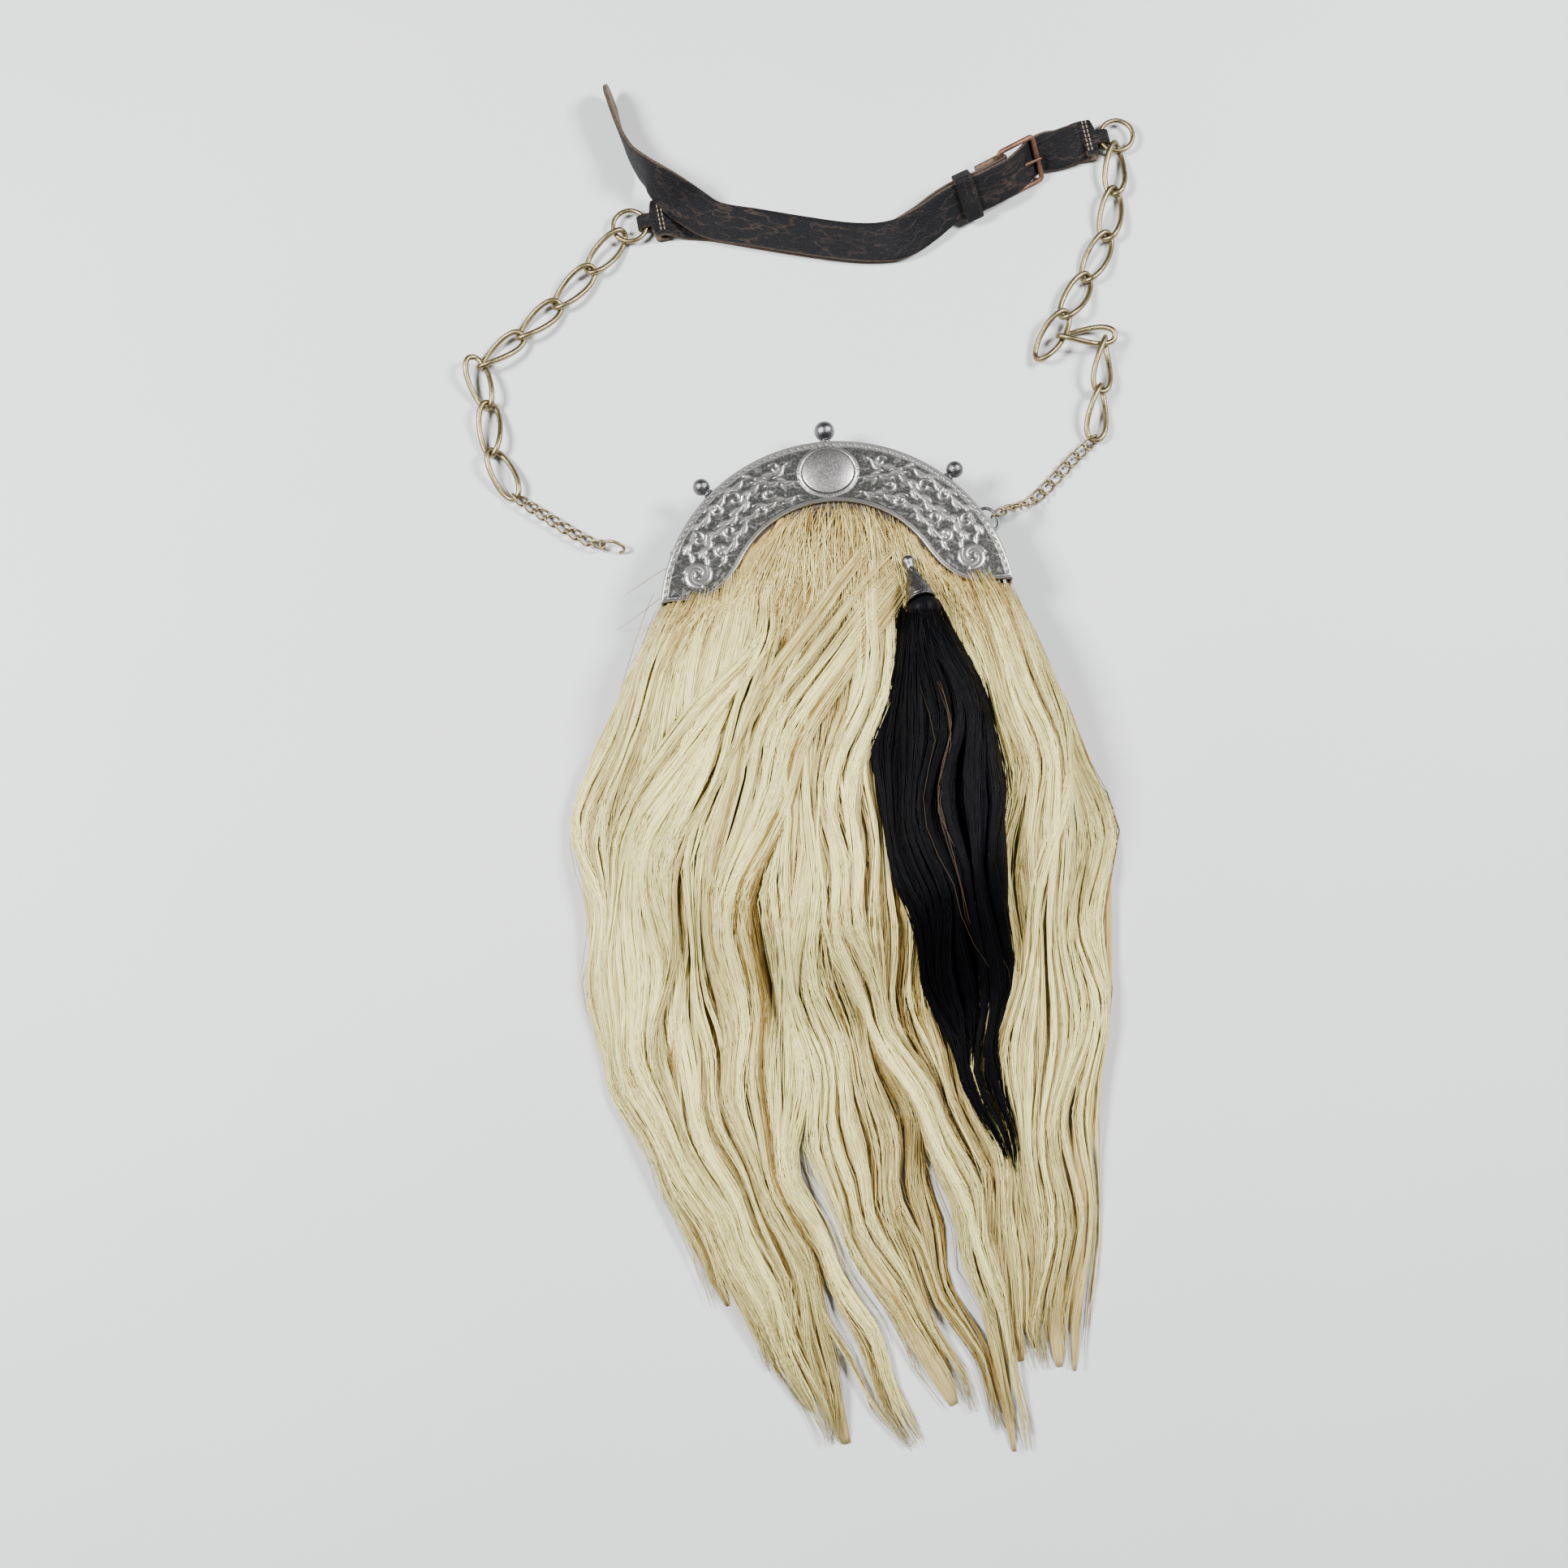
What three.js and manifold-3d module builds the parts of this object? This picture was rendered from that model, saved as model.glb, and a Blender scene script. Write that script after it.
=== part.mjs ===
// A horsehair dress sporran, laid on its back on a table: an arched cast cantle over a leather
// pouch, long cream hair with one black tassel, and a belt of two chains and a buckled strap.
// Millimetres, +Z up. The origin is on the table, in the middle of the pouch's back flap.
// +Y points to the crown of the cantle, +X to the side that the chain is fixed to.

import * as THREE from 'three';
import Module from 'manifold-3d';
import { mergeVertices } from 'three/addons/utils/BufferGeometryUtils.js';

const wasm = await Module();
wasm.setup();

// Driving dimensions of the whole
const FIT_GAP = 0.3; // clearance between pieces that touch

// Cantle: a flat arch with a wall behind its round edge
const CANTLE_WIDTH = 168; // across the two lower corners
const CANTLE_HEIGHT = 75.5; // from the corners to the crown
const CANTLE_FOOT_Y = 55.5; // height of the lower corners over the origin
const CANTLE_PLATE = 1.4; // plate thickness
const CANTLE_WALL = 1.4; // thickness of the wall behind the edge
const CANTLE_DEPTH = 13; // how far the wall goes back
const ARCH_HEIGHT = 44.5; // from the foot line to the top of the inner arch
const ARCH_RADIUS = 50.4; // of the inner arch
const FOOT_WIDTH = 16; // flat lower end of each leg
const FLARE_ANGLE = 30; // degrees above level where the arch starts to flare
const RIM_WIDTH = 2.2; // raised border
const RIM_HEIGHT = 0.8;
const RELIEF_HEIGHT = 0.7; // cast scrolls and leaves
const MEDALLION_WIDTH = 25; // blank oval boss at the crown
const MEDALLION_HEIGHT = 22;
const MEDALLION_RISE = 1.2;
const FINIAL_BALL = 10; // diameter of the crown ball
const SIDE_BALL = 8.4; // diameter of the two side balls
const FINIAL_NECK = 3.2; // neck diameter
const FINIAL_REACH = 4; // neck length
const SIDE_FINIAL_ANGLE = 42; // degrees from the crown, round the outer arc
const LOOP_ANGLE = 29; // degrees above level, where the side loops are fixed
const LOOP_WIRE = 1.8; // diameter
const LOOP_REACH = 7; // how far a side loop stands out
const LOOP_SPAN = 12; // between the two ends of a side loop

// Pouch
const POUCH_DEPTH = 22; // back to front
const POUCH_DROP = 105; // from the origin down to the bottom of the bag
const POUCH_WALL = 2; // leather
const POUCH_EDGE = 7; // rounding of its edges
const POUCH_CLEARANCE = 1.6; // between the bag and the cantle's wall
const MOUTH_WIDTH = 96; // slit in the back of the bag
const MOUTH_HEIGHT = 28;
const MOUTH_Y = 40; // middle of the slit
const FLAP_WIDTH = 116;
const FLAP_HEIGHT = 104;
const FLAP_TOP_Y = 84;
const FLAP_THICKNESS = 2;

// Hair and tassel
const HAIR_LENGTH = 443; // from the top of the arch to the longest tips
const HAIR_DEPTH = 9; // thickness of one lock where it is fullest
const HIDE_THICKNESS = 3; // skin that the hair grows from
const CONE_LENGTH = 24; // metal cone over the tassel
const CONE_MOUTH = 15; // its wide end
const CONE_NECK = 4.4; // its narrow end
const CONE_KNOB = 6.4;
const TASSEL_LENGTH = 268;

// Chains
const LINK_LENGTH = 31; // large link, outside
const LINK_WIDTH = 13.5;
const LINK_WIRE = 2.8;
const LINK_TWIST = 40; // degrees that each end is turned from the middle
const FINE_LENGTH = 9.4; // small link, outside
const FINE_WIDTH = 6.8;
const FINE_WIRE = 1.3;
const FINE_TWIST = 42;
const HOOK_LENGTH = 14;
const HOOK_WIDTH = 9;
const HOOK_WIRE = 1.7;
const RING_DIAMETER = 19.4; // ring at each end of the strap, outside
const RING_WIRE = 2.4;

// Straps and buckle
const STRAP_SPAN = 254; // between the centres of the two rings
const STRAP_HEADING = 187.1; // degrees, from the right ring to the left one
const STRAP_WIDTH = 20;
const STRAP_THICKNESS = 2;
const TONGUE_WIDTH = 7; // strap end that passes through a ring
const RING_RETURN = 9; // length of leather turned back behind a ring
const FOLD_RETURN = 13; // length of leather turned back behind the buckle's bar
const BUCKLE_LENGTH = 22; // along the strap, outside
const BUCKLE_BAR = 2.6; // diameter
const BUCKLE_CLEARANCE = 0.7; // between a strap edge and the frame
const PRONG_WIRE = 1.7;
const KEEPER_WIDTH = 9;
const KEEPER_WALL = 1.4;

// Smoothness
const RING_STEPS = 16;
const LINK_STEPS = 10;
const FINE_STEPS = 10;
const WIRE_SIDES = 6;
const LINK_SIDES = 5;
const LINK_BLUNTNESS = 0.8; // exponent of the oval, 1 would be an ellipse

// Sizes worked out from the driving dimensions
const HALF_WIDTH = CANTLE_WIDTH / 2;
const OUTER_RADIUS = (HALF_WIDTH ** 2 + CANTLE_HEIGHT ** 2) / (2 * CANTLE_HEIGHT);
const OUTER_CENTRE_Y = CANTLE_FOOT_Y + CANTLE_HEIGHT - OUTER_RADIUS;
const ARCH_TOP_Y = CANTLE_FOOT_Y + ARCH_HEIGHT;
const ARCH_CENTRE_Y = ARCH_TOP_Y - ARCH_RADIUS;
const CORNER_ANGLE = Math.asin((CANTLE_FOOT_Y - OUTER_CENTRE_Y) / OUTER_RADIUS);
const POUCH_BACK_Z = FLAP_THICKNESS + FIT_GAP;
const POUCH_TOP_Z = POUCH_BACK_Z + POUCH_DEPTH;
const HIDE_BACK_Z = POUCH_TOP_Z + FIT_GAP;
const HIDE_TOP_Z = HIDE_BACK_Z + HIDE_THICKNESS;
const PLATE_BACK_Z = HIDE_TOP_Z + FIT_GAP;
const PLATE_TOP_Z = PLATE_BACK_Z + CANTLE_PLATE;
const WALL_MIDDLE_Z = PLATE_BACK_Z - CANTLE_DEPTH / 2;
const POUCH_RADIUS = OUTER_RADIUS - CANTLE_WALL - POUCH_CLEARANCE;

// Finishes
const silver = new THREE.MeshStandardMaterial({ color: 0x9a9a9c, roughness: 0.38, metalness: 1 });
const darkSilver = new THREE.MeshStandardMaterial({ color: 0x55565a, roughness: 0.35, metalness: 1 });
const brassy = new THREE.MeshStandardMaterial({ color: 0xa9a582, roughness: 0.34, metalness: 1 });
const bronze = new THREE.MeshStandardMaterial({ color: 0x7d4f33, roughness: 0.62, metalness: 0.7 });
const blackLeather = new THREE.MeshStandardMaterial({ color: 0x201f22, roughness: 0.6 });
const bagLeather = new THREE.MeshStandardMaterial({ color: 0x2b2521, roughness: 0.7 });
const creamHair = new THREE.MeshStandardMaterial({ color: 0xd8c79c, roughness: 0.7 });
const blackHair = new THREE.MeshStandardMaterial({ color: 0x14151a, roughness: 0.5 });

const radians = THREE.MathUtils.degToRad;

/** A manifold solid from any closed three.js geometry. */
function solid(geometry) {
  const bare = new THREE.BufferGeometry();
  bare.setAttribute('position', geometry.getAttribute('position'));
  bare.setIndex(geometry.getIndex());
  const merged = mergeVertices(bare, 1e-4);
  const mesh = new wasm.Mesh({
    numProp: 3,
    vertProperties: new Float32Array(merged.getAttribute('position').array),
    triVerts: new Uint32Array(merged.getIndex().array),
  });
  mesh.merge();
  return new wasm.Manifold(mesh);
}

/** A three.js geometry from a manifold solid. */
function geometryOf(body) {
  const mesh = body.getMesh();
  const geometry = new THREE.BufferGeometry();
  geometry.setAttribute('position', new THREE.BufferAttribute(mesh.vertProperties, 3));
  geometry.setIndex(new THREE.BufferAttribute(mesh.triVerts, 1));
  geometry.computeVertexNormals();
  return geometry;
}

/** A named mesh from a geometry. */
function piece(name, geometry, material) {
  const mesh = new THREE.Mesh(geometry, material);
  mesh.name = name;
  return mesh;
}

/** All the bodies joined into one. */
function join(bodies) {
  return bodies.reduce((whole, body) => whole.add(body));
}

/** An outline moved inwards by a distance, corner by corner; it runs anticlockwise. */
function insetOutline(points, distance) {
  return points.map((point, index) => {
    const before = points[(index + points.length - 1) % points.length];
    const after = points[(index + 1) % points.length];
    const first = point.clone().sub(before).normalize();
    const second = after.clone().sub(point).normalize();
    const inward = new THREE.Vector2(-first.y - second.y, first.x + second.x).normalize();
    const stretch = Math.max(0.5, inward.x * -first.y + inward.y * first.x);
    return point.clone().addScaledVector(inward, distance / stretch);
  });
}

/** A flat outline, with an optional hole, raised from one height to another. */
function slab(outline, fromZ, toZ, hole = null) {
  const shape = new THREE.Shape(outline);
  if (hole) {
    shape.holes.push(new THREE.Path(hole));
  }
  const geometry = new THREE.ExtrudeGeometry(shape, { depth: toZ - fromZ, bevelEnabled: false });
  geometry.translate(0, 0, fromZ);
  return geometry;
}

/** A closed body through rings of points, each ring with the same count, capped at both ends. */
function loft(rings) {
  const count = rings[0].length;
  const positions = [];
  const index = [];
  rings.flat().forEach((point) => positions.push(point.x, point.y, point.z));
  for (let ring = 0; ring < rings.length - 1; ring += 1) {
    for (let side = 0; side < count; side += 1) {
      const next = (side + 1) % count;
      const a = ring * count + side;
      const b = ring * count + next;
      index.push(a, b, b + count, a, b + count, a + count);
    }
  }
  const last = (rings.length - 1) * count;
  for (let side = 1; side < count - 1; side += 1) {
    index.push(0, side + 1, side);
    index.push(last, last + side, last + side + 1);
  }
  const geometry = new THREE.BufferGeometry();
  geometry.setAttribute('position', new THREE.Float32BufferAttribute(positions, 3));
  geometry.setIndex(index);
  geometry.computeVertexNormals();
  return geometry;
}

/** A round section of a given radius as a closed shape. */
function roundSection(radius, sides) {
  const points = [];
  for (let side = 0; side < sides; side += 1) {
    const angle = (2 * Math.PI * side) / sides;
    points.push(new THREE.Vector2(radius * Math.cos(angle), radius * Math.sin(angle)));
  }
  return new THREE.Shape(points);
}

/** A bent wire with flat ends. */
function bentWire(curve, diameter, steps) {
  return new THREE.ExtrudeGeometry(roundSection(diameter / 2, WIRE_SIDES), {
    extrudePath: curve,
    steps,
    bevelEnabled: false,
  });
}

/** Points of a circle's arc, ends included, angles in radians. */
function arcPoints(centreY, radius, from, to, steps) {
  const points = [];
  for (let step = 0; step <= steps; step += 1) {
    const angle = from + ((to - from) * step) / steps;
    points.push(new THREE.Vector2(radius * Math.cos(angle), centreY + radius * Math.sin(angle)));
  }
  return points;
}

// Cantle

/** The flare from the inner arch to the flat foot, on the right, from the arch downwards. */
function flarePoints(steps) {
  const angle = radians(FLARE_ANGLE);
  const start = new THREE.Vector2(
    ARCH_RADIUS * Math.cos(angle),
    ARCH_CENTRE_Y + ARCH_RADIUS * Math.sin(angle),
  );
  const run = (start.y - CANTLE_FOOT_Y) / Math.cos(angle);
  const knee = new THREE.Vector2(start.x + run * Math.sin(angle), CANTLE_FOOT_Y);
  const end = new THREE.Vector2(HALF_WIDTH - FOOT_WIDTH, CANTLE_FOOT_Y);
  return new THREE.QuadraticBezierCurve(start, knee, end).getPoints(steps);
}

/** The cantle's outline, anticlockwise from the lower right corner. */
function cantleOutline() {
  const outer = arcPoints(OUTER_CENTRE_Y, OUTER_RADIUS, CORNER_ANGLE, Math.PI - CORNER_ANGLE, 24);
  const flare = flarePoints(4);
  const left = flare.map((point) => new THREE.Vector2(-point.x, point.y)).reverse();
  const from = Math.PI - radians(FLARE_ANGLE);
  const arch = arcPoints(ARCH_CENTRE_Y, ARCH_RADIUS, from, radians(FLARE_ANGLE), 14);
  return [...outer, ...left, ...arch.slice(1, -1), ...flare];
}

/** The wall behind the round edge, between two radii and two heights. */
function edgeBand(inside, outside, fromZ, toZ) {
  const from = CORNER_ANGLE;
  const to = Math.PI - CORNER_ANGLE;
  const outer = arcPoints(OUTER_CENTRE_Y, outside, from, to, 24);
  const inner = arcPoints(OUTER_CENTRE_Y, inside, to, from, 24);
  return slab([...outer, ...inner], fromZ, toZ);
}

// Relief of one half of the cantle. Place: degrees from the crown round the band, and how far
// across it from the arch (0) to the edge (1). Size: in band widths at the foot. Turn: degrees.
const CURLS = [
  { place: 72, across: 0.47, size: 0.2, turn: 20, sweep: 250 },
  { place: 72, across: 0.47, size: 0.2, turn: 140, sweep: 250 },
  { place: 72, across: 0.47, size: 0.2, turn: 260, sweep: 250 },
  { place: 57, across: 0.62, size: 0.13, turn: 60, sweep: 300 },
  { place: 48, across: 0.34, size: 0.13, turn: 230, sweep: 300 },
  { place: 37, across: 0.66, size: 0.12, turn: 40, sweep: 300 },
  { place: 27, across: 0.36, size: 0.1, turn: 200, sweep: 300 },
];
const LEAVES = [
  { place: 62, across: 0.3, size: 0.3, turn: 150 },
  { place: 52, across: 0.72, size: 0.26, turn: 60 },
  { place: 43, across: 0.5, size: 0.3, turn: 95 },
  { place: 33, across: 0.4, size: 0.26, turn: 130 },
];
const BAND_WIDTH = CANTLE_HEIGHT - ARCH_HEIGHT;

/** Centre of a relief motif on the right half of the band. */
function bandPlace(place, across) {
  const angle = Math.PI / 2 - radians(place);
  const inner = ARCH_TOP_Y - OUTER_CENTRE_Y;
  const radius = inner + (OUTER_RADIUS - inner) * across;
  return new THREE.Vector2(radius * Math.cos(angle), OUTER_CENTRE_Y + radius * Math.sin(angle));
}

/** A tapering curl that winds in on itself, as an outline. */
function curlOutline(row) {
  const centre = bandPlace(row.place, row.across);
  const outside = [];
  const inside = [];
  const steps = 6;
  for (let step = 0; step <= steps; step += 1) {
    const share = step / steps;
    const angle = radians(row.turn + row.sweep * share);
    const radius = BAND_WIDTH * row.size * (1 - 0.62 * share);
    const half = BAND_WIDTH * 0.034 * (1.15 - 0.5 * share);
    const way = new THREE.Vector2(Math.cos(angle), Math.sin(angle));
    outside.push(centre.clone().addScaledVector(way, radius + half));
    inside.push(centre.clone().addScaledVector(way, radius - half));
  }
  return [...outside, ...inside.reverse()];
}

/** A pointed leaf, as an outline. */
function leafOutline(row) {
  const centre = bandPlace(row.place, row.across);
  const length = BAND_WIDTH * row.size;
  const half = length * 0.22;
  const corners = [
    [-0.5, 0], [-0.2, -0.9], [0.2, -1], [0.6, 0], [0.2, 0.8], [-0.2, 0.6],
  ];
  const turn = radians(row.turn);
  return corners.map(([along, side]) => {
    const point = new THREE.Vector2(along * length, side * half);
    return point.rotateAround(new THREE.Vector2(), turn).add(centre);
  });
}

/** One raised motif and its mirror image. */
function mirroredRelief(outline) {
  const low = PLATE_TOP_Z - CANTLE_PLATE / 2;
  const high = PLATE_TOP_Z + RELIEF_HEIGHT;
  const mirrored = outline.map((point) => new THREE.Vector2(-point.x, point.y)).reverse();
  return [solid(slab(outline, low, high)), solid(slab(mirrored, low, high))];
}

const MEDALLION_Y = (ARCH_TOP_Y + CANTLE_FOOT_Y + CANTLE_HEIGHT) / 2;

/** An oval ring of points round the medallion's centre. */
function ovalPoints(halfWidth, halfHeight, steps) {
  const points = [];
  for (let step = 0; step < steps; step += 1) {
    const angle = (2 * Math.PI * step) / steps;
    points.push(new THREE.Vector2(halfWidth * Math.cos(angle), halfHeight * Math.sin(angle)));
  }
  return points.map((point) => point.add(new THREE.Vector2(0, MEDALLION_Y)));
}

/** The cast plate with its wall, borders, medallion seat and scrollwork. */
function makeCantle() {
  const outline = cantleOutline();
  const middle = PLATE_TOP_Z - CANTLE_PLATE / 2;
  const border = insetOutline(outline, RIM_WIDTH);
  const rimTop = PLATE_TOP_Z + RIM_HEIGHT;
  const seatX = MEDALLION_WIDTH / 2 + FIT_GAP;
  const seatY = MEDALLION_HEIGHT / 2 + FIT_GAP;
  const seatRim = RIM_WIDTH / 2;
  const collar = ovalPoints(seatX + seatRim, seatY + seatRim, 20);
  const opening = ovalPoints(seatX, seatY, 20);
  const parts = [
    solid(slab(outline, PLATE_BACK_Z, PLATE_TOP_Z)),
    solid(edgeBand(OUTER_RADIUS - CANTLE_WALL, OUTER_RADIUS, PLATE_BACK_Z - CANTLE_DEPTH, middle)),
    solid(slab(outline, middle, rimTop, border)),
    solid(slab(collar, middle, rimTop, opening)),
  ];
  CURLS.forEach((row) => parts.push(...mirroredRelief(curlOutline(row))));
  LEAVES.forEach((row) => parts.push(...mirroredRelief(leafOutline(row))));
  const seat = slab(opening, PLATE_TOP_Z, rimTop + MEDALLION_RISE);
  return join(parts).subtract(solid(seat));
}

/** The blank oval boss, a low dome in its seat. */
function makeMedallion() {
  const levels = [
    { size: 1, rise: 0 }, { size: 1, rise: 0.45 }, { size: 0.72, rise: 0.88 }, { size: 0.35, rise: 1 },
  ];
  const base = PLATE_TOP_Z + FIT_GAP;
  const rings = levels.map((level) => {
    const halfX = (MEDALLION_WIDTH / 2) * level.size;
    const halfY = (MEDALLION_HEIGHT / 2) * level.size;
    const height = base + MEDALLION_RISE * level.rise;
    return ovalPoints(halfX, halfY, 20).map((point) => new THREE.Vector3(point.x, point.y, height));
  });
  return loft(rings);
}

/** A ball on a necked stem, turned about its own axis, which is Y. */
function finialGeometry(ball) {
  const neck = FINIAL_NECK / 2;
  const radius = ball / 2;
  const profile = [
    new THREE.Vector2(0, 0),
    new THREE.Vector2(neck, 0),
    new THREE.Vector2(neck, FINIAL_REACH * 0.35),
    new THREE.Vector2(neck * 1.7, FINIAL_REACH * 0.45),
    new THREE.Vector2(neck * 1.7, FINIAL_REACH * 0.7),
    new THREE.Vector2(neck * 0.8, FINIAL_REACH * 0.8),
  ];
  const centre = FINIAL_REACH + radius * 0.8;
  [-50, -16, 18, 52].forEach((degrees) => {
    const angle = radians(degrees);
    profile.push(new THREE.Vector2(radius * Math.cos(angle), centre + radius * Math.sin(angle)));
  });
  profile.push(new THREE.Vector2(0, centre + radius));
  return new THREE.LatheGeometry(profile, 8);
}

/** Puts a piece made about Y against the cantle's round edge. */
function placeOnEdge(mesh, degreesFromCrown) {
  const angle = radians(degreesFromCrown);
  const reach = OUTER_RADIUS + FIT_GAP;
  const x = reach * Math.sin(angle);
  mesh.position.set(x, OUTER_CENTRE_Y + reach * Math.cos(angle), WALL_MIDDLE_Z);
  mesh.rotation.set(0, 0, -angle);
  return mesh;
}

/** A wire loop in the XY plane, both ends on the X axis, standing out along Y. */
function sideLoopGeometry() {
  const half = LOOP_SPAN / 2;
  const reach = LOOP_REACH - LOOP_WIRE / 2;
  const sagitta = OUTER_RADIUS - Math.sqrt(OUTER_RADIUS ** 2 - (half + LOOP_WIRE) ** 2);
  const bend = new THREE.CatmullRomCurve3([
    new THREE.Vector3(-half, -sagitta + FIT_GAP, 0),
    new THREE.Vector3(-half, reach * 0.5, 0),
    new THREE.Vector3(-half * 0.55, reach * 0.93, 0),
    new THREE.Vector3(0, reach, 0),
    new THREE.Vector3(half * 0.55, reach * 0.93, 0),
    new THREE.Vector3(half, reach * 0.5, 0),
    new THREE.Vector3(half, -sagitta + FIT_GAP, 0),
  ]);
  return bentWire(bend, LOOP_WIRE, 8);
}

// Pouch

/** Outline of the bag, moved inwards by a distance. */
function pouchOutline(distance) {
  const steps = 10;
  const footY = CANTLE_FOOT_Y - CANTLE_DEPTH / 2;
  const start = Math.asin((footY - OUTER_CENTRE_Y) / POUCH_RADIUS);
  const top = arcPoints(OUTER_CENTRE_Y, POUCH_RADIUS, start, Math.PI - start, steps);
  const edge = top[top.length - 1];
  const left = new THREE.CubicBezierCurve(
    edge,
    new THREE.Vector2(edge.x * 0.98, -POUCH_DROP * 0.45),
    new THREE.Vector2(edge.x * 0.72, -POUCH_DROP),
    new THREE.Vector2(0, -POUCH_DROP),
  ).getPoints(6);
  const right = left.map((point) => new THREE.Vector2(-point.x, point.y)).reverse();
  const outline = [...top, ...left.slice(1), ...right.slice(1, -1)];
  return insetOutline(outline, distance);
}

/** A round-edged body of the bag's form, smaller all round by a distance. */
function pouchBlank(distance, roundness) {
  const edge = POUCH_EDGE - distance;
  const depth = POUCH_DEPTH - 2 * distance;
  const geometry = new THREE.ExtrudeGeometry(new THREE.Shape(pouchOutline(POUCH_EDGE)), {
    depth: depth - 2 * edge,
    bevelThickness: edge,
    bevelSize: edge,
    bevelSegments: roundness,
  });
  geometry.translate(0, 0, POUCH_BACK_Z + distance + edge);
  return solid(geometry);
}

/** The leather bag, hollow, with the slit that the hand goes through in its back. */
function makePouch() {
  const slit = new THREE.BoxGeometry(MOUTH_WIDTH, MOUTH_HEIGHT, POUCH_WALL * 3);
  slit.translate(0, MOUTH_Y, POUCH_BACK_Z + POUCH_WALL / 2);
  return pouchBlank(0, 2).subtract(pouchBlank(POUCH_WALL, 1)).subtract(solid(slit));
}

/** The flap over the slit, square at the top and round at the bottom. */
function makeFlap() {
  const half = FLAP_WIDTH / 2;
  const bottom = FLAP_TOP_Y - FLAP_HEIGHT;
  const shape = new THREE.Shape();
  const round = half * 0.8;
  shape.moveTo(-half * 0.72, FLAP_TOP_Y);
  shape.lineTo(-half, FLAP_TOP_Y - half * 0.5);
  shape.lineTo(-half, bottom + round);
  shape.quadraticCurveTo(-half, bottom, -half * 0.2, bottom);
  shape.lineTo(half * 0.2, bottom);
  shape.quadraticCurveTo(half, bottom, half, bottom + round);
  shape.lineTo(half, FLAP_TOP_Y - half * 0.5);
  shape.lineTo(half * 0.72, FLAP_TOP_Y);
  return new THREE.ExtrudeGeometry(shape, {
    depth: FLAP_THICKNESS,
    curveSegments: 5,
    bevelEnabled: false,
  });
}

// Hair. Root to tip: sideways place at five even steps down the lock, in half cantle widths.
// Top and reach: where the lock starts and ends, in hair lengths below the top of the arch.
// Width: in half cantle widths. Depth and lift over what it lies on: in hair depths.
const LOCKS = [
  { root: -0.84, shoulder: -1.4, middle: -1.46, lower: -1.34, tip: -1.1, top: 0.1, reach: 0.745,
    width: 0.2, depth: 0.8, lift: 0 },
  { root: -0.8, shoulder: -1.24, middle: -1.34, lower: -1.2, tip: -0.88, top: 0.1, reach: 0.837,
    width: 0.3, depth: 1, lift: 0.1 },
  { root: -0.7, shoulder: -1.16, middle: -1.24, lower: -1.02, tip: -0.62, top: 0.09, reach: 0.905,
    width: 0.32, depth: 1, lift: 0.2 },
  { root: -0.44, shoulder: -0.96, middle: -1.08, lower: -0.86, tip: -0.46, top: 0.04, reach: 0.946,
    width: 0.38, depth: 1, lift: 0.1 },
  { root: -0.2, shoulder: -0.72, middle: -0.9, lower: -0.72, tip: -0.3, top: 0.02, reach: 0.98,
    width: 0.36, depth: 1, lift: 0.2 },
  { root: 0.1, shoulder: -0.5, middle: -0.7, lower: -0.56, tip: -0.28, top: 0.02, reach: 0.98,
    width: 0.32, depth: 1, lift: 0.5 },
  { root: 0.1, shoulder: -0.22, middle: -0.24, lower: -0.12, tip: 0.3, top: 0.03, reach: 0.95,
    width: 0.52, depth: 0.9, lift: 0.1 },
  { root: 0.2, shoulder: 0.02, middle: 0.02, lower: 0.46, tip: 0.6, top: 0.03, reach: 0.999,
    width: 0.24, depth: 1, lift: 0.4 },
  { root: 0.36, shoulder: 0.26, middle: 0.26, lower: 0.5, tip: 0.68, top: 0.03, reach: 0.912,
    width: 0.42, depth: 0.8, lift: 0 },
  { root: 0.52, shoulder: 0.62, middle: 0.6, lower: 0.66, tip: 0.76, top: 0.06, reach: 0.9,
    width: 0.44, depth: 0.8, lift: 0 },
  { root: 0.74, shoulder: 1, middle: 0.96, lower: 0.9, tip: 0.88, top: 0.09, reach: 0.92,
    width: 0.4, depth: 1, lift: 0.1 },
  { root: 0.84, shoulder: 1.3, middle: 1.3, lower: 1.1, tip: 0.96, top: 0.1, reach: 0.925,
    width: 0.2, depth: 0.8, lift: 0 },
];
// The black tassel in the same columns; its locks lie on the cream hair.
const TASSEL_LOCKS = [
  { root: 0.42, shoulder: 0.38, middle: 0.34, lower: 0.44, tip: 0.7, top: 0.142, reach: 0.66,
    width: 0.2, depth: 0.9, lift: 1 },
  { root: 0.47, shoulder: 0.54, middle: 0.52, lower: 0.57, tip: 0.73, top: 0.142, reach: 0.69,
    width: 0.24, depth: 1.1, lift: 1 },
  { root: 0.5, shoulder: 0.7, middle: 0.72, lower: 0.7, tip: 0.76, top: 0.142, reach: 0.68,
    width: 0.2, depth: 0.9, lift: 1 },
];
const LOCK_STEPS = 6;
const LOCK_SIDES = 6;
const HIDE_GRIP = 1.2; // how deep a lock's back sinks into the hide that it grows from

/** Height of the back of the hair over a place: the hide's, falling to the table past the bag. */
function bedHeight(x, y) {
  const across = Math.abs(x) / POUCH_RADIUS;
  const down = Math.max(0, -y) / POUCH_DROP;
  const reach = Math.cbrt(across ** 3 + down ** 3);
  const fall = THREE.MathUtils.smoothstep(reach, 0.92, 1.4);
  return THREE.MathUtils.lerp(HIDE_TOP_Z - HIDE_GRIP, FIT_GAP / 2, fall);
}

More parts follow.
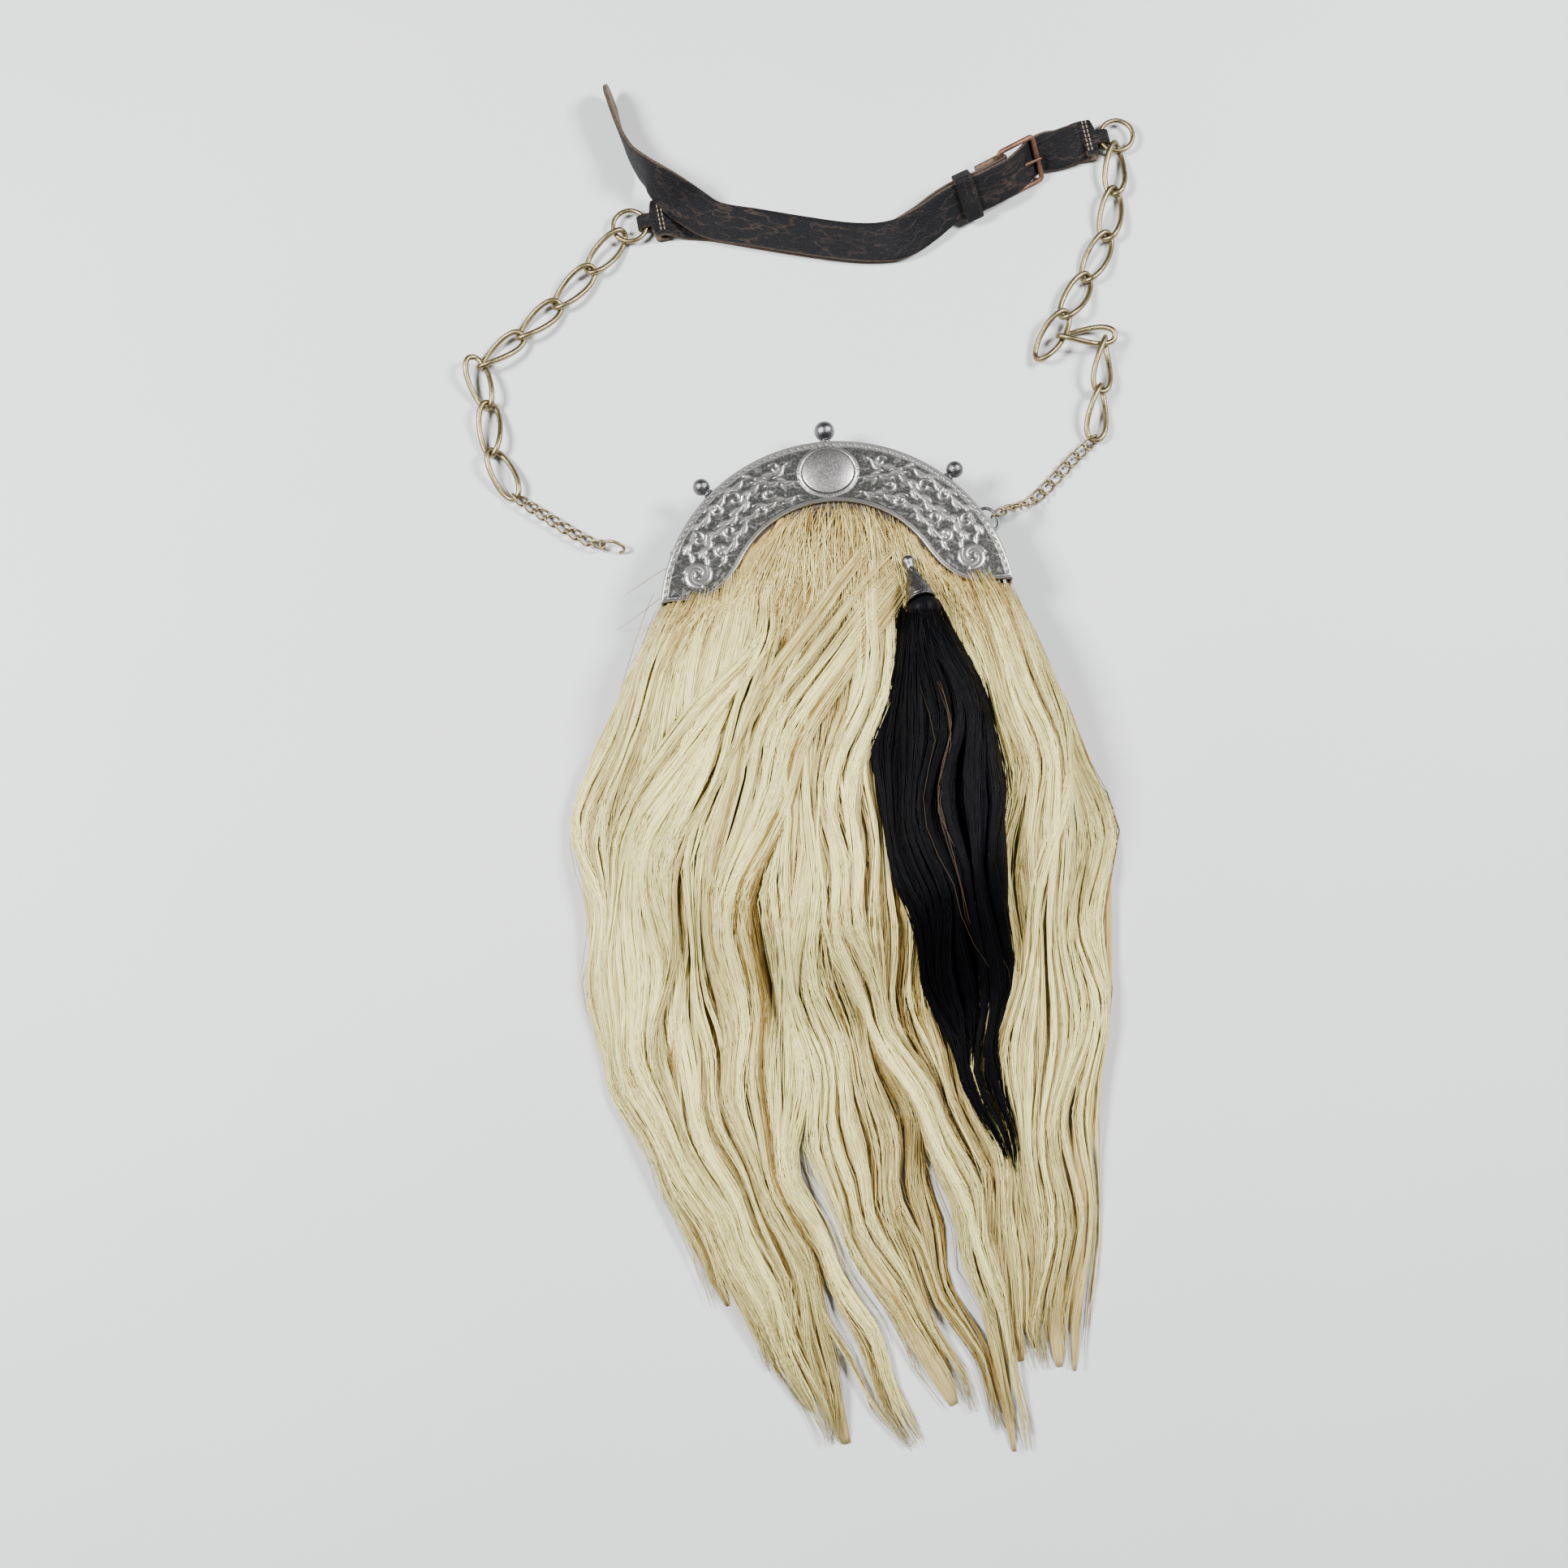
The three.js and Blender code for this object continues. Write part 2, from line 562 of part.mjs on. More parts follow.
/** One tapering lock of hair, made fatter all round by a clearance. */
function lockGeometry(row, clearance = 0) {
  const places = [row.root, row.shoulder, row.middle, row.lower, row.tip];
  const path = new THREE.SplineCurve(places.map((place, index) => {
    const down = THREE.MathUtils.lerp(row.top, row.reach, index / (places.length - 1));
    return new THREE.Vector2(place * HALF_WIDTH, ARCH_TOP_Y - down * HAIR_LENGTH);
  }));
  const rings = [];
  for (let step = 0; step <= LOCK_STEPS; step += 1) {
    const share = step / LOCK_STEPS;
    const point = path.getPoint(share);
    const heading = path.getTangent(share);
    const side = new THREE.Vector3(-heading.y, heading.x, 0);
    const swell = (0.66 + 0.34 * Math.sin(Math.PI * share ** 0.7)) * (1 - 0.86 * share ** 6);
    const half = (row.width * HALF_WIDTH * swell) / 2 + clearance;
    const deep = (row.depth * HAIR_DEPTH * swell) / 2 + clearance;
    const lift = row.lift * HAIR_DEPTH * (1 - share ** 2);
    const height = bedHeight(point.x, point.y) + lift + deep - clearance;
    const ring = [];
    const beyond = heading.clone().multiplyScalar(clearance * (2 * share - 1));
    for (let corner = 0; corner < LOCK_SIDES; corner += 1) {
      const angle = (2 * Math.PI * corner) / LOCK_SIDES;
      const spot = new THREE.Vector3(point.x + beyond.x, point.y + beyond.y, height);
      spot.addScaledVector(side, half * Math.cos(angle));
      spot.z += deep * Math.sin(angle);
      ring.push(spot);
    }
    rings.push(ring);
  }
  return loft(rings);
}

// Tassel cone: its two ends over the hair, across in half cantle widths, down in hair lengths
const CONE_TOP = { across: 0.4, down: 0.074 };
const CONE_END = { across: 0.458, down: 0.127 };
const CONE_SHELL = 1.2; // metal thickness at the mouth
const CONE_CUP = 5; // depth of the mouth
const CONE_REST_Z = HIDE_TOP_Z + HAIR_DEPTH * 0.75;

/** A place on top of the hair, at a height of its own. */
function overHair(spot, height) {
  return new THREE.Vector3(spot.across * HALF_WIDTH, ARCH_TOP_Y - spot.down * HAIR_LENGTH, height);
}

/** The cone's axis: where it starts and which way it points. */
function coneAxis() {
  const top = overHair(CONE_TOP, CONE_REST_Z + CONE_KNOB / 2);
  const mouth = overHair(CONE_END, CONE_REST_Z + CONE_MOUTH / 2);
  const way = mouth.sub(top).normalize();
  return { top, way };
}

/** Turns and moves a geometry made along Y from the origin to lie along the cone's axis. */
function alongCone(geometry) {
  const { top, way } = coneAxis();
  const turn = new THREE.Quaternion().setFromUnitVectors(new THREE.Vector3(0, 1, 0), way);
  geometry.applyQuaternion(turn);
  return geometry.translate(top.x, top.y, top.z);
}

/** The metal cone, with a knob on top and a shallow cup at its mouth. */
function coneGeometry() {
  const knob = CONE_KNOB / 2;
  const neck = CONE_NECK / 2;
  const mouth = CONE_MOUTH / 2;
  const profile = [
    [0, 0], [knob * 0.75, CONE_KNOB * 0.15], [knob, CONE_KNOB * 0.5], [neck, CONE_KNOB],
    [neck * 1.25, CONE_LENGTH * 0.42], [mouth * 0.7, CONE_LENGTH * 0.72], [mouth, CONE_LENGTH],
    [mouth - CONE_SHELL, CONE_LENGTH], [mouth - CONE_SHELL * 1.6, CONE_LENGTH - CONE_CUP],
    [0, CONE_LENGTH - CONE_CUP],
  ].map(([radius, along]) => new THREE.Vector2(radius, along));
  return alongCone(new THREE.LatheGeometry(profile, 9));
}

/** The bound head of the tassel, from inside the cone's cup to the locks. */
function tasselHeadGeometry(clearance = 0) {
  const inner = CONE_MOUTH / 2 - CONE_SHELL * 1.6 - FIT_GAP;
  const wide = CONE_MOUTH / 2 + clearance;
  const start = CONE_LENGTH - CONE_CUP + FIT_GAP;
  const profile = [
    [0, start], [inner, start], [inner, CONE_LENGTH + FIT_GAP],
    [wide, CONE_LENGTH + FIT_GAP + 2], [wide, CONE_LENGTH + wide], [wide * 0.5, CONE_LENGTH + wide * 1.9],
    [0, CONE_LENGTH + wide * 2],
  ].map(([radius, along]) => new THREE.Vector2(radius, along));
  return alongCone(new THREE.LatheGeometry(profile, 10));
}

/** The black tassel, or the room that it needs. */
function tasselBody(clearance) {
  const locks = TASSEL_LOCKS.map((row) => solid(lockGeometry(row, clearance)));
  return join([solid(tasselHeadGeometry(clearance)), ...locks]);
}

/** The room round the cantle that the hair stays out of. */
function cantleRoom() {
  const outline = insetOutline(cantleOutline(), -FIT_GAP);
  const top = PLATE_TOP_Z + CANTLE_DEPTH;
  const inside = OUTER_RADIUS - CANTLE_WALL - FIT_GAP;
  const outside = OUTER_RADIUS + FIT_GAP;
  const band = edgeBand(inside, outside, PLATE_BACK_Z - CANTLE_DEPTH - FIT_GAP, PLATE_TOP_Z);
  return solid(slab(outline, PLATE_BACK_Z - FIT_GAP, top)).add(solid(band));
}

/** The hide with all its cream locks, clear of the bag, the cantle and the tassel. */
function makeHair(tasselRoom, coneRoom) {
  const hide = slab(pouchOutline(POUCH_EDGE / 2), HIDE_BACK_Z, HIDE_TOP_Z);
  const mat = slab(pouchOutline(1.5 * POUCH_EDGE), HIDE_BACK_Z, HIDE_TOP_Z + HAIR_DEPTH * 0.4);
  const locks = LOCKS.map((row) => solid(lockGeometry(row)));
  const bagRoom = slab(pouchOutline(-FIT_GAP), -1, HIDE_BACK_Z);
  return join([solid(hide), solid(mat), ...locks])
    .subtract(solid(bagRoom))
    .subtract(cantleRoom())
    .subtract(tasselRoom)
    .subtract(coneRoom);
}

// Chains

/** Middle line of a chain link: a blunt oval whose two ends are turned opposite ways. */
class LinkCurve extends THREE.Curve {
  constructor(halfLength, halfWidth, twist, steps) {
    super();
    const flat = Math.cos(Math.PI / steps) ** LINK_BLUNTNESS;
    this.halfLength = halfLength;
    this.reach = halfLength / flat;
    this.spread = halfWidth / flat;
    this.twist = twist;
    this.phase = Math.PI / steps;
  }

  getPoint(share, target = new THREE.Vector3()) {
    const angle = 2 * Math.PI * share + this.phase;
    const cos = Math.cos(angle);
    const sin = Math.sin(angle);
    const along = this.reach * Math.sign(cos) * Math.abs(cos) ** LINK_BLUNTNESS;
    const across = this.spread * Math.sign(sin) * Math.abs(sin) ** LINK_BLUNTNESS;
    const turn = (this.twist * along) / this.halfLength;
    return target.set(along, across * Math.cos(turn), across * Math.sin(turn));
  }

  /** Even steps of angle, so that the tight ends get as many sections as the sides. */
  getUtoTmapping(share) {
    return share;
  }
}

/** Middle line of the open hook at the chain's free end. */
class HookCurve extends THREE.Curve {
  getPoint(share, target = new THREE.Vector3()) {
    const angle = radians(125 + 295 * share);
    const along = ((HOOK_LENGTH - HOOK_WIRE) / 2) * Math.cos(angle);
    return target.set(along, ((HOOK_WIDTH - HOOK_WIRE) / 2) * Math.sin(angle), 0);
  }
}

/** Geometry of a closed link. */
function linkGeometry(length, width, wire, twist, steps, sides) {
  const curve = new LinkCurve((length - wire) / 2, (width - wire) / 2, radians(twist), steps);
  return new THREE.TubeGeometry(curve, steps, wire / 2, sides, true);
}

const LINK_KINDS = {
  large: {
    length: LINK_LENGTH,
    width: LINK_WIDTH,
    wire: LINK_WIRE,
    twist: LINK_TWIST,
    geometry: linkGeometry(LINK_LENGTH, LINK_WIDTH, LINK_WIRE, LINK_TWIST, LINK_STEPS, LINK_SIDES),
  },
  fine: {
    length: FINE_LENGTH,
    width: FINE_WIDTH,
    wire: FINE_WIRE,
    twist: FINE_TWIST,
    geometry: linkGeometry(FINE_LENGTH, FINE_WIDTH, FINE_WIRE, FINE_TWIST, FINE_STEPS, LINK_SIDES),
  },
  hook: {
    length: HOOK_LENGTH,
    width: HOOK_WIDTH,
    wire: HOOK_WIRE,
    twist: 0,
    geometry: bentWire(new HookCurve(), HOOK_WIRE, 9),
  },
};

// How the two chains lie. Heading: degrees, +X being 0. Roll: degrees about the link's own
// length. Height: of the link's far end over the table, in widths of that link. Where a link is
// caught by its side wire, from or to give the place: along in half lengths, side +1 or -1.
const RIGHT_CHAIN = [
  { kind: 'fine', heading: 28, roll: -48, height: 2.95 },
  { kind: 'fine', heading: 28, roll: -46, height: 2.38 },
  { kind: 'fine', heading: 28, roll: -44, height: 1.72 },
  { kind: 'fine', heading: 28, roll: -38, height: 1.08 },
  { kind: 'fine', heading: 36, roll: -26, height: 0.58 },
  { kind: 'fine', heading: 42, roll: -10, height: 0.34 },
  { kind: 'fine', heading: 43, roll: 2, height: 0.3 },
  { kind: 'fine', heading: 44, roll: 6, height: 0.32 },
  { kind: 'fine', heading: 45, roll: 12, height: 0.36 },
  { kind: 'fine', heading: 42, roll: 20, height: 0.4 },
  { kind: 'fine', heading: 38, roll: 30, height: 0.43 },
  { kind: 'fine', heading: 45, roll: 50, height: 0.5 },
  { kind: 'large', heading: 78, roll: 35, height: 0.45 },
  { kind: 'large', heading: 80, roll: 45, height: 0.55 },
  { kind: 'large', heading: 175, roll: 30, height: 0.45, from: { along: -0.65, side: 1 } },
  { kind: 'large', heading: 55, roll: 0, height: 0.5, from: { along: 0.15, side: -1 } },
  { kind: 'large', heading: 57, roll: 0, height: 0.27 },
  { kind: 'large', heading: 60, roll: 0, height: 0.31 },
  { kind: 'large', heading: 76, roll: 6, height: 0.35 },
  { kind: 'large', heading: 83, roll: 20, height: 0.36 },
];
const LEFT_CHAIN = [
  { kind: 'large', heading: 228, roll: -14, height: 0.39 },
  { kind: 'large', heading: 224, roll: 0, height: 0.3 },
  { kind: 'large', heading: 220, roll: 14, height: 0.37 },
  { kind: 'large', heading: 216, roll: 25, height: 0.43 },
  { kind: 'large', heading: -74, roll: 12, height: 0.3, from: { along: -0.59, side: 1 } },
  { kind: 'large', heading: -88, roll: 6, height: 0.34 },
  { kind: 'large', heading: -66, roll: -5, height: 0.25 },
  { kind: 'fine', heading: -42, roll: -42, height: 0.45 },
  { kind: 'fine', heading: -37, roll: -32, height: 0.44 },
  { kind: 'fine', heading: -37, roll: -28, height: 0.42 },
  { kind: 'fine', heading: -37, roll: -25, height: 0.42 },
  { kind: 'fine', heading: -36, roll: -26, height: 0.42 },
  { kind: 'fine', heading: -35, roll: -28, height: 0.44 },
  { kind: 'fine', heading: -33, roll: -32, height: 0.48 },
  { kind: 'fine', heading: -17, roll: -45, height: 0.52 },
  { kind: 'hook', heading: -17, roll: -117, height: 0.43 },
];

/** Where a link is held, in its own frame, a given distance inside its wire. */
function holdPoint(kind, seat, inset, end) {
  const halfLength = (kind.length - kind.wire) / 2;
  if (!seat) {
    return new THREE.Vector3(end * (halfLength - inset), 0, 0);
  }
  const round = 2 / LINK_BLUNTNESS;
  const halfWidth = (kind.width - kind.wire) / 2;
  const across = halfWidth * (1 - Math.abs(seat.along) ** round) ** (1 / round) - inset;
  const turn = radians(kind.twist) * seat.along;
  const side = seat.side * across;
  return new THREE.Vector3(seat.along * halfLength, side * Math.cos(turn), side * Math.sin(turn));
}

/** Rotation of a link from its heading, rise and roll, in radians. */
function linkTurn(heading, rise, roll) {
  const along = new THREE.Vector3(
    Math.cos(heading) * Math.cos(rise),
    Math.sin(heading) * Math.cos(rise),
    Math.sin(rise),
  );
  const level = new THREE.Vector3(-Math.sin(heading), Math.cos(heading), 0);
  const up = along.clone().cross(level);
  const across = level.multiplyScalar(Math.cos(roll)).addScaledVector(up, Math.sin(roll));
  const normal = along.clone().cross(across);
  const basis = new THREE.Matrix4().makeBasis(along, across, normal);
  return new THREE.Quaternion().setFromRotationMatrix(basis);
}

/** How much further apart two wires sit where the chain bends; a side seat needs no more. */
function bendStretch(row, next) {
  if (!row || !next || row.to || next.from) {
    return 1;
  }
  return 1 / Math.cos(radians(next.heading - row.heading) / 2);
}

/** Hangs a chain on from a first contact point; gives its meshes and the last contact. */
function layChain(start, rows, names) {
  const point = start.clone();
  const counts = {};
  const meshes = rows.map((row, index) => {
    const kind = LINK_KINDS[row.kind];
    const inset = (kind.wire + FIT_GAP) / 2;
    const entry = holdPoint(kind, row.from, inset * bendStretch(rows[index - 1], row), -1);
    const exit = holdPoint(kind, row.to, inset * bendStretch(row, rows[index + 1]), 1);
    const climb = row.height * kind.width - point.z;
    const rise = Math.asin(THREE.MathUtils.clamp(climb / exit.distanceTo(entry), -0.9, 0.9));
    const turn = linkTurn(radians(row.heading), rise, radians(row.roll));
    const centre = point.clone().sub(entry.applyQuaternion(turn));
    point.copy(centre).add(exit.applyQuaternion(turn));
    counts[row.kind] = (counts[row.kind] ?? 0) + 1;
    const number = row.kind === 'hook' ? '' : `_${counts[row.kind]}`;
    const mesh = piece(`${names[row.kind]}${number}`, kind.geometry, brassy);
    mesh.position.copy(centre);
    mesh.quaternion.copy(turn);
    return mesh;
  });
  return { meshes, end: point };
}

// Strap rings

const RING_RADIUS = (RING_DIAMETER - RING_WIRE) / 2; // to the middle of the wire
const RING_Z = LINK_WIRE + 2 * FIT_GAP + RING_WIRE / 2; // a link's lower wire lies under it
const RING_HOLD = RING_RADIUS - RING_WIRE / 2 - 4 * FIT_GAP; // a link's end lies slack in it
const RIGHT_RING_WAY = 80; // degrees, from the chain's last contact to the ring's centre
const LEFT_RING_WAY = 226; // degrees, from the ring's centre to the chain's first contact

/** A point some way off in a level direction. */
function stepAway(from, degrees, distance) {
  const angle = radians(degrees);
  return from.clone().add(new THREE.Vector3(Math.cos(angle), Math.sin(angle), 0)
    .multiplyScalar(distance));
}

/** A plain wire ring lying level. */
function makeRing(name, centre) {
  const wire = new THREE.TorusGeometry(RING_RADIUS, RING_WIRE / 2, WIRE_SIDES, RING_STEPS);
  const ring = piece(name, wire, brassy);
  ring.position.copy(centre);
  return ring;
}

// Straps. Along and aside are shares of the span between the rings, along from the left ring to
// the right one and aside towards the crown's far side. Roll lifts the far edge, in degrees.
// Lift: in strap thicknesses over the table.
const TAIL_ROUTE = [
  { along: 0.007, aside: 0.3035, roll: 103, lift: 0, half: 0.12 },
  { along: 0.01, aside: 0.27, roll: 101, lift: 0, half: 1 },
  { along: 0.0175, aside: 0.194, roll: 96, lift: 0, half: 1 },
  { along: 0.034, aside: 0.125, roll: 88, lift: 1, half: 1 },
  { along: 0.055, aside: 0.075, roll: 72, lift: 4.4, half: 1 },
  { along: 0.085, aside: 0.038, roll: 46, lift: 4.8, half: 1 },
  { along: 0.125, aside: 0.006, roll: 18, lift: 3.2, half: 1 },
];
const NEAR_ROUTE = [
  { along: 0.115, aside: -0.006, roll: 2, lift: 0, half: 1 },
];
const SHARED_ROUTE = [
  { along: 0.17, aside: -0.022, roll: 6, lift: 0, half: 1 },
  { along: 0.25, aside: -0.054, roll: 5, lift: 0, half: 1 },
  { along: 0.337, aside: -0.088, roll: 4, lift: 0, half: 1 },
  { along: 0.415, aside: -0.116, roll: 3, lift: 0, half: 1 },
  { along: 0.475, aside: -0.132, roll: 8, lift: 0, half: 1 },
  { along: 0.525, aside: -0.136, roll: 24, lift: 0.1, half: 1 },
  { along: 0.575, aside: -0.12, roll: 42, lift: 0.6, half: 1 },
  { along: 0.635, aside: -0.0914, roll: 52, lift: 1.3, half: 1 },
];
const FAR_ROUTE = [
  { along: 0.87, aside: -0.0165, roll: 44, lift: 0.8, half: 1 },
  { along: 0.915, aside: -0.006, roll: 22, lift: 1.1, half: 1 },
];
const BUCKLE_PLACE = { along: 0.79, aside: -0.042, heading: 17.7, roll: 52 };

const LAYER = STRAP_THICKNESS + 3 * FIT_GAP; // from one strap's middle to the next one's
const BAR_FOLD = (BUCKLE_BAR + STRAP_THICKNESS) / 2 + FIT_GAP; // bar's middle to leather's middle
const RING_FOLD = (RING_WIRE + STRAP_THICKNESS) / 2 + FIT_GAP;
const UP = new THREE.Vector3(0, 0, 1);

/** The belt's own level frame, from the left ring to the right one. */
function beltFrame(leftRing, rightRing) {
  const forward = rightRing.clone().sub(leftRing).setZ(0).normalize();
  const aside = UP.clone().cross(forward);
  return { origin: leftRing.clone().setZ(0), forward, aside };
}

/** A point of the belt over the table from shares of the span. */
function beltPoint(frame, row) {
  return frame.origin.clone()
    .addScaledVector(frame.forward, row.along * STRAP_SPAN)
    .addScaledVector(frame.aside, row.aside * STRAP_SPAN);
}

/** Strap stations along a route: middle, grain side's direction and half width. */
function routeStations(frame, rows, layer) {
  const flat = rows.map((row) => beltPoint(frame, row));
  return rows.map((row, index) => {
    const before = flat[Math.max(index - 1, 0)];
    const after = flat[Math.min(index + 1, flat.length - 1)];
    const heading = after.clone().sub(before).normalize();
    const level = UP.clone().cross(heading);
    const roll = radians(row.roll);
    const normal = UP.clone().multiplyScalar(Math.cos(roll)).addScaledVector(level, -Math.sin(roll));
    const rest = (STRAP_WIDTH * Math.abs(Math.sin(roll)) + STRAP_THICKNESS * Math.abs(Math.cos(roll))) / 2;
    const centre = flat[index].clone().setZ(rest + row.lift * STRAP_THICKNESS);
    centre.addScaledVector(normal, layer);
    return { centre, normal, half: (row.half * STRAP_WIDTH) / 2 };
  });
}

/** Stations of leather turned round a bar: in along the grain side, round, and back behind. */
function foldStations({ pivot, out, normal, radius, nearHalf, shoulder, reach }) {
  const station = (away, side, half) => ({
    centre: pivot.clone().addScaledVector(out, away).addScaledVector(normal, side * radius),
    normal: normal.clone().multiplyScalar(side),
    half,
  });
  const full = STRAP_WIDTH / 2;
  const stations = [station(reach, 1, full), station(shoulder + 2, 1, full), station(shoulder, 1, nearHalf)];
  for (let step = 0; step <= 6; step += 1) {
    const angle = Math.PI / 2 - (Math.PI * step) / 6;
    const way = out.clone().multiplyScalar(-Math.cos(angle)).addScaledVector(normal, Math.sin(angle));
    stations.push({ centre: pivot.clone().addScaledVector(way, radius), normal: way, half: nearHalf });
  }
  stations.push(station(shoulder, -1, nearHalf), station(shoulder + 2, -1, full), station(reach, -1, full));
  return stations;
}

/** A flat strip of leather through stations. */
function strapBody(stations) {
  const half = STRAP_THICKNESS / 2;
  const rings = stations.map((station, index) => {
    const before = stations[Math.max(index - 1, 0)].centre;
    const after = stations[Math.min(index + 1, stations.length - 1)].centre;
    const heading = after.clone().sub(before).normalize();
    const across = station.normal.clone().cross(heading).normalize();
    const corner = (side, face) => station.centre.clone()
      .addScaledVector(across, side * station.half)
      .addScaledVector(station.normal, face * half);
    return [corner(1, -1), corner(1, 1), corner(-1, 1), corner(-1, -1)];
  });
  return solid(loft(rings));
}

/** Fold of a strap's tongue through a ring, from the grain side to the back. */
function ringFold(ring, out) {
  const holeRadius = (RING_RADIUS - RING_WIRE / 2) * Math.cos(Math.PI / RING_STEPS);
  const inHole = Math.sqrt(holeRadius ** 2 - (TONGUE_WIDTH / 2) ** 2) + RING_WIRE / 2;
  return foldStations({
    pivot: ring.clone().addScaledVector(out, inHole),
    out,
    normal: UP,
    radius: RING_FOLD,
    nearHalf: TONGUE_WIDTH / 2,
    shoulder: RING_DIAMETER / 2 - inHole + 1,
    reach: RING_DIAMETER / 2 - inHole + RING_RETURN,
  });
}

/** The buckle's frame of reference: its middle and its three directions. */
function buckleFrame(belt) {
  const heading = radians(BUCKLE_PLACE.heading);
  const forward = belt.forward.clone().multiplyScalar(Math.cos(heading))
    .addScaledVector(belt.aside, Math.sin(heading));
  const level = UP.clone().cross(forward);
  const roll = radians(BUCKLE_PLACE.roll);
  const across = level.clone().multiplyScalar(Math.cos(roll)).addScaledVector(UP, Math.sin(roll));
  const normal = forward.clone().cross(across);
  const halfAcross = STRAP_WIDTH / 2 + BUCKLE_CLEARANCE + BUCKLE_BAR;
  const height = halfAcross * Math.sin(roll) + BUCKLE_BAR / 2;
  const centre = beltPoint(belt, BUCKLE_PLACE).setZ(height);
  return { centre, forward, across, normal, halfAcross };
}

/** Puts a geometry made in the buckle's frame in its place. */
function inBuckle(buckle, geometry) {
  const place = new THREE.Matrix4().makeBasis(buckle.forward, buckle.across, buckle.normal);
  place.setPosition(buckle.centre);
  return geometry.applyMatrix4(place);
}

/** Middle line of the buckle's rectangular frame, with rounded corners. */
class FrameCurve extends THREE.Curve {
  constructor(halfLength, halfWidth, corner) {
    super();
    this.points = [[1, -1], [1, 1], [-1, 1], [-1, -1]].flatMap(([x, y], quarter) => {
      const centre = new THREE.Vector2(x * (halfLength - corner), y * (halfWidth - corner));
      return [-90, -60, -30, 0].map((turn) => {
        const angle = radians(turn + quarter * 90);
        return new THREE.Vector3(
          centre.x + corner * Math.cos(angle),
          centre.y + corner * Math.sin(angle),
          0,
        );
      });
    });
  }

  getPoint(share, target = new THREE.Vector3()) {
    const index = Math.round(share * this.points.length) % this.points.length;
    return target.copy(this.points[index]);
  }

  getTangent(share, target = new THREE.Vector3()) {
    const count = this.points.length;
    const index = Math.round(share * count) % count;
    const before = this.points[(index + count - 1) % count];
    const after = this.points[(index + 1) % count];
    return target.copy(after).sub(before).normalize();
  }

  getUtoTmapping(share) {
    return share;
  }
}

/** The buckle's frame. */
function buckleGeometry(buckle) {
  const curve = new FrameCurve(BAR_REACH, buckle.halfAcross - BUCKLE_BAR / 2, BUCKLE_BAR * 0.75);
  return inBuckle(buckle, new THREE.TubeGeometry(curve, 16, BUCKLE_BAR / 2, WIRE_SIDES, true));
}

const BAR_REACH = (BUCKLE_LENGTH - BUCKLE_BAR) / 2; // from the buckle's middle to a bar's
const EYE_RADIUS = (BUCKLE_BAR + PRONG_WIRE) / 2 + FIT_GAP; // of the prong, round its bar

/** The prong's pin, or the hole that it needs. */
function pinBody(buckle, clearance) {
  const start = new THREE.Vector3(-BAR_REACH + EYE_RADIUS, 0, PRONG_WIRE / 4);
  const end = new THREE.Vector3(BAR_REACH + BUCKLE_BAR / 2, 0, EYE_RADIUS);
  const line = new THREE.LineCurve3(start, end);
  return solid(inBuckle(buckle, bentWire(line, PRONG_WIRE + 2 * clearance, 1)));
}

/** The prong: an eye round the left bar and a pin that rests on the right one. */
function prongBody(buckle) {
  const eye = new THREE.TorusGeometry(EYE_RADIUS, PRONG_WIRE / 2, WIRE_SIDES, 12);
  eye.rotateX(Math.PI / 2);
  eye.translate(-BAR_REACH, 0, 0);
  return solid(inBuckle(buckle, eye)).add(pinBody(buckle, 0));
}

/** The oblong slot for the prong's eye in the fold round the left bar. */
function eyeSlot(buckle) {
  const reach = EYE_RADIUS + PRONG_WIRE / 2 + FIT_GAP;
  const tall = 2 * (BAR_FOLD + STRAP_THICKNESS);
  const slot = new THREE.BoxGeometry(2 * reach + STRAP_THICKNESS, PRONG_WIRE + 2 * FIT_GAP, tall);
  slot.translate(-BAR_REACH + STRAP_THICKNESS / 2, 0, 0);
  return solid(inBuckle(buckle, slot));
}

/** The strap that carries the buckle, from the left ring to the buckle's left bar. */
function buckleStrap(belt, leftRing, buckle) {
  const atRing = ringFold(leftRing, belt.forward).reverse();
  const atBar = foldStations({
    pivot: buckle.centre.clone().addScaledVector(buckle.forward, -BAR_REACH),
    out: buckle.forward.clone().negate(),
    normal: buckle.normal,
    radius: BAR_FOLD,
    nearHalf: STRAP_WIDTH / 2,
    shoulder: BUCKLE_BAR,
    reach: FOLD_RETURN,
  });
  return [...atRing, ...routeStations(belt, [...NEAR_ROUTE, ...SHARED_ROUTE], 0), ...atBar];
}

/** The long strap through the buckle: over the left bar, down through the frame, under the right. */
function throughBuckle(buckle) {
  const bar = BAR_REACH;
  const over = BAR_FOLD + LAYER;
  const rows = [
    { at: -bar - FOLD_RETURN, level: over },
    { at: -bar, level: over },
    { at: -bar * 0.62, level: over * 0.88 },
    { at: 0, level: (over - BAR_FOLD) * 0.68 },
    { at: bar * 0.55, level: -BAR_FOLD * 0.4 },
    { at: bar * 0.82, level: -BAR_FOLD * 0.92 },
    { at: bar, level: -BAR_FOLD },
    { at: bar + BUCKLE_BAR * 2, level: -BAR_FOLD },
  ];
  const middles = rows.map((row) => buckle.centre.clone()
    .addScaledVector(buckle.forward, row.at)
    .addScaledVector(buckle.normal, row.level));
  return middles.map((centre, index) => {
    const before = middles[Math.max(index - 1, 0)];
    const after = middles[Math.min(index + 1, middles.length - 1)];
    const heading = after.clone().sub(before).normalize();
    const normal = heading.cross(buckle.across);
    return { centre, normal, half: STRAP_WIDTH / 2 };
  });
}

